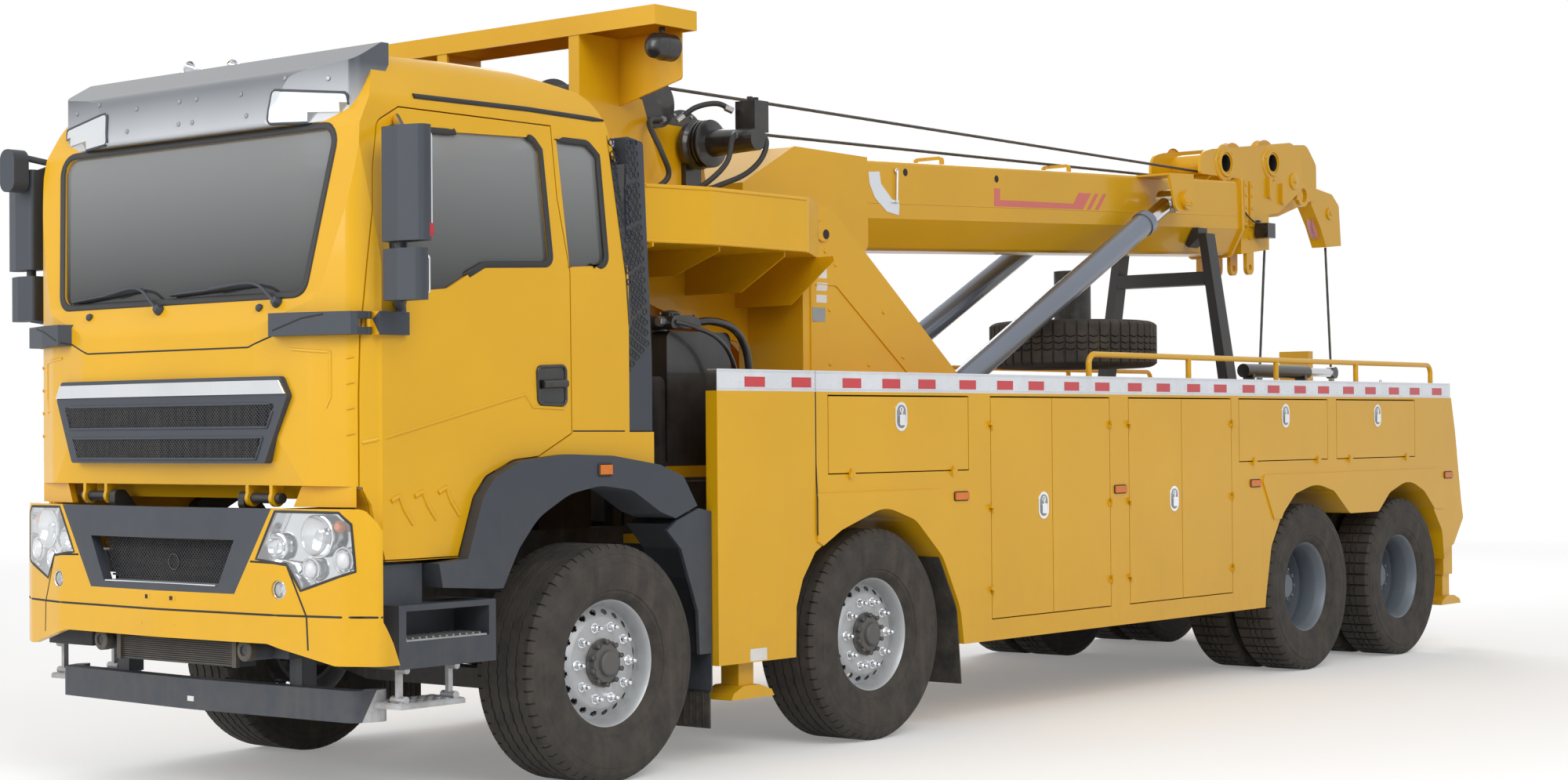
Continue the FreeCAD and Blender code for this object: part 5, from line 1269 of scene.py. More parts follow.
    def slat_face(self, skin: Skin, y: float, z: float) -> Place:
        """Return the grille's front between its strips, carried to a height."""
        point, normal = skin.front(y, self.slat_z)
        return Vector((point.x, y, z)), Vector((normal.x, normal.y, 0)).normalized()

    def air_horns(self, shell: Skin) -> None:
        """Stand the two trumpets on the roof behind the visor."""
        horns = Shape()
        for y, front in self.horns:
            foot = shell.above(front - 0.25, y)[0]
            z = foot.z + 0.062
            horns.lathe([(0.014, 0), (0.016, 0.26), (0.024, 0.38), (0.05, 0.44), (0.053, 0.446),
                         (0.048, 0.444), (0.018, 0.36), (0, 0.35)], (front - 0.44, y, z), AHEAD, 28)
            horns.lathe([(0, 0), (0.036, 0), (0.042, 0.01), (0.042, 0.03), (0.014, 0.05)],
                        (front - 0.48, y, z), AHEAD, 24)
            for x in (front - 0.36, front - 0.16):
                horns.prism(rect(y - 0.012, y + 0.012, foot.z - 0.02, z), Plane.FRONT, x, x + 0.03)
        horns.make("roof_horns", "cab", "chrome")


@dataclass
class CabSides:
    """Seals, drip strips, doors' trim and the pierced strips behind the doors."""

    door_window: tuple = ((1.232, 2.821, 0.04), (0.4, 2.85, 0.05), (0.352, 2.798), (0.338, 2.29, 0.04),
                          (0.749, 2.27, 0.06), (0.959, 2.159, 0.06), (1.262, 2.13, 0.04))
    quarter: tuple = ((0.238, 2.855), (0.04, 2.855, 0.05), (-0.024, 2.802), (-0.029, 2.3, 0.05),
                      (0.216, 2.283))
    strip: tuple[Pair, ...] = ((-0.094, 2.9), (-0.237, 2.9), (-0.31, 1.95), (-0.18, 1.82))
    groups: int = 5
    cells: tuple[int, int] = (4, 7)
    door_crease: tuple[Pair, ...] = ((1.395, 1.511), (0.5, 1.715), (0.455, 1.66), (0.262, 1.652))
    handle: tuple[Pair, ...] = ((0.25, 1.668), (0.421, 1.673), (0.428, 1.835), (0.252, 1.842))
    ribs: tuple[Pair, ...] = ((1.236, 1.289), (1.106, 1.305), (0.973, 1.318))
    tail_gap: tuple[Pair, ...] = ((0.205, 1.552), (-0.322, 1.549))

    def build(self) -> None:
        """Make the trim of both sides."""
        for side, name in SIDE_NAMES.items():
            self.shell_side(side, name)
            self.door_side(side, name)

    def shell_side(self, side: float, name: str) -> None:
        """Trim the fixed part of one side."""
        skin = Skin("cab_shell", "cab_trim")
        black = Shape().bead(on_side(skin, [(1.075, 2.969), (0.4, 2.976), (-0.312, 2.963)], False, 0.06,
                                     side), 0.024, 0.012)
        black.bead(on_side(skin, self.quarter, True, 0.05, side), 0.03, 0.006, closed=True)
        black.make(f"roof_drip_{name}", "cab", "rubber", "plastic", crease=60)
        sheet = Shape().patch(quad_on(lambda x, z: skin.side(x, z, side), self.strip, 4, 24), 0.003)
        sheet.make(f"pierced_strip_{name}", "cab", "mesh_black", "plastic")
        cell = Shape()
        cell.lathe([(0.013, 0.0), (0.013, 0.006), (0.0165, 0.006), (0.0165, 0.0)], CENTRE, UP, 6, closed=True)
        wide, tall = self.cells
        places = []
        a, b, c, d = (Vector(p) for p in self.strip)
        for group in range(self.groups):
            for row in range(tall):
                t = (group + 0.08 + 0.88 * (row + 0.5) / tall) / self.groups
                for column in range(wide - row % 2):
                    s = (column + 0.5 + 0.5 * (row % 2)) / wide
                    spot = a.lerp(d, t).lerp(b.lerp(c, t), s)
                    point, normal = skin.side(spot.x, spot.y, side)
                    places.append(facing((point + normal * 0.001, normal), math.pi / 6))
        Shape().stamp(cell, places).make(f"strip_cells_{name}", "cab", "plastic", "plastic")
        gap = Shape().bead(on_side(skin, self.tail_gap, False, 0.05, side), 0.007, 0.001)
        gap.make(f"cab_side_gap_{name}", "cab", "seam", crease=80)

    def door_side(self, side: float, name: str) -> None:
        """Trim one door."""
        body = f"door_{name}"
        skin = Skin(body)
        window = [(x + (0.008 if x > 0.8 else -0.008), z, *r) for x, z, *r in self.door_window]
        seal = Shape().bead(on_side(skin, window, True, 0.05, side), 0.03, 0.006, closed=True)
        seal.make(f"door_seal_{name}", body, "rubber", "plastic", crease=60)
        relief = Shape().bead(on_side(skin, self.door_crease, False, 0.05, side), 0.016, 0.0045)
        for x, z in self.ribs:
            line = [(x + 0.045, z - 0.02), (x, z), (x - 0.03, z - 0.06), (x - 0.075, z - 0.118)]
            relief.bead(on_side(skin, line, False, 0.02, side), 0.02, 0.009)
        relief.make(f"door_creases_{name}", body, "paint", "paint", crease=80)
        pull = Shape().patch(quad_on(lambda x, z: skin.side(x, z, side), self.handle, 6, 6), 0.002)
        x0, z0 = self.handle[0]
        frame = on_side(skin, [(x, z, 0.025) for x, z in self.handle], True, 0.03, side)
        pull.bead(frame, 0.016, 0.01, closed=True)
        grip = on_side(skin, [(x0 + 0.012, z0 + 0.095), (x0 + 0.16, z0 + 0.09)], False, 0.03, side)
        pull.bead([(p + n * 0.012, n) for p, n in grip], 0.04, 0.022)
        pull.make(f"door_handle_{name}", body, "dark_metal", "plastic", crease=60)
        self.mirror_glass(side, name, body)

    def mirror_glass(self, side: float, name: str, body: str) -> None:
        """Set the mirror plates and the small red lens in the mirror housings."""
        plates = Shape()
        for low, high, out in ((2.355, 2.775, 1.415), (2.112, 2.278, 1.4)):
            plates.prism(rect(1.24, out, low, high, 0.02), Plane.FRONT, 1.284, 1.294)
        plates.flip(side).make(f"mirror_plates_{name}", body, "lamp_silver", edge=0.002)
        lens = Shape().prism(rect(1.3, 1.345, 2.345, 2.4, 0.01), Plane.SIDE, 1.428, 1.4396)
        lens.flip(side).make(f"mirror_lens_{name}", body, "red_lens", edge=0.002)


@dataclass
class HeadLamp:
    """One headlamp's inside, seen through its clear lens."""

    outline: tuple[Pair, ...] = ((0.63, 1.029), (0.748, 1.232), (1.07, 1.228), (1.12, 1.18), (1.135, 0.985),
                                 (0.879, 0.902), (0.81, 1.008))
    depth: float = 0.062
    bowls: tuple = ((0.938, 1.128, 0.084), (0.735, 1.082, 0.05))
    projectors: tuple = ((0.9, 0.99, 0.046), (1.06, 1.03, 0.052))
    amber: tuple[float, float, float] = (1.04, 1.168, 0.026)
    aim: tuple[float, float, float] = (1, 0.12, 0)

    def spot(self, skin: Skin, y: float, z: float, depth: float) -> Vector:
        """Return a point behind the lens."""
        return skin.front(y, z)[0] - Vector((depth, 0, 0))

    def build(self, side: float) -> None:
        """Make one lamp's housing, reflectors, projectors and bulb."""
        skin = Skin("headlamps", "bumper")
        name = SIDE_NAMES[side]
        middle = sum((Vector(p) for p in self.outline), Vector((0, 0))) / len(self.outline)
        inner = [tuple(middle.lerp(Vector(p), 0.955)) for p in self.outline]
        dense = spread(inner, 0.05, True)
        house = Shape()
        rings = [[self.spot(skin, y, z, depth) for y, z in dense] for depth in (0.01, self.depth)]
        house.loft(rings, capped=False)
        house.face([house.bm.verts.new(p) for p in rings[1]])
        house.finish = 1
        rim = spread([tuple(middle.lerp(Vector(p), 0.985)) for p in self.outline], 0.05, True)
        gasket = [(self.spot(skin, y, z, 0.0), skin.front(y, z)[1]) for y, z in rim]
        house.bead(gasket, 0.012, 0.003, closed=True)
        house.flip(side).make(f"headlamp_house_{name}", "chassis", "lamp_silver rubber", "lamp_glass")
        bowl = Shape()
        for y, z, r in self.bowls:
            at = self.spot(skin, y, z, 0.03)
            bowl.lathe([(r + 0.006, -0.004), (r + 0.007, 0.006), (r, 0.008), (r * 0.86, -0.006),
                        (r * 0.6, -0.018), (r * 0.3, -0.024), (r * 0.28, -0.008), (0, -0.004)], at, self.aim,
                       40)
        for y, z, r in self.projectors:
            at = self.spot(skin, y, z, 0.034)
            bowl.ring(at, self.aim, r, 0.006)
            bowl.ring(at + Vector((0.008, 0, 0)), self.aim, r * 0.74, 0.005)
        bowl.flip(side).make(f"headlamp_reflectors_{name}", "chassis", "lamp_silver", "lamp_glass")
        domes = Shape()
        for y, z, r in self.projectors:
            domes.lathe([(r * 0.74, -0.006), (r * 0.68, 0.01), (r * 0.45, 0.02), (0, 0.025)],
                        self.spot(skin, y, z, 0.038), self.aim, 28)
        domes.finish = 1
        y, z, r = self.amber
        domes.lathe([(r, -0.012), (r * 0.9, 0.006), (r * 0.5, 0.018), (0, 0.021)],
                    self.spot(skin, y, z, 0.034), (1, 0.2, 0), 20)
        domes.flip(side).make(f"headlamp_bulbs_{name}", "chassis", "bulb amber_lens", "lamp_glass")


@dataclass
class FrontGear:
    """Bumper trim, fog lamps, intake mesh, radiator fins, steps and flare lamps."""

    seam_z: float = 0.8
    side_gap: tuple[Pair, ...] = ((0.6, 1.019), (0.807, 1.014), (0.908, 0.798), (0.915, 0.66))
    fog: tuple[float, float] = (0.766, 0.905)
    intake: tuple[float, float, float, float] = (0.395, 0.911, 0.495, 1.104)
    intake_x: float = 1.514
    holes: tuple[Pair, ...] = ((-0.069, 0.852), (0.1, 0.85))
    studs: tuple[Pair, ...] = ((-0.111, 0.737), (0.114, 0.738))
    pins: float = 0.5
    fins: tuple[float, float] = (0.566, 0.676)
    fins_x: float = 1.4805
    fin_count: int = 12

    def build(self) -> None:
        """Make every piece of the front below the cab."""
        bumper = Skin("bumper", "front_frame", "headlamps")
        self.bumper_trim(bumper)
        self.openings()
        for side in (LEFT, RIGHT):
            HeadLamp().build(side)
            self.fog_lamp(side)
            self.steps(side)
            self.flare_lamp(side)

    def bumper_trim(self, skin: Skin) -> None:
        """Draw the bumper's gaps, its two holes with painted shade in them, and its studs."""
        gap = Shape().bead(on_front(skin, [(-1.17, self.seam_z), (1.17, self.seam_z)], False, 0.05), 0.01,
                           0.0012)
        for side in (LEFT, RIGHT):
            gap.bead(on_front(skin, [(side * y, z) for y, z in self.side_gap], False), 0.009, 0.0012)
            gap.bead(on_side(skin, [(1.47, self.seam_z), (1.394, self.seam_z)], False, 0.02, side), 0.01,
                     0.0012)
        gap.finish = 1
        for y, z in self.holes:
            gap.patch(quad_on(skin.front, rect(y - 0.026, y + 0.026, z - 0.012, z + 0.012), 1, 1), 0.0015)
        gap.stamp(Rim.finished(bolt_head(0.008, 0.002), 1), [facing(skin.front(y, z)) for y, z in self.studs])
        # painted shade: a small near-black patch inside each hole's raised rim stands in for the hole
        gap.finish = 0
        for y, z in self.holes:
            gap.patch(quad_on(skin.front, rect(y - 0.01, y + 0.01, z - 0.009, z + 0.009), 1, 1), 0.0022)
        gap.make("bumper_gaps_and_hole_shade", "chassis", "seam paint", crease=60)

    def openings(self) -> None:
        """Fill the intake with mesh and the radiator with fins."""
        foot, low, head, high = self.intake
        mesh = Shape()
        mesh.diagonals(lambda y, z: (Vector((self.intake_x, y, z)), AHEAD), foot, low, head, high, 0.019,
                       0.0036)
        mesh.ring((self.intake_x + 0.004, 0.02, 1.0), AHEAD, 0.034, 0.004)
        mesh.make("intake_mesh", "chassis", "mesh_black", "plastic", crease=80)
        Shape().box(1.516, 1.586, -0.385, 0.385, 0.909,
                    0.915).make("intake_ledge", "chassis", "alloy", "alloy", edge=0.002)
        fins = Shape()
        low, high = self.fins
        for i in range(self.fin_count):
            z = low + (high - low) * i / self.fin_count
            fins.box(self.fins_x, 1.49, -0.39, 0.39, z, z + 0.004)
        for side in (LEFT, RIGHT):
            fins.box(self.fins_x, 1.5, side * 0.402 - 0.014, side * 0.402 + 0.014, low - 0.006, high)
        fins.make("radiator_fins", "chassis", "fins", "dark_metal")
        pins = Shape()
        for side in (LEFT, RIGHT):
            at = (1.519, side * self.pins, 0.64)
            pins.lathe([(0.047, -0.03), (0.047, 0.004), (0.04, 0.008), (0.024, 0.008), (0.022, -0.004),
                        (0.008, -0.004), (0, 0.01)], at, AHEAD, 28)
        pins.make("tow_pin_ends", "chassis", "frame_black", "frame_black")
        front = Skin("front_frame")
        Shape().patch(quad_on(front.front, rect(-0.022, 0.022, 0.388, 0.41), 2, 1),
                      0.002).make("underrun_plate", "chassis", "blank_label")

    def fog_lamp(self, side: float) -> None:
        """Set one fog lamp in its cup."""
        y, z = self.fog
        at = Vector((1.542, side * y, z))
        lamp = Shape().ring(at + Vector((0.01, 0, 0)), AHEAD, 0.0375, 0.004)
        lamp.lathe([(0.036, 0), (0.03, -0.026), (0.014, -0.04), (0, -0.042)], at, AHEAD, 28)
        lamp.finish = 1
        lamp.lathe([(0.036, 0.002), (0.026, 0.01), (0, 0.014)], at, AHEAD, 28)
        lamp.make(f"fog_lamp_{SIDE_NAMES[side]}", "chassis", "lamp_silver lamp_glass", "lamp_glass")

    def steps(self, side: float) -> None:
        """Lay the tread plates on the step well and the folding step."""
        plate = Shape().box(0.8, 1.258, 1.03, 1.212, 0.69, 0.697)
        plate.box(0.934, 1.286, 1.014, 1.211, 0.432, 0.437)
        for i in range(12):
            plate.rod((0.825 + 0.038 * i, 1.05, 0.699), (0.825 + 0.038 * i, 1.195, 0.699), 0.006, 8)
        places = [Matrix.Translation((0.96 + 0.05 * i, 1.04 + 0.048 * j, 0.437)) for i in range(7)
                  for j in range(4)]
        plate.stamp(bolt_head(0.014, 0.004), places)
        for x in (0.972, 1.252):
            plate.rod((x, 1.12, 0.448), (x, 1.205, 0.448), 0.017, 16)
            plate.rod((x, 1.16, 0.572), (x, 1.212, 0.572), 0.015, 16)
        plate.flip(side).make(f"step_plates_{SIDE_NAMES[side]}", "chassis", "tread_plate", "alloy",
                              edge=0.001)
        well = Shape()
        well.prism(rect(1.215, 1.255, 0.715, 0.8, 0.02), Plane.SIDE, 1.001, 1.006)
        well.ring((1.22, 1.006, 0.77), ACROSS, 0.017, 0.003)
        well.flip(side).make(f"step_well_{SIDE_NAMES[side]}", "chassis", "plastic", "plastic", edge=0.002)

    def flare_lamp(self, side: float) -> None:
        """Set the amber lamp on the wheel arch."""
        skin = Skin("cab_trim")
        base = on_side(skin, rect(0.02, 0.106, 1.352, 1.404, 0.01), True, 0.03, side)
        lamp = Shape().patch(quad_on(lambda x, z: skin.side(x, z, side), rect(0.024, 0.102, 1.356, 1.4), 4,
                                     2), 0.013)
        lamp.finish = 1
        lamp.bead(base, 0.01, 0.008, closed=True)
        lamp.make(f"arch_lamp_{SIDE_NAMES[side]}", "cab", "amber_lens rubber", "lamp_glass", edge=0.002)


def side_rows(skin: Skin, side: float, x0: float, x1: float, z0: float, z1: float, across: int = 2,
              along: int = 1) -> list[list[Place]]:
    """Return rows of places over an upright rectangle on a side."""
    return quad_on(lambda x, z: skin.side(x, z, side), rect(x0, x1, z0, z1), across, along)


@dataclass
class SideBody:
    """Rail sheeting, rivets, latches, marker lamps and flaps of the locker body."""

    first_patches: tuple[float, ...] = (-0.862, -1.216, -1.618, -1.946, -2.254, -2.62, -2.97, -3.273, -3.63)
    patch_steps: tuple[float, float] = (0.32, 0.352)
    patch_length: float = 0.15
    patch_z: tuple[float, float] = (1.756, 1.805)
    rail_end: float = -8.56
    rail_run: Pair = (-0.665, -8.6)
    joint: float = -1.4
    markers: tuple[float, ...] = (-2.625, -4.203, -5.79, -8.572)
    marker_z: float = 1.192
    double_latches: tuple[tuple[str, float], ...] = (("locker_1_front", -3.406), ("locker_2_front", -4.805))
    upper_latches: tuple[tuple[str, float], ...] = (("locker_3", -2.1), ("locker_4", -6.19),
                                                    ("locker_5", -7.48))
    lower_z: float = 1.122
    upper_z: float = 1.613

    def patch_places(self) -> list[float]:
        """Return the front edge of each red patch along the rail."""
        places = list(self.first_patches)
        turn = 0
        while places[-1] - self.patch_steps[turn % 2] - self.patch_length > self.rail_end:
            places.append(places[-1] - self.patch_steps[turn % 2])
            turn += 1
        return places

    def build(self) -> None:
        """Dress both sides."""
        for side, name in SIDE_NAMES.items():
            self.rail(side, name)
            self.panels(side, name)
            for body, x in self.double_latches:
                self.latch(f"{body}_{name}", x, self.lower_z, side)
            for body, x in self.upper_latches:
                self.latch(f"{body}_{name}", x, self.upper_z, side)
            self.flaps(side, name)

    def rail(self, side: float, name: str) -> None:
        """Lay sheeting, rivets and lips on the rail."""
        skin = Skin("side_rails")
        sheet, rivets = Shape(), Shape()
        low, high = self.patch_z
        spots = []
        for x in self.patch_places():
            sheet.patch(side_rows(skin, side, x, x - self.patch_length, low, high), 0.0015)
            spots += [(x + 0.03, low + 0.026), (x - self.patch_length - 0.022, low + 0.026),
                      (x + 0.085, low + 0.012)]
        sheet.make(f"rail_sheeting_{name}", "chassis", "red_sheeting", "alloy")
        rivets.stamp(bolt_head(0.006, 0.003), [facing(skin.side(x, z, side)) for x, z in spots])
        for z in (1.744, 1.75, 1.828, 1.834):
            for ends in ((self.rail_run[0], self.joint + 0.004), (self.joint - 0.004, self.rail_run[1])):
                rivets.bead([skin.side(x, z, side) for x in ends], 0.004, 0.002)
        rivets.make(f"rail_rivets_{name}", "chassis", "alloy", "alloy", crease=60)

    def panels(self, side: float, name: str) -> None:
        """Draw the panel joint and set the marker lamps and the blank label."""
        skin = Skin(f"body_{name}")
        seam = Shape().bead(on_side(skin, [(self.joint, 1.735), (self.joint, 1.03)], False, 0.2, side), 0.009,
                            0.001)
        seam.bead(on_side(Skin("side_rails"), [(self.joint, 1.838), (self.joint, 1.74)], False, 0.2, side),
                  0.006, 0.001)
        seam.make(f"panel_joint_{name}", "chassis", "seam", crease=80)
        lamps = Shape()
        for x in self.markers:
            z = self.marker_z
            lamps.finish = 0
            lamps.patch(side_rows(skin, side, x + 0.06, x - 0.06, z - 0.02, z + 0.02, 4, 2), 0.014)
            lamps.finish = 1
            lamps.bead(on_side(skin, rect(x + 0.062, x - 0.062, z - 0.022, z + 0.022, 0.01), True, 0.04,
                               side), 0.008, 0.006, closed=True)
        lamps.make(f"marker_lamps_{name}", "chassis", "amber_lens rubber", "lamp_glass", edge=0.003)
        label = Shape().patch(side_rows(skin, side, -0.889, -1.012, 0.45, 0.508), 0.001)
        label.make(f"foot_label_{name}", "chassis", "blank_label")

    def latch(self, body: str, x: float, z: float, side: float) -> None:
        """Set a chrome paddle latch in a locker door."""
        point, _ = Skin(body).side(x, z, side)
        y = abs(point.y)
        plate = Shape()

        def oval(wide: float, tall: float) -> list[tuple]:
            r = min(wide, tall) * 0.98
            return rect(x + wide, x - wide, z - tall, z + tall, r)

        plate.prism(oval(0.05, 0.075), Plane.SIDE, y - 0.002, y + 0.004)
        plate.ring((x, y + 0.004, z + 0.035), ACROSS, 0.013, 0.004)
        plate.prism(rect(x + 0.024, x - 0.024, z - 0.045, z + 0.01, 0.008), Plane.SIDE, y + 0.006, y + 0.013)
        plate.rod((x + 0.004, y + 0.008, z + 0.0), (x - 0.004, y + 0.008, z + 0.04), 0.005, 10)
        plate.finish = 1
        plate.prism(oval(0.037, 0.06), Plane.SIDE, y + 0.0035, y + 0.0055)
        plate.flip(side).make(f"latch_{body}", body, "chrome steel", edge=0.002)

    def flaps(self, side: float, name: str) -> None:
        """Hang the rubber flaps behind the first two axles."""
        flap = Shape().box(-0.664, -0.655, 0.8, 1.195, 0.15, 0.6)
        flap.prism([(-2.638, 0.2), (-2.63, 0.2), (-2.592, 0.598), (-2.438, 0.874), (-2.446, 0.88),
                    (-2.6, 0.602)], Plane.SIDE, 0.8, 1.235)
        for i in range(9):
            flap.box(-0.655, -0.652, 0.83 + 0.04 * i, 0.84 + 0.04 * i, 0.165, 0.32)
        flap.flip(side).make(f"mud_flaps_{name}", "chassis", "flap_rubber", "plastic", edge=0.002)


@dataclass
class Mast:
    """Labels, bolts, spot lamps and the tank fittings round the mast."""

    cheek_bolts: tuple[Pair, ...] = ((-2.28, 2.428), (-2.702, 2.188), (-2.877, 1.946), (-2.566, 1.898),
                                     (-2.228, 1.898), (-2.226, 2.186), (-2.193, 2.496))
    labels: tuple = ((-2.112, -2.204, 2.35, 2.41), (-2.114, -2.203, 2.283, 2.326),
                     (-2.114, -2.202, 2.22, 2.262))
    plate: tuple = (-2.07, -2.188, 2.12, 2.194)
    lamp: tuple[float, float, float] = (-0.65, 0.93, 3.385)

    def build(self) -> None:
        """Make the mast's fittings."""
        skin = Skin("mast")
        bolts, labels = Shape(), Shape()
        for side in (LEFT, RIGHT):
            bolts.stamp(bolt_head(0.012, 0.007), [facing(skin.side(x, z, side)) for x, z in self.cheek_bolts])
        bolts.make("mast_bolts", "chassis", "paint", "paint")
        for x0, x1, z0, z1 in self.labels:
            labels.patch(side_rows(skin, LEFT, x0, x1, z0, z1), 0.001)
        labels.finish = 1
        x0, x1, z0, z1 = self.plate
        labels.patch(side_rows(skin, LEFT, x0, x1, z0, z1), 0.0015)
        labels.finish = 2
        point, normal = skin.side(-2.184, 2.583)
        labels.lathe([(0.026, -0.002), (0.026, 0.002), (0, 0.002)], point, normal, 20)
        labels.make("mast_labels", "chassis", "blank_label steel seam")
        self.platform_lip(skin)
        self.spot_lamps()
        self.tank_pump()

    def platform_lip(self, skin: Skin) -> None:
        """Run the folded lip along the platform's foot and top edge."""
        lip = Shape()
        for side in (LEFT, RIGHT):
            for z, wide in ((2.45, 0.02), (2.708, 0.016)):
                run = [skin.side(x, z, side) for x in (-0.5, -0.84, -0.88, -1.2, -1.58)]
                lip.bead(run, wide, 0.006)
        lip.make("platform_lips", "chassis", "paint", "paint", crease=60)

    def spot_lamps(self) -> None:
        """Hang a work lamp under each end of the gantry."""
        x, y, z = self.lamp
        for side, name in SIDE_NAMES.items():
            lamp = Shape()
            lamp.lathe([(0, 0.085), (0.03, 0.083), (0.06, 0.06), (0.066, 0.0), (0.066, -0.07), (0.06, -0.076),
                        (0.056, -0.07)], (x, y, z), AHEAD, 32)
            for k in range(6):
                lamp.ring((x + 0.005 + 0.011 * k, y, z), AHEAD, 0.064 - 0.002 * k, 0.003, 24)
            lamp.prism(rect(x - 0.012, x + 0.012, z + 0.06, 3.48), Plane.SIDE, y - 0.01, y + 0.01)
            lamp.finish = 1
            lamp.lathe([(0.058, -0.068), (0.04, -0.074), (0, -0.077)], (x, y, z), AHEAD, 32)
            lamp.flip(side).make(f"work_lamp_{name}", "chassis", "dark_metal bulb", "plastic", edge=0.001)

    def tank_pump(self) -> None:
        """Set the pump block and its hoses on the tank behind the cab."""
        block = Shape().prism([(-0.66, 2.04, 0.02), (-0.88, 2.04, 0.02), (-0.88, 2.09, 0.03),
                               (-0.8, 2.105, 0.03), (-0.68, 2.1, 0.03)], Plane.SIDE, 0.78, 0.96)
        block.lathe([(0, 0), (0.045, 0), (0.05, 0.012), (0.05, 0.026), (0.02, 0.034), (0, 0.034)],
                    (-0.76, 0.87, 2.095), UP, 28)
        for x in (-0.69, -0.85):
            for y in (0.8, 0.94):
                block.rod((x, y, 2.07), (x, y, 2.108), 0.009, 6)
        block.tube([(-0.88, 0.9, 2.07), (-0.99, 0.93, 2.082), (-1.14, 0.93, 2.056), (-1.232, 0.93, 1.984),
                    (-1.274, 0.93, 1.858), (-1.28, 0.93, 1.62)], 0.02, 12)
        block.tube([(-0.7, 0.96, 2.07), (-0.78, 1.01, 2.045), (-0.937, 1.02, 1.993), (-1.06, 1.01, 1.88),
                    (-1.15, 1.0, 1.62)], 0.011, 10)
        block.finish = 1
        for x, y in ((-0.905, 0.905), (-0.66, 0.9)):
            block.rod((x - 0.022, y, 2.072), (x + 0.022, y, 2.072), 0.024, 6)
        block.make("tank_pump", "chassis", "dark_metal steel", "dark_metal")


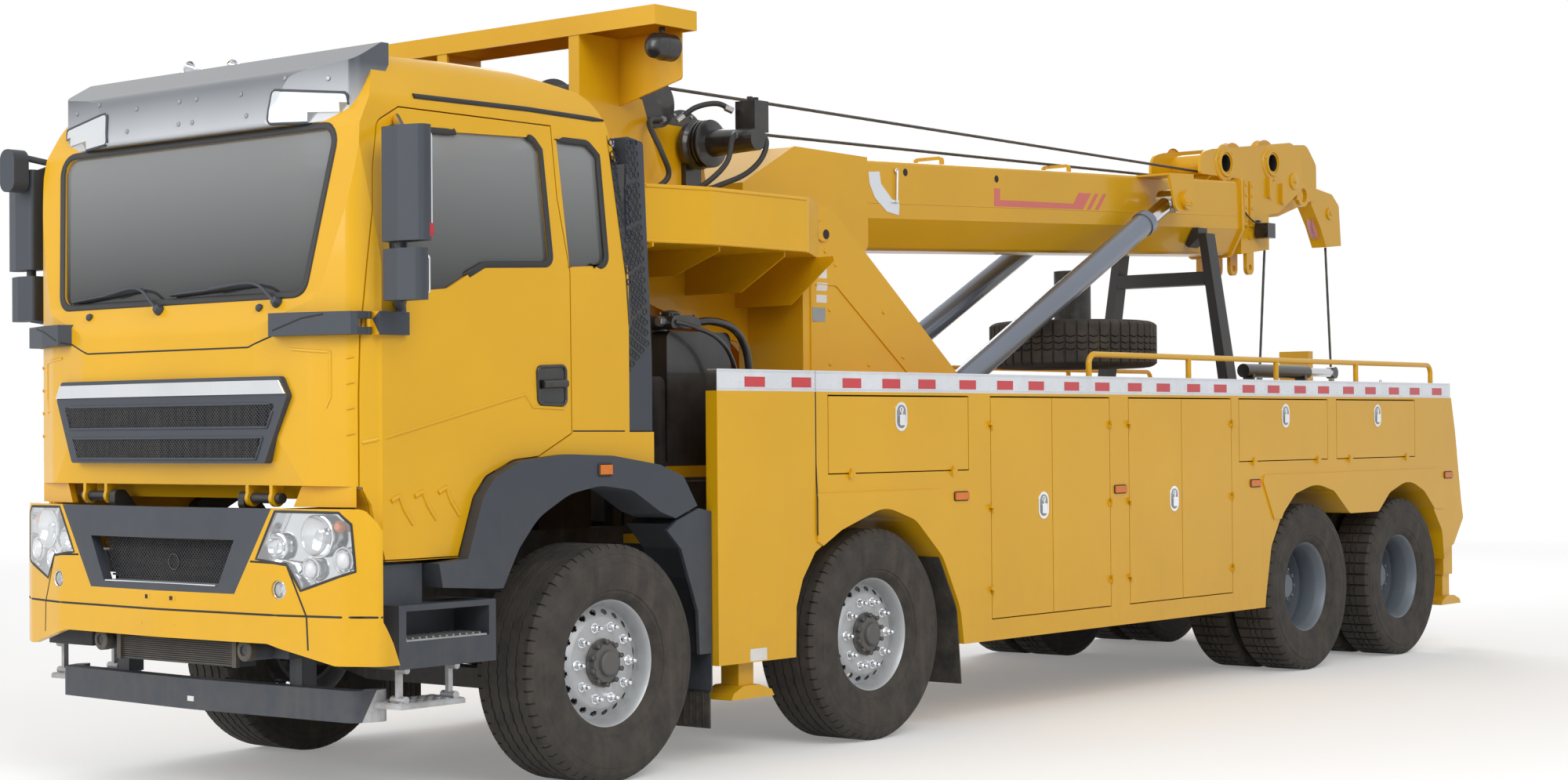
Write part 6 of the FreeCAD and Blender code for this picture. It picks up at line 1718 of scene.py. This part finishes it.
@dataclass
class Winches:
    """Rope windings, flange bolts, hoses and the two main ropes."""

    front: tuple[float, float, float] = (-1.13, 0.0, 3.2)
    rear: tuple[float, float, float] = (-1.54, 0.0, 3.03)
    wound: float = 0.152
    rope: float = 0.0095
    half: float = 0.246
    flange: float = 0.268
    bolt_ring: float = 0.172
    hoses: tuple = (((-1.59, 0.745, 3.08), (-1.61, 0.775, 3.02), (-1.572, 0.77, 2.929), (-1.474, 0.74, 2.845),
                     (-1.3, 0.7, 2.775), (-1.18, 0.66, 2.722)),
                    ((-1.46, 0.7, 3.06), (-1.38, 0.74, 3.01), (-1.33, 0.75, 2.9), (-1.23, 0.72, 2.8),
                     (-1.15, 0.62, 2.72)), ((-1.16, 0.478, 3.12), (-0.96, 0.56, 3.08), (-0.96, 0.64, 2.93),
                                            (-1.01, 0.64, 2.81), (-0.9, 0.6, 2.72)),
                    ((-1.5, 0.645, 3.18), (-1.43, 0.6, 3.215), (-1.33, 0.54, 3.19), (-1.26, 0.48, 3.12)))

    def build(self) -> None:
        """Make the windings, the drives' fittings and the ropes."""
        for body, centre in (("drum_front", self.front), ("drum_rear", self.rear)):
            self.winding(body, centre)
        self.fittings()
        self.main_rope("rope_upper", 0.105, (self.front[0] - 0.05, self.front[2] + self.wound + 0.006), 3.318)
        self.main_rope("rope_lower", -0.06, (self.rear[0] - 0.05, self.rear[2] + self.wound + 0.006), 3.29)

    def winding(self, body: str, centre: Sequence[float]) -> None:
        """Wind rope on a drum and bolt its flanges."""
        turns = int(self.half * 2 / (self.rope * 2))
        profile = []
        for i in range(turns):
            y = -self.half + (i + 0.5) * self.half * 2 / turns
            for k in (-1, 0, 1):
                profile.append((self.wound - self.rope * (0.7 if k else 0.0), y + k * self.rope * 0.75))
        wound = Shape().lathe([(0.11, -self.half)] + profile + [(0.11, self.half)], centre, ACROSS, 48)
        wound.make(f"winding_{body}", body, "wire_rope", "dark_metal", crease=180)
        bolts = Shape()
        for side in (LEFT, RIGHT):
            for u, v in around(16, self.bolt_ring):
                at = Vector(centre) + Vector((u, side * self.flange, v))
                bolts.stamp(bolt_head(0.01, 0.008), [facing((at, Vector((0, side, 0))))])
        bolts.make(f"flange_bolts_{body}", body, "steel", "dark_metal")

    def fittings(self) -> None:
        """Hang the hydraulic hoses with their bright fittings."""
        hoses = Shape()
        for route in self.hoses:
            hoses.tube(route, 0.014, 12)
        x, _, z = self.rear
        for dx in (-0.075, -0.03):
            hoses.rod((x + dx, 0.7, z + 0.198), (x + dx, 0.7, z + 0.225), 0.016, 6)
        hoses.finish = 1
        for route in self.hoses:
            for a, b in ((route[0], route[1]), (route[-1], route[-2])):
                start = Vector(a)
                hoses.rod(start, start + (Vector(b) - start).normalized() * 0.045, 0.018, 6)
        for u, v in around(8, 0.1):
            hoses.rod((x + u, 0.334, z + v), (x + u, 0.383, z + v), 0.01, 6)
        hoses.make("winch_hoses", "chassis", "rubber steel", "dark_metal")

    def strand(self, path: Sequence[Sequence[float]], name: str) -> Shape:
        """Return a laid wire rope of six strands along straight runs."""
        rope = Shape()
        ends = [Vector(p) for p in path]
        line: list[Vector] = []
        for a, b in zip(ends, ends[1:]):
            count = max(2, int((b - a).length / 0.06))
            line += [a.lerp(b, k / count) for k in range(count)]
        line.append(ends[-1])
        LOG.info("%s: %d points", name, len(line))
        for strand in range(6):
            route = []
            for i, point in enumerate(line):
                way = (line[min(i + 1, len(line) - 1)] - line[max(i - 1, 0)]).normalized()
                across = way.cross(ACROSS).normalized()
                up = way.cross(across)
                turn = math.tau * strand / 6 + i * math.tau / 12
                route.append(point + (across * math.cos(turn) + up * math.sin(turn)) * self.rope * 0.52)
            rope.tube(route, self.rope * 0.5, 5, smooth=False)
        return rope

    def main_rope(self, name: str, y: float, drum: Pair, head_z: float) -> None:
        """Run one rope from its drum over the boom to the head sheaves."""
        root = (-2.6, drum[1] + (head_z - drum[1]) * 0.18)
        first = self.strand([(drum[0], y, drum[1]), (root[0], y, root[1])], name)
        piece = first.make(f"{name}_root", None, "wire_rope", "dark_metal", crease=180)
        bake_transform(piece)
        second = self.strand([(root[0], y, root[1]), (-7.3, y, head_z), (-7.9, y * 1.2, 3.296)], name)
        piece = second.make(f"{name}_run", None, "wire_rope", "dark_metal", crease=180)
        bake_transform(piece)


@dataclass
class Boom:
    """Gauge, stripe, painted shade in the holes and head tubes, and the head's rings, lamp, sheave and
    hanging ropes.
    """

    side_y: float = 0.25
    gauge: tuple[Pair, ...] = ((-3.147, 3.018), (-3.251, 3.026), (-3.265, 2.958), (-3.363, 2.88),
                               (-3.441, 2.85), (-3.434, 2.786), (-3.319, 2.8), (-3.207, 2.872),
                               (-3.157, 2.951))
    pointer: tuple[Pair, Pair] = ((-3.406, 3.041), (-3.398, 2.863))
    holes: tuple[Pair, ...] = ((-3.503, 3.04), (-4.434, 3.068))
    stripe: tuple = (((-4.407, 3.011), (-4.471, 3.012), (-4.47, 2.942), (-5.292, 2.972), (-5.352, 3.045),
                      (-5.5, 3.051), (-5.4, 2.94), (-4.405, 2.898)),
                     ((-5.545, 3.052), (-5.59, 3.054), (-5.49, 2.945), (-5.445, 2.942)),
                     ((-5.64, 3.056), (-5.685, 3.058), (-5.585, 2.949), (-5.54, 2.947)))
    tubes: tuple[Pair, ...] = ((-7.301, 3.385), (-7.974, 3.437))
    plate_y: float = 0.205
    nose_pin: Pair = (-8.302, 3.329)

    def build(self) -> None:
        """Dress the boom and its head."""
        self.outer()
        self.head()
        self.swivel()
        self.hanging_ropes()

    def outer(self) -> None:
        """Set the angle gauge, dark discs painted as the shade in the holes, and the red stripe."""
        y = self.side_y
        gauge = Shape().prism(self.gauge, Plane.SIDE, y + 0.0002, y + 0.003)
        (x0, z0), (x1, z1) = self.pointer
        gauge.rod((x0, y + 0.016, z0), (x1, y + 0.016, z1), 0.007, 12)
        gauge.ring((x0, y + 0.01, z0), ACROSS, 0.011, 0.005, 16)
        gauge.rod((x1, y, z1), (x1, y + 0.024, z1), 0.012, 12)
        gauge.make("boom_gauge", "boom_outer", "alloy", "alloy", edge=0.0008)
        painted_shade, red, ridge = Shape(), Shape(), Shape()
        # painted shade: flat near-black discs on the surface stand in for the holes
        for x, z in self.holes:
            painted_shade.lathe([(0.022, -0.004), (0.022, 0.0012), (0, 0.0012)], (x, y, z), ACROSS, 20)
        for points in self.stripe:
            red.prism(points, Plane.SIDE, y - 0.001, y + 0.0008)
        ridge.bead([(Vector((x, y, 2.842 + (x + 3.14) * -0.042)), ACROSS) for x in (-3.15, -5.0, -7.4)],
                   0.008, 0.002)
        painted_shade.both_sides().make("boom_hole_shade", "boom_outer", "seam")
        red.both_sides().make("boom_stripes", "boom_outer", "stripe_red", "paint")
        ridge.both_sides().make("boom_weld_line", "boom_outer", "paint", "paint", crease=60)
        eye = Shape()
        eye.prism(rect(-6.31, -6.21, 3.005, 3.05, 0.012), Plane.SIDE, 0.519, 0.527)
        places = [facing((Vector((x, 0.527, 3.028)), ACROSS)) for x in (-6.29, -6.23)]
        eye.stamp(bolt_head(0.01, 0.008), places)
        eye.both_sides().make("lift_eye_keepers", "boom_outer", "paint", "paint", edge=0.001)

    def head(self) -> None:
        """Ring the head's tubes, paint shade in their bores, and add its straps, bolts and lamp."""
        y, nose = self.plate_y, self.nose_pin
        rings, painted_shade = Shape(), Shape()
        for x, z in self.tubes:
            rings.lathe([(0.076, -0.002), (0.076, 0.02), (0.094, 0.02), (0.098, 0.008), (0.128, 0.008),
                         (0.134, -0.002)], (x, y, z), ACROSS, 48)
            for u, v in around(3, 0.114, 0.15):
                at = Vector((x + u, y + 0.008, z + v))
                rings.stamp(bolt_head(0.01, 0.007), [facing((at, ACROSS))])
            # painted shade: a thin near-black sleeve lines each tube's bore
            painted_shade.lathe([(0.0615, 0.011), (0.0615, -0.4), (0.06, -0.4), (0.06, 0.011)], (x, y, z), ACROSS, 40,
                       closed=True)
        rings.lathe([(0.06, -0.002), (0.06, 0.01), (0.048, 0.014), (0, 0.014)], (nose[0], y, nose[1]), ACROSS,
                    32)
        rings.stamp(bolt_head(0.016, 0.012), [facing((Vector((nose[0], y + 0.014, nose[1])), ACROSS))])
        for x in (-7.575, -7.66):
            rings.box(x - 0.026, x + 0.026, y + 0.0002, y + 0.014, 2.96, 3.28)
            spots = [facing((Vector((x, y + 0.014, z)), ACROSS)) for z in (3.0, 3.09, 3.18, 3.25)]
            rings.stamp(bolt_head(0.012, 0.008), spots)
        rings.prism(rect(-7.9, -7.94, 3.18, 3.33, 0.01), Plane.SIDE, y, y + 0.024)
        rings.prism(rect(-8.09, -8.13, 3.15, 3.3, 0.01), Plane.SIDE, y, y + 0.024)
        rings.both_sides().make("head_rings", "boom_inner", "paint", "paint", edge=0.001)
        painted_shade.both_sides().make("head_tube_bore_shade", "boom_inner", "seam")
        lamp = Shape().box(-7.69, -7.8, y + 0.018, y + 0.12, 2.88, 2.985)
        lamp.box(-7.73, -7.76, y - 0.001, y + 0.03, 2.96, 3.01)
        lamp.rod((-7.69, y + 0.069, 2.932), (-7.68, y + 0.069, 2.932), 0.044, 28)
        lamp.tube([(-7.56, y + 0.01, 3.06), (-7.59, y + 0.03, 3.02), (-7.68, y + 0.04, 2.985),
                   (-7.74, y + 0.07, 2.984)], 0.006, 8)
        lamp.make("head_lamp", "boom_inner", "dark_metal", "plastic", edge=0.006)

    def swivel(self) -> None:
        """Show the red sheave in the swivel block."""
        groove = [(0.03, -0.022), (0.145, -0.022), (0.132, -0.006), (0.132, 0.006), (0.145, 0.022),
                  (0.03, 0.022)]
        Shape().lathe(groove, (-9.075, 0, 3.095), ACROSS, 48,
                      closed=True).make("swivel_sheave", "boom_inner", "sheave_red", "paint")
        pin = Shape().rod((-9.13, -0.074, 3.15), (-9.13, 0.074, 3.15), 0.044, 28)
        pin.rod((-9.13, -0.082, 3.15), (-9.13, 0.082, 3.15), 0.014, 6)
        pin.make("swivel_pin", "boom_inner", "paint", "paint")

    def hanging_ropes(self) -> None:
        """Hang the two rope ends with their hooks below the head."""
        for name, top, foot in (("rope_end_left", (-8.0, 0.13, 2.87), (-7.9, 0.13, 1.9)),
                                ("rope_end_swivel", (-9.18, 0.0, 2.9), (-9.255, 0.0, 1.9))):
            ends = Winches().strand([top, foot], name)
            ends.make(name, "boom_inner", "wire_rope", "dark_metal", crease=180)
            x, y, z = foot
            hook = Shape().lathe([(0, 0.06), (0.016, 0.06), (0.022, 0.02), (0.022, -0.03), (0.014, -0.046),
                                  (0, -0.046)], foot, UP, 20)
            hook.tube([(x, y, z - 0.03), (x + 0.008, y, z - 0.075), (x + 0.048, y, z - 0.105),
                       (x + 0.06, y, z - 0.155), (x + 0.02, y, z - 0.19), (x - 0.03, y, z - 0.175),
                       (x - 0.045, y, z - 0.135)], 0.014, 12)
            hook.make(f"{name}_hook", "boom_inner", "steel", "dark_metal")


@dataclass
class CabInside:
    """Seats, dashboard and steering wheel behind the dark panes."""

    seat_y: float = 0.56
    voxel: float = 0.007
    cap: float = 0.014
    pressure: float = 4.0
    frames: int = 20

    def build(self) -> None:
        """Make the whole inside."""
        pad = self.puffed(self.pad([(0.235, -0.215, 0.06), (0.735, -0.225, 0.08), (0.735, 0.225, 0.08),
                                    (0.235, 0.215, 0.06)], Plane.PLAN, 1.58, 1.675), "seat_pad")
        back = self.puffed(self.pad([(-0.205, 1.73, 0.06), (-0.22, 2.3, 0.1), (0.22, 2.3, 0.1),
                                     (0.205, 1.73, 0.06)], Plane.FRONT, 0.15, 0.25), "seat_back")
        head = self.puffed(self.pad([(-0.115, 2.33, 0.03), (-0.115, 2.41, 0.03), (0.115, 2.41, 0.03),
                                     (0.115, 2.33, 0.03)], Plane.FRONT, 0.15, 0.225), "head_rest")
        for side, name in SIDE_NAMES.items():
            for mesh, label in ((pad, "pad"), (back, "back"), (head, "rest")):
                piece = place_copy(mesh, f"seat_{label}_{name}", "cab", (0, side * self.seat_y, 0))
                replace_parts(piece, "cab_interior")
            self.seat_frame(side, name)
        self.dash()
        self.steering()

    def pad(self, points: Sequence[tuple], plane: Plane, low: float, high: float) -> Shape:
        """Return the starting form of a cushion."""
        return Shape().prism(points, plane, low, high)

    def puffed(self, shape: Shape, name: str) -> bpy.types.Mesh:
        """Blow a cushion up from its starting form.

        Args:
            shape: the starting form.
            name: the finished mesh's name.

        Returns:
            The crowned mesh with its cover material.
        """
        bmesh.ops.recalc_face_normals(shape.bm, faces=shape.bm.faces)
        rough = bpy.data.meshes.new(name + "_start")
        shape.bm.to_mesh(rough)
        shape.bm.free()
        holder = bpy.data.objects.new(name + "_start", rough)
        bpy.context.scene.collection.objects.link(holder)
        remesh = holder.modifiers.new("even", "REMESH")
        remesh.mode, remesh.voxel_size = "VOXEL", self.voxel
        mesh = bpy.data.meshes.new_from_object(holder.evaluated_get(bpy.context.evaluated_depsgraph_get()))
        holder.modifiers.clear()
        holder.data = mesh
        start = [v.co.copy() for v in mesh.vertices]
        self.swell(holder, start)
        bpy.data.objects.remove(holder)
        mesh.name = name
        for polygon in mesh.polygons:
            polygon.use_smooth = True
        mesh.materials.clear()
        mesh.materials.append(SKINS["seat"])
        return mesh

    def swell(self, holder: bpy.types.Object, start: Sequence[Vector]) -> None:
        """Run the cloth simulation on a cushion and keep its result in the mesh."""
        cloth = holder.modifiers.new("swell", "CLOTH")
        cloth.settings.use_pressure = True
        cloth.settings.uniform_pressure_force = self.pressure
        cloth.settings.effector_weights.gravity = 0.0
        cloth.point_cache.frame_end = self.frames
        scene = bpy.context.scene
        for step in range(1, self.frames + 1):
            scene.frame_set(step)
        swollen = holder.evaluated_get(bpy.context.evaluated_depsgraph_get()).to_mesh()
        moved = [v.co.copy() for v in swollen.vertices]
        scene.frame_set(1)
        holder.modifiers.clear()
        for v, place, end in zip(holder.data.vertices, start, moved):
            way = end - place
            v.co = place + way * min(1.0, self.cap / max(way.length, WELD))

    def seat_frame(self, side: float, name: str) -> None:
        """Stand one seat on its base."""
        y = side * self.seat_y
        frame = Shape().box(0.28, 0.68, y - 0.17, y + 0.17, 1.325, 1.38)
        frame.box(0.33, 0.64, y - 0.13, y + 0.13, 1.38, 1.5)
        frame.box(0.23, 0.73, y - 0.21, y + 0.21, 1.5, 1.565)
        frame.box(0.125, 0.146, y - 0.2, y + 0.2, 1.62, 2.3)
        for dy in (-0.06, 0.06):
            frame.rod((0.175, y + dy, 2.28), (0.175, y + dy, 2.35), 0.007, 10)
        for k in range(7):
            frame.ring((0.48, y, 1.395 + 0.016 * k), UP, 0.15, 0.008, 28)
        frame.make(f"seat_frame_{name}", "cab", "dash_plastic", "plastic", edge=0.006)

    def dash(self) -> None:
        """Make the dashboard with its binnacle and vents."""
        dash = Shape().prism([(1.42, 1.5, 0.02), (1.18, 1.56, 0.05), (1.09, 1.76, 0.06), (1.11, 1.96, 0.08),
                              (1.33, 2.04, 0.06), (1.43, 2.05, 0.02)], Plane.SIDE, -0.9, 0.9)
        dash.prism([(1.08, 1.9, 0.03), (1.09, 2.05, 0.05), (1.25, 2.08, 0.04), (1.3, 1.96, 0.02)], Plane.SIDE,
                   0.33, 0.8)
        for y in (-0.7, -0.2, 0.1):
            for k in range(5):
                dash.box(1.084, 1.096, y - 0.07, y + 0.07, 1.8 + 0.014 * k, 1.806 + 0.014 * k)
        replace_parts(dash.make("dashboard", "cab", "dash_plastic", "plastic", edge=0.006), "cab_interior")

    def steering(self) -> None:
        """Make the steering wheel and its column."""
        centre, axis = Vector((1.0, self.seat_y, 1.96)), Vector((-0.42, 0, 0.9)).normalized()
        wheel = Shape().ring(centre, axis, 0.225, 0.014, 56)
        across = axis.cross(ACROSS).normalized()
        wheel.lathe([(0, -0.03), (0.07, -0.03), (0.085, 0.0), (0.07, 0.02), (0, 0.026)], centre, axis, 32)
        for way in (ACROSS, -ACROSS, across, -across):
            wheel.rod(centre + way * 0.06, centre + way * 0.218, 0.012, 10)
        wheel.rod(centre - axis * 0.02, centre - axis * 0.3, 0.035, 20)
        wheel.make("steering_wheel", "cab", "dash_plastic", "plastic")


@dataclass
class RearGear:
    """Tail lamps, lift cylinders, reflectors and pins behind the truck."""

    cylinder_x: float = -8.715
    cylinder_y: float = 0.28
    pipe_y: float = 0.52
    deck_edge: float = -8.6415
    wall_x: float = -8.655
    hinge: Pair = (-8.93, 0.64)
    fork_x: float = -9.02

    def build(self) -> None:
        """Make every piece of the rear."""
        self.tail_lamps()
        self.sheeting()
        self.lift_cylinders()
        self.pins()

    def tail_lamps(self) -> None:
        """Set a cluster of three lamps on the rear wall of each side body."""
        house = Shape().box(-8.69, -8.768, 0.77, 1.162, 1.288, 1.402)
        house.both_sides().make("tail_lamp_houses", "chassis", "rubber", "plastic", edge=0.008)
        for colour, finish, low in (("clear", "lamp_pale", 0.782), ("amber", "amber_lens", 0.908),
                                    ("red", "red_lens", 1.034)):
            lens = Shape().box(-8.758, -8.777, low, low + 0.118, 1.3, 1.39)
            lens.both_sides().make(f"tail_lamp_{colour}", "chassis", finish, "lamp_glass", edge=0.006)

    def sheeting(self) -> None:
        """Lay red and white patches along the deck's rear edge."""
        for finish, first in (("red_sheeting", 0), ("blank_label", 1)):
            patches = Shape()
            for i in range(first, 6, 2):
                low = 0.17 + i * 0.085
                patches.box(self.deck_edge, self.deck_edge + 0.006, low, low + 0.081, 1.55, 1.59)
            patches.both_sides().make(f"tail_{finish}", "chassis", finish, "alloy")

    def lift_cylinders(self) -> None:
        """Stand the pair of cylinders that raise the underlift's post."""
        x, y = self.cylinder_x, self.cylinder_y
        barrels = Shape().rod((x, y, 0.6), (x, y, 1.18), 0.045, 28, 0.004)
        barrels.rod((x, y, 1.14), (x, y, 1.19), 0.052, 28, 0.003)
        barrels.box(self.wall_x, x - 0.03, y - 0.03, y + 0.03, 0.57, 0.63)
        barrels.box(self.wall_x, x, y - 0.05, y + 0.05, 1.05, 1.08)
        barrels.both_sides().make("raise_barrels", "chassis", "dark_metal", "cylinder_steel")
        rods = Shape().rod((x, y, 0.8), (x, y, 1.47), 0.026, 24)
        rods.both_sides().make("raise_rods", "underlift_post", "chrome_rod", "chrome_rod")
        brackets = Shape().box(x + 0.03, x - 0.03, 0.14, y + 0.036, 1.44, 1.49)
        brackets.both_sides().make("raise_brackets", "underlift_post", "paint", "paint", edge=0.004)
        hose_y = y + 0.065
        hoses = Shape().tube([(self.wall_x, hose_y, 1.42), (-8.7, hose_y, 1.38), (-8.705, hose_y, 1.1),
                              (-8.712, hose_y, 0.76), (x, y + 0.04, 0.65)], 0.011, 10)
        hoses.both_sides().make("raise_hoses", "chassis", "rubber", "dark_metal")

    def pins(self) -> None:
        """Add the hinge pin's caps and the fork sockets' locking pins."""
        x, z = self.hinge
        caps = Shape().rod((x, 0.158, z), (x, 0.17, z), 0.062, 28, 0.003)
        caps.rod((x, 0.168, z), (x, 0.182, z), 0.026, 6)
        caps.both_sides().make("underlift_pin_caps", "underlift_post", "steel", "dark_metal")
        locks = Shape().rod((self.fork_x, self.pipe_y, 1.812), (self.fork_x, self.pipe_y, 1.85), 0.011, 14)
        locks.ring((self.fork_x, self.pipe_y, 1.864), ACROSS, 0.017, 0.003)
        locks.both_sides().make("fork_lock_pins", "underlift_stinger", "steel", "dark_metal")


PLAIN_FINISH = "paint"
NODE_FINISH = {"chassis_frame": "frame_black", "axles": "frame_black", "engine_block": "engine_grey",
               "front_frame": "plastic", "side_rails": "alloy", "hydraulics": "dark_metal",
               "cab_glass": "glass", "cab_trim": "plastic", "cab_interior": "dash_plastic",
               "lift_barrels": "cylinder_steel", "lift_rods": "chrome_rod", "drum_front": "dark_metal",
               "drum_rear": "dark_metal", "headlamps": "lamp_glass"}
FAMILY_FINISH = {"door_glass": "glass", "knuckle": "frame_black"}


def finish_of(node: str) -> str:
    """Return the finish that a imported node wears."""
    if node in NODE_FINISH:
        return NODE_FINISH[node]
    return next((finish for start, finish in FAMILY_FINISH.items() if node.startswith(start)), PLAIN_FINISH)


def area_finishes(node: str) -> list[tuple[str, Callable[[Vector], bool]]]:
    """Return the parts of a node that wear another finish, as a test on a face's middle."""
    if node in ("door_left", "door_right"):
        return [("plastic", lambda c: abs(c.y) > 1.153 and c.x > 1.16 and c.z > 1.9 or c.x > 1.405
                 and c.z > 2.6)]
    if node == "cab_trim":
        return [("visor", lambda c: c.z > 2.8 and c.x > 0.9)]
    if node == "front_frame":
        return [("tread_plate", lambda c: c.z < 0.577 and abs(c.y) > 1.005 and 0.92 < c.x < 1.3)]
    if node == "chassis_frame":
        return [("tread_plate", lambda c: abs(c.z - 1.6) < 0.002)]
    if node == "hydraulics":
        return [("chrome_rod", lambda c: -8.255 < c.x < -7.905 and abs(c.y - 0.5) < 0.04)]
    return []


def dress_nodes() -> None:
    """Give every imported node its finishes."""
    for name, node in frame["nodes"].items():
        areas = area_finishes(name)
        node.data.materials.clear()
        for finish in [finish_of(name)] + [finish for finish, _ in areas]:
            node.data.materials.append(SKINS[finish])
        for polygon in node.data.polygons:
            middle = polygon.center - ORIGIN
            polygon.material_index = next((i + 1 for i, (_, inside) in enumerate(areas) if inside(middle)), 0)


def main() -> None:
    """Build the studio and every sub-assembly in order."""
    logging.basicConfig(level=logging.INFO, format="%(message)s")
    dress_nodes()
    Studio().build()
    Wheels().build()
    CabFace().build()
    CabSides().build()
    FrontGear().build()
    SideBody().build()
    Mast().build()
    Winches().build()
    Boom().build()
    CabInside().build()
    RearGear().build()


if __name__ == "__main__":
    main()
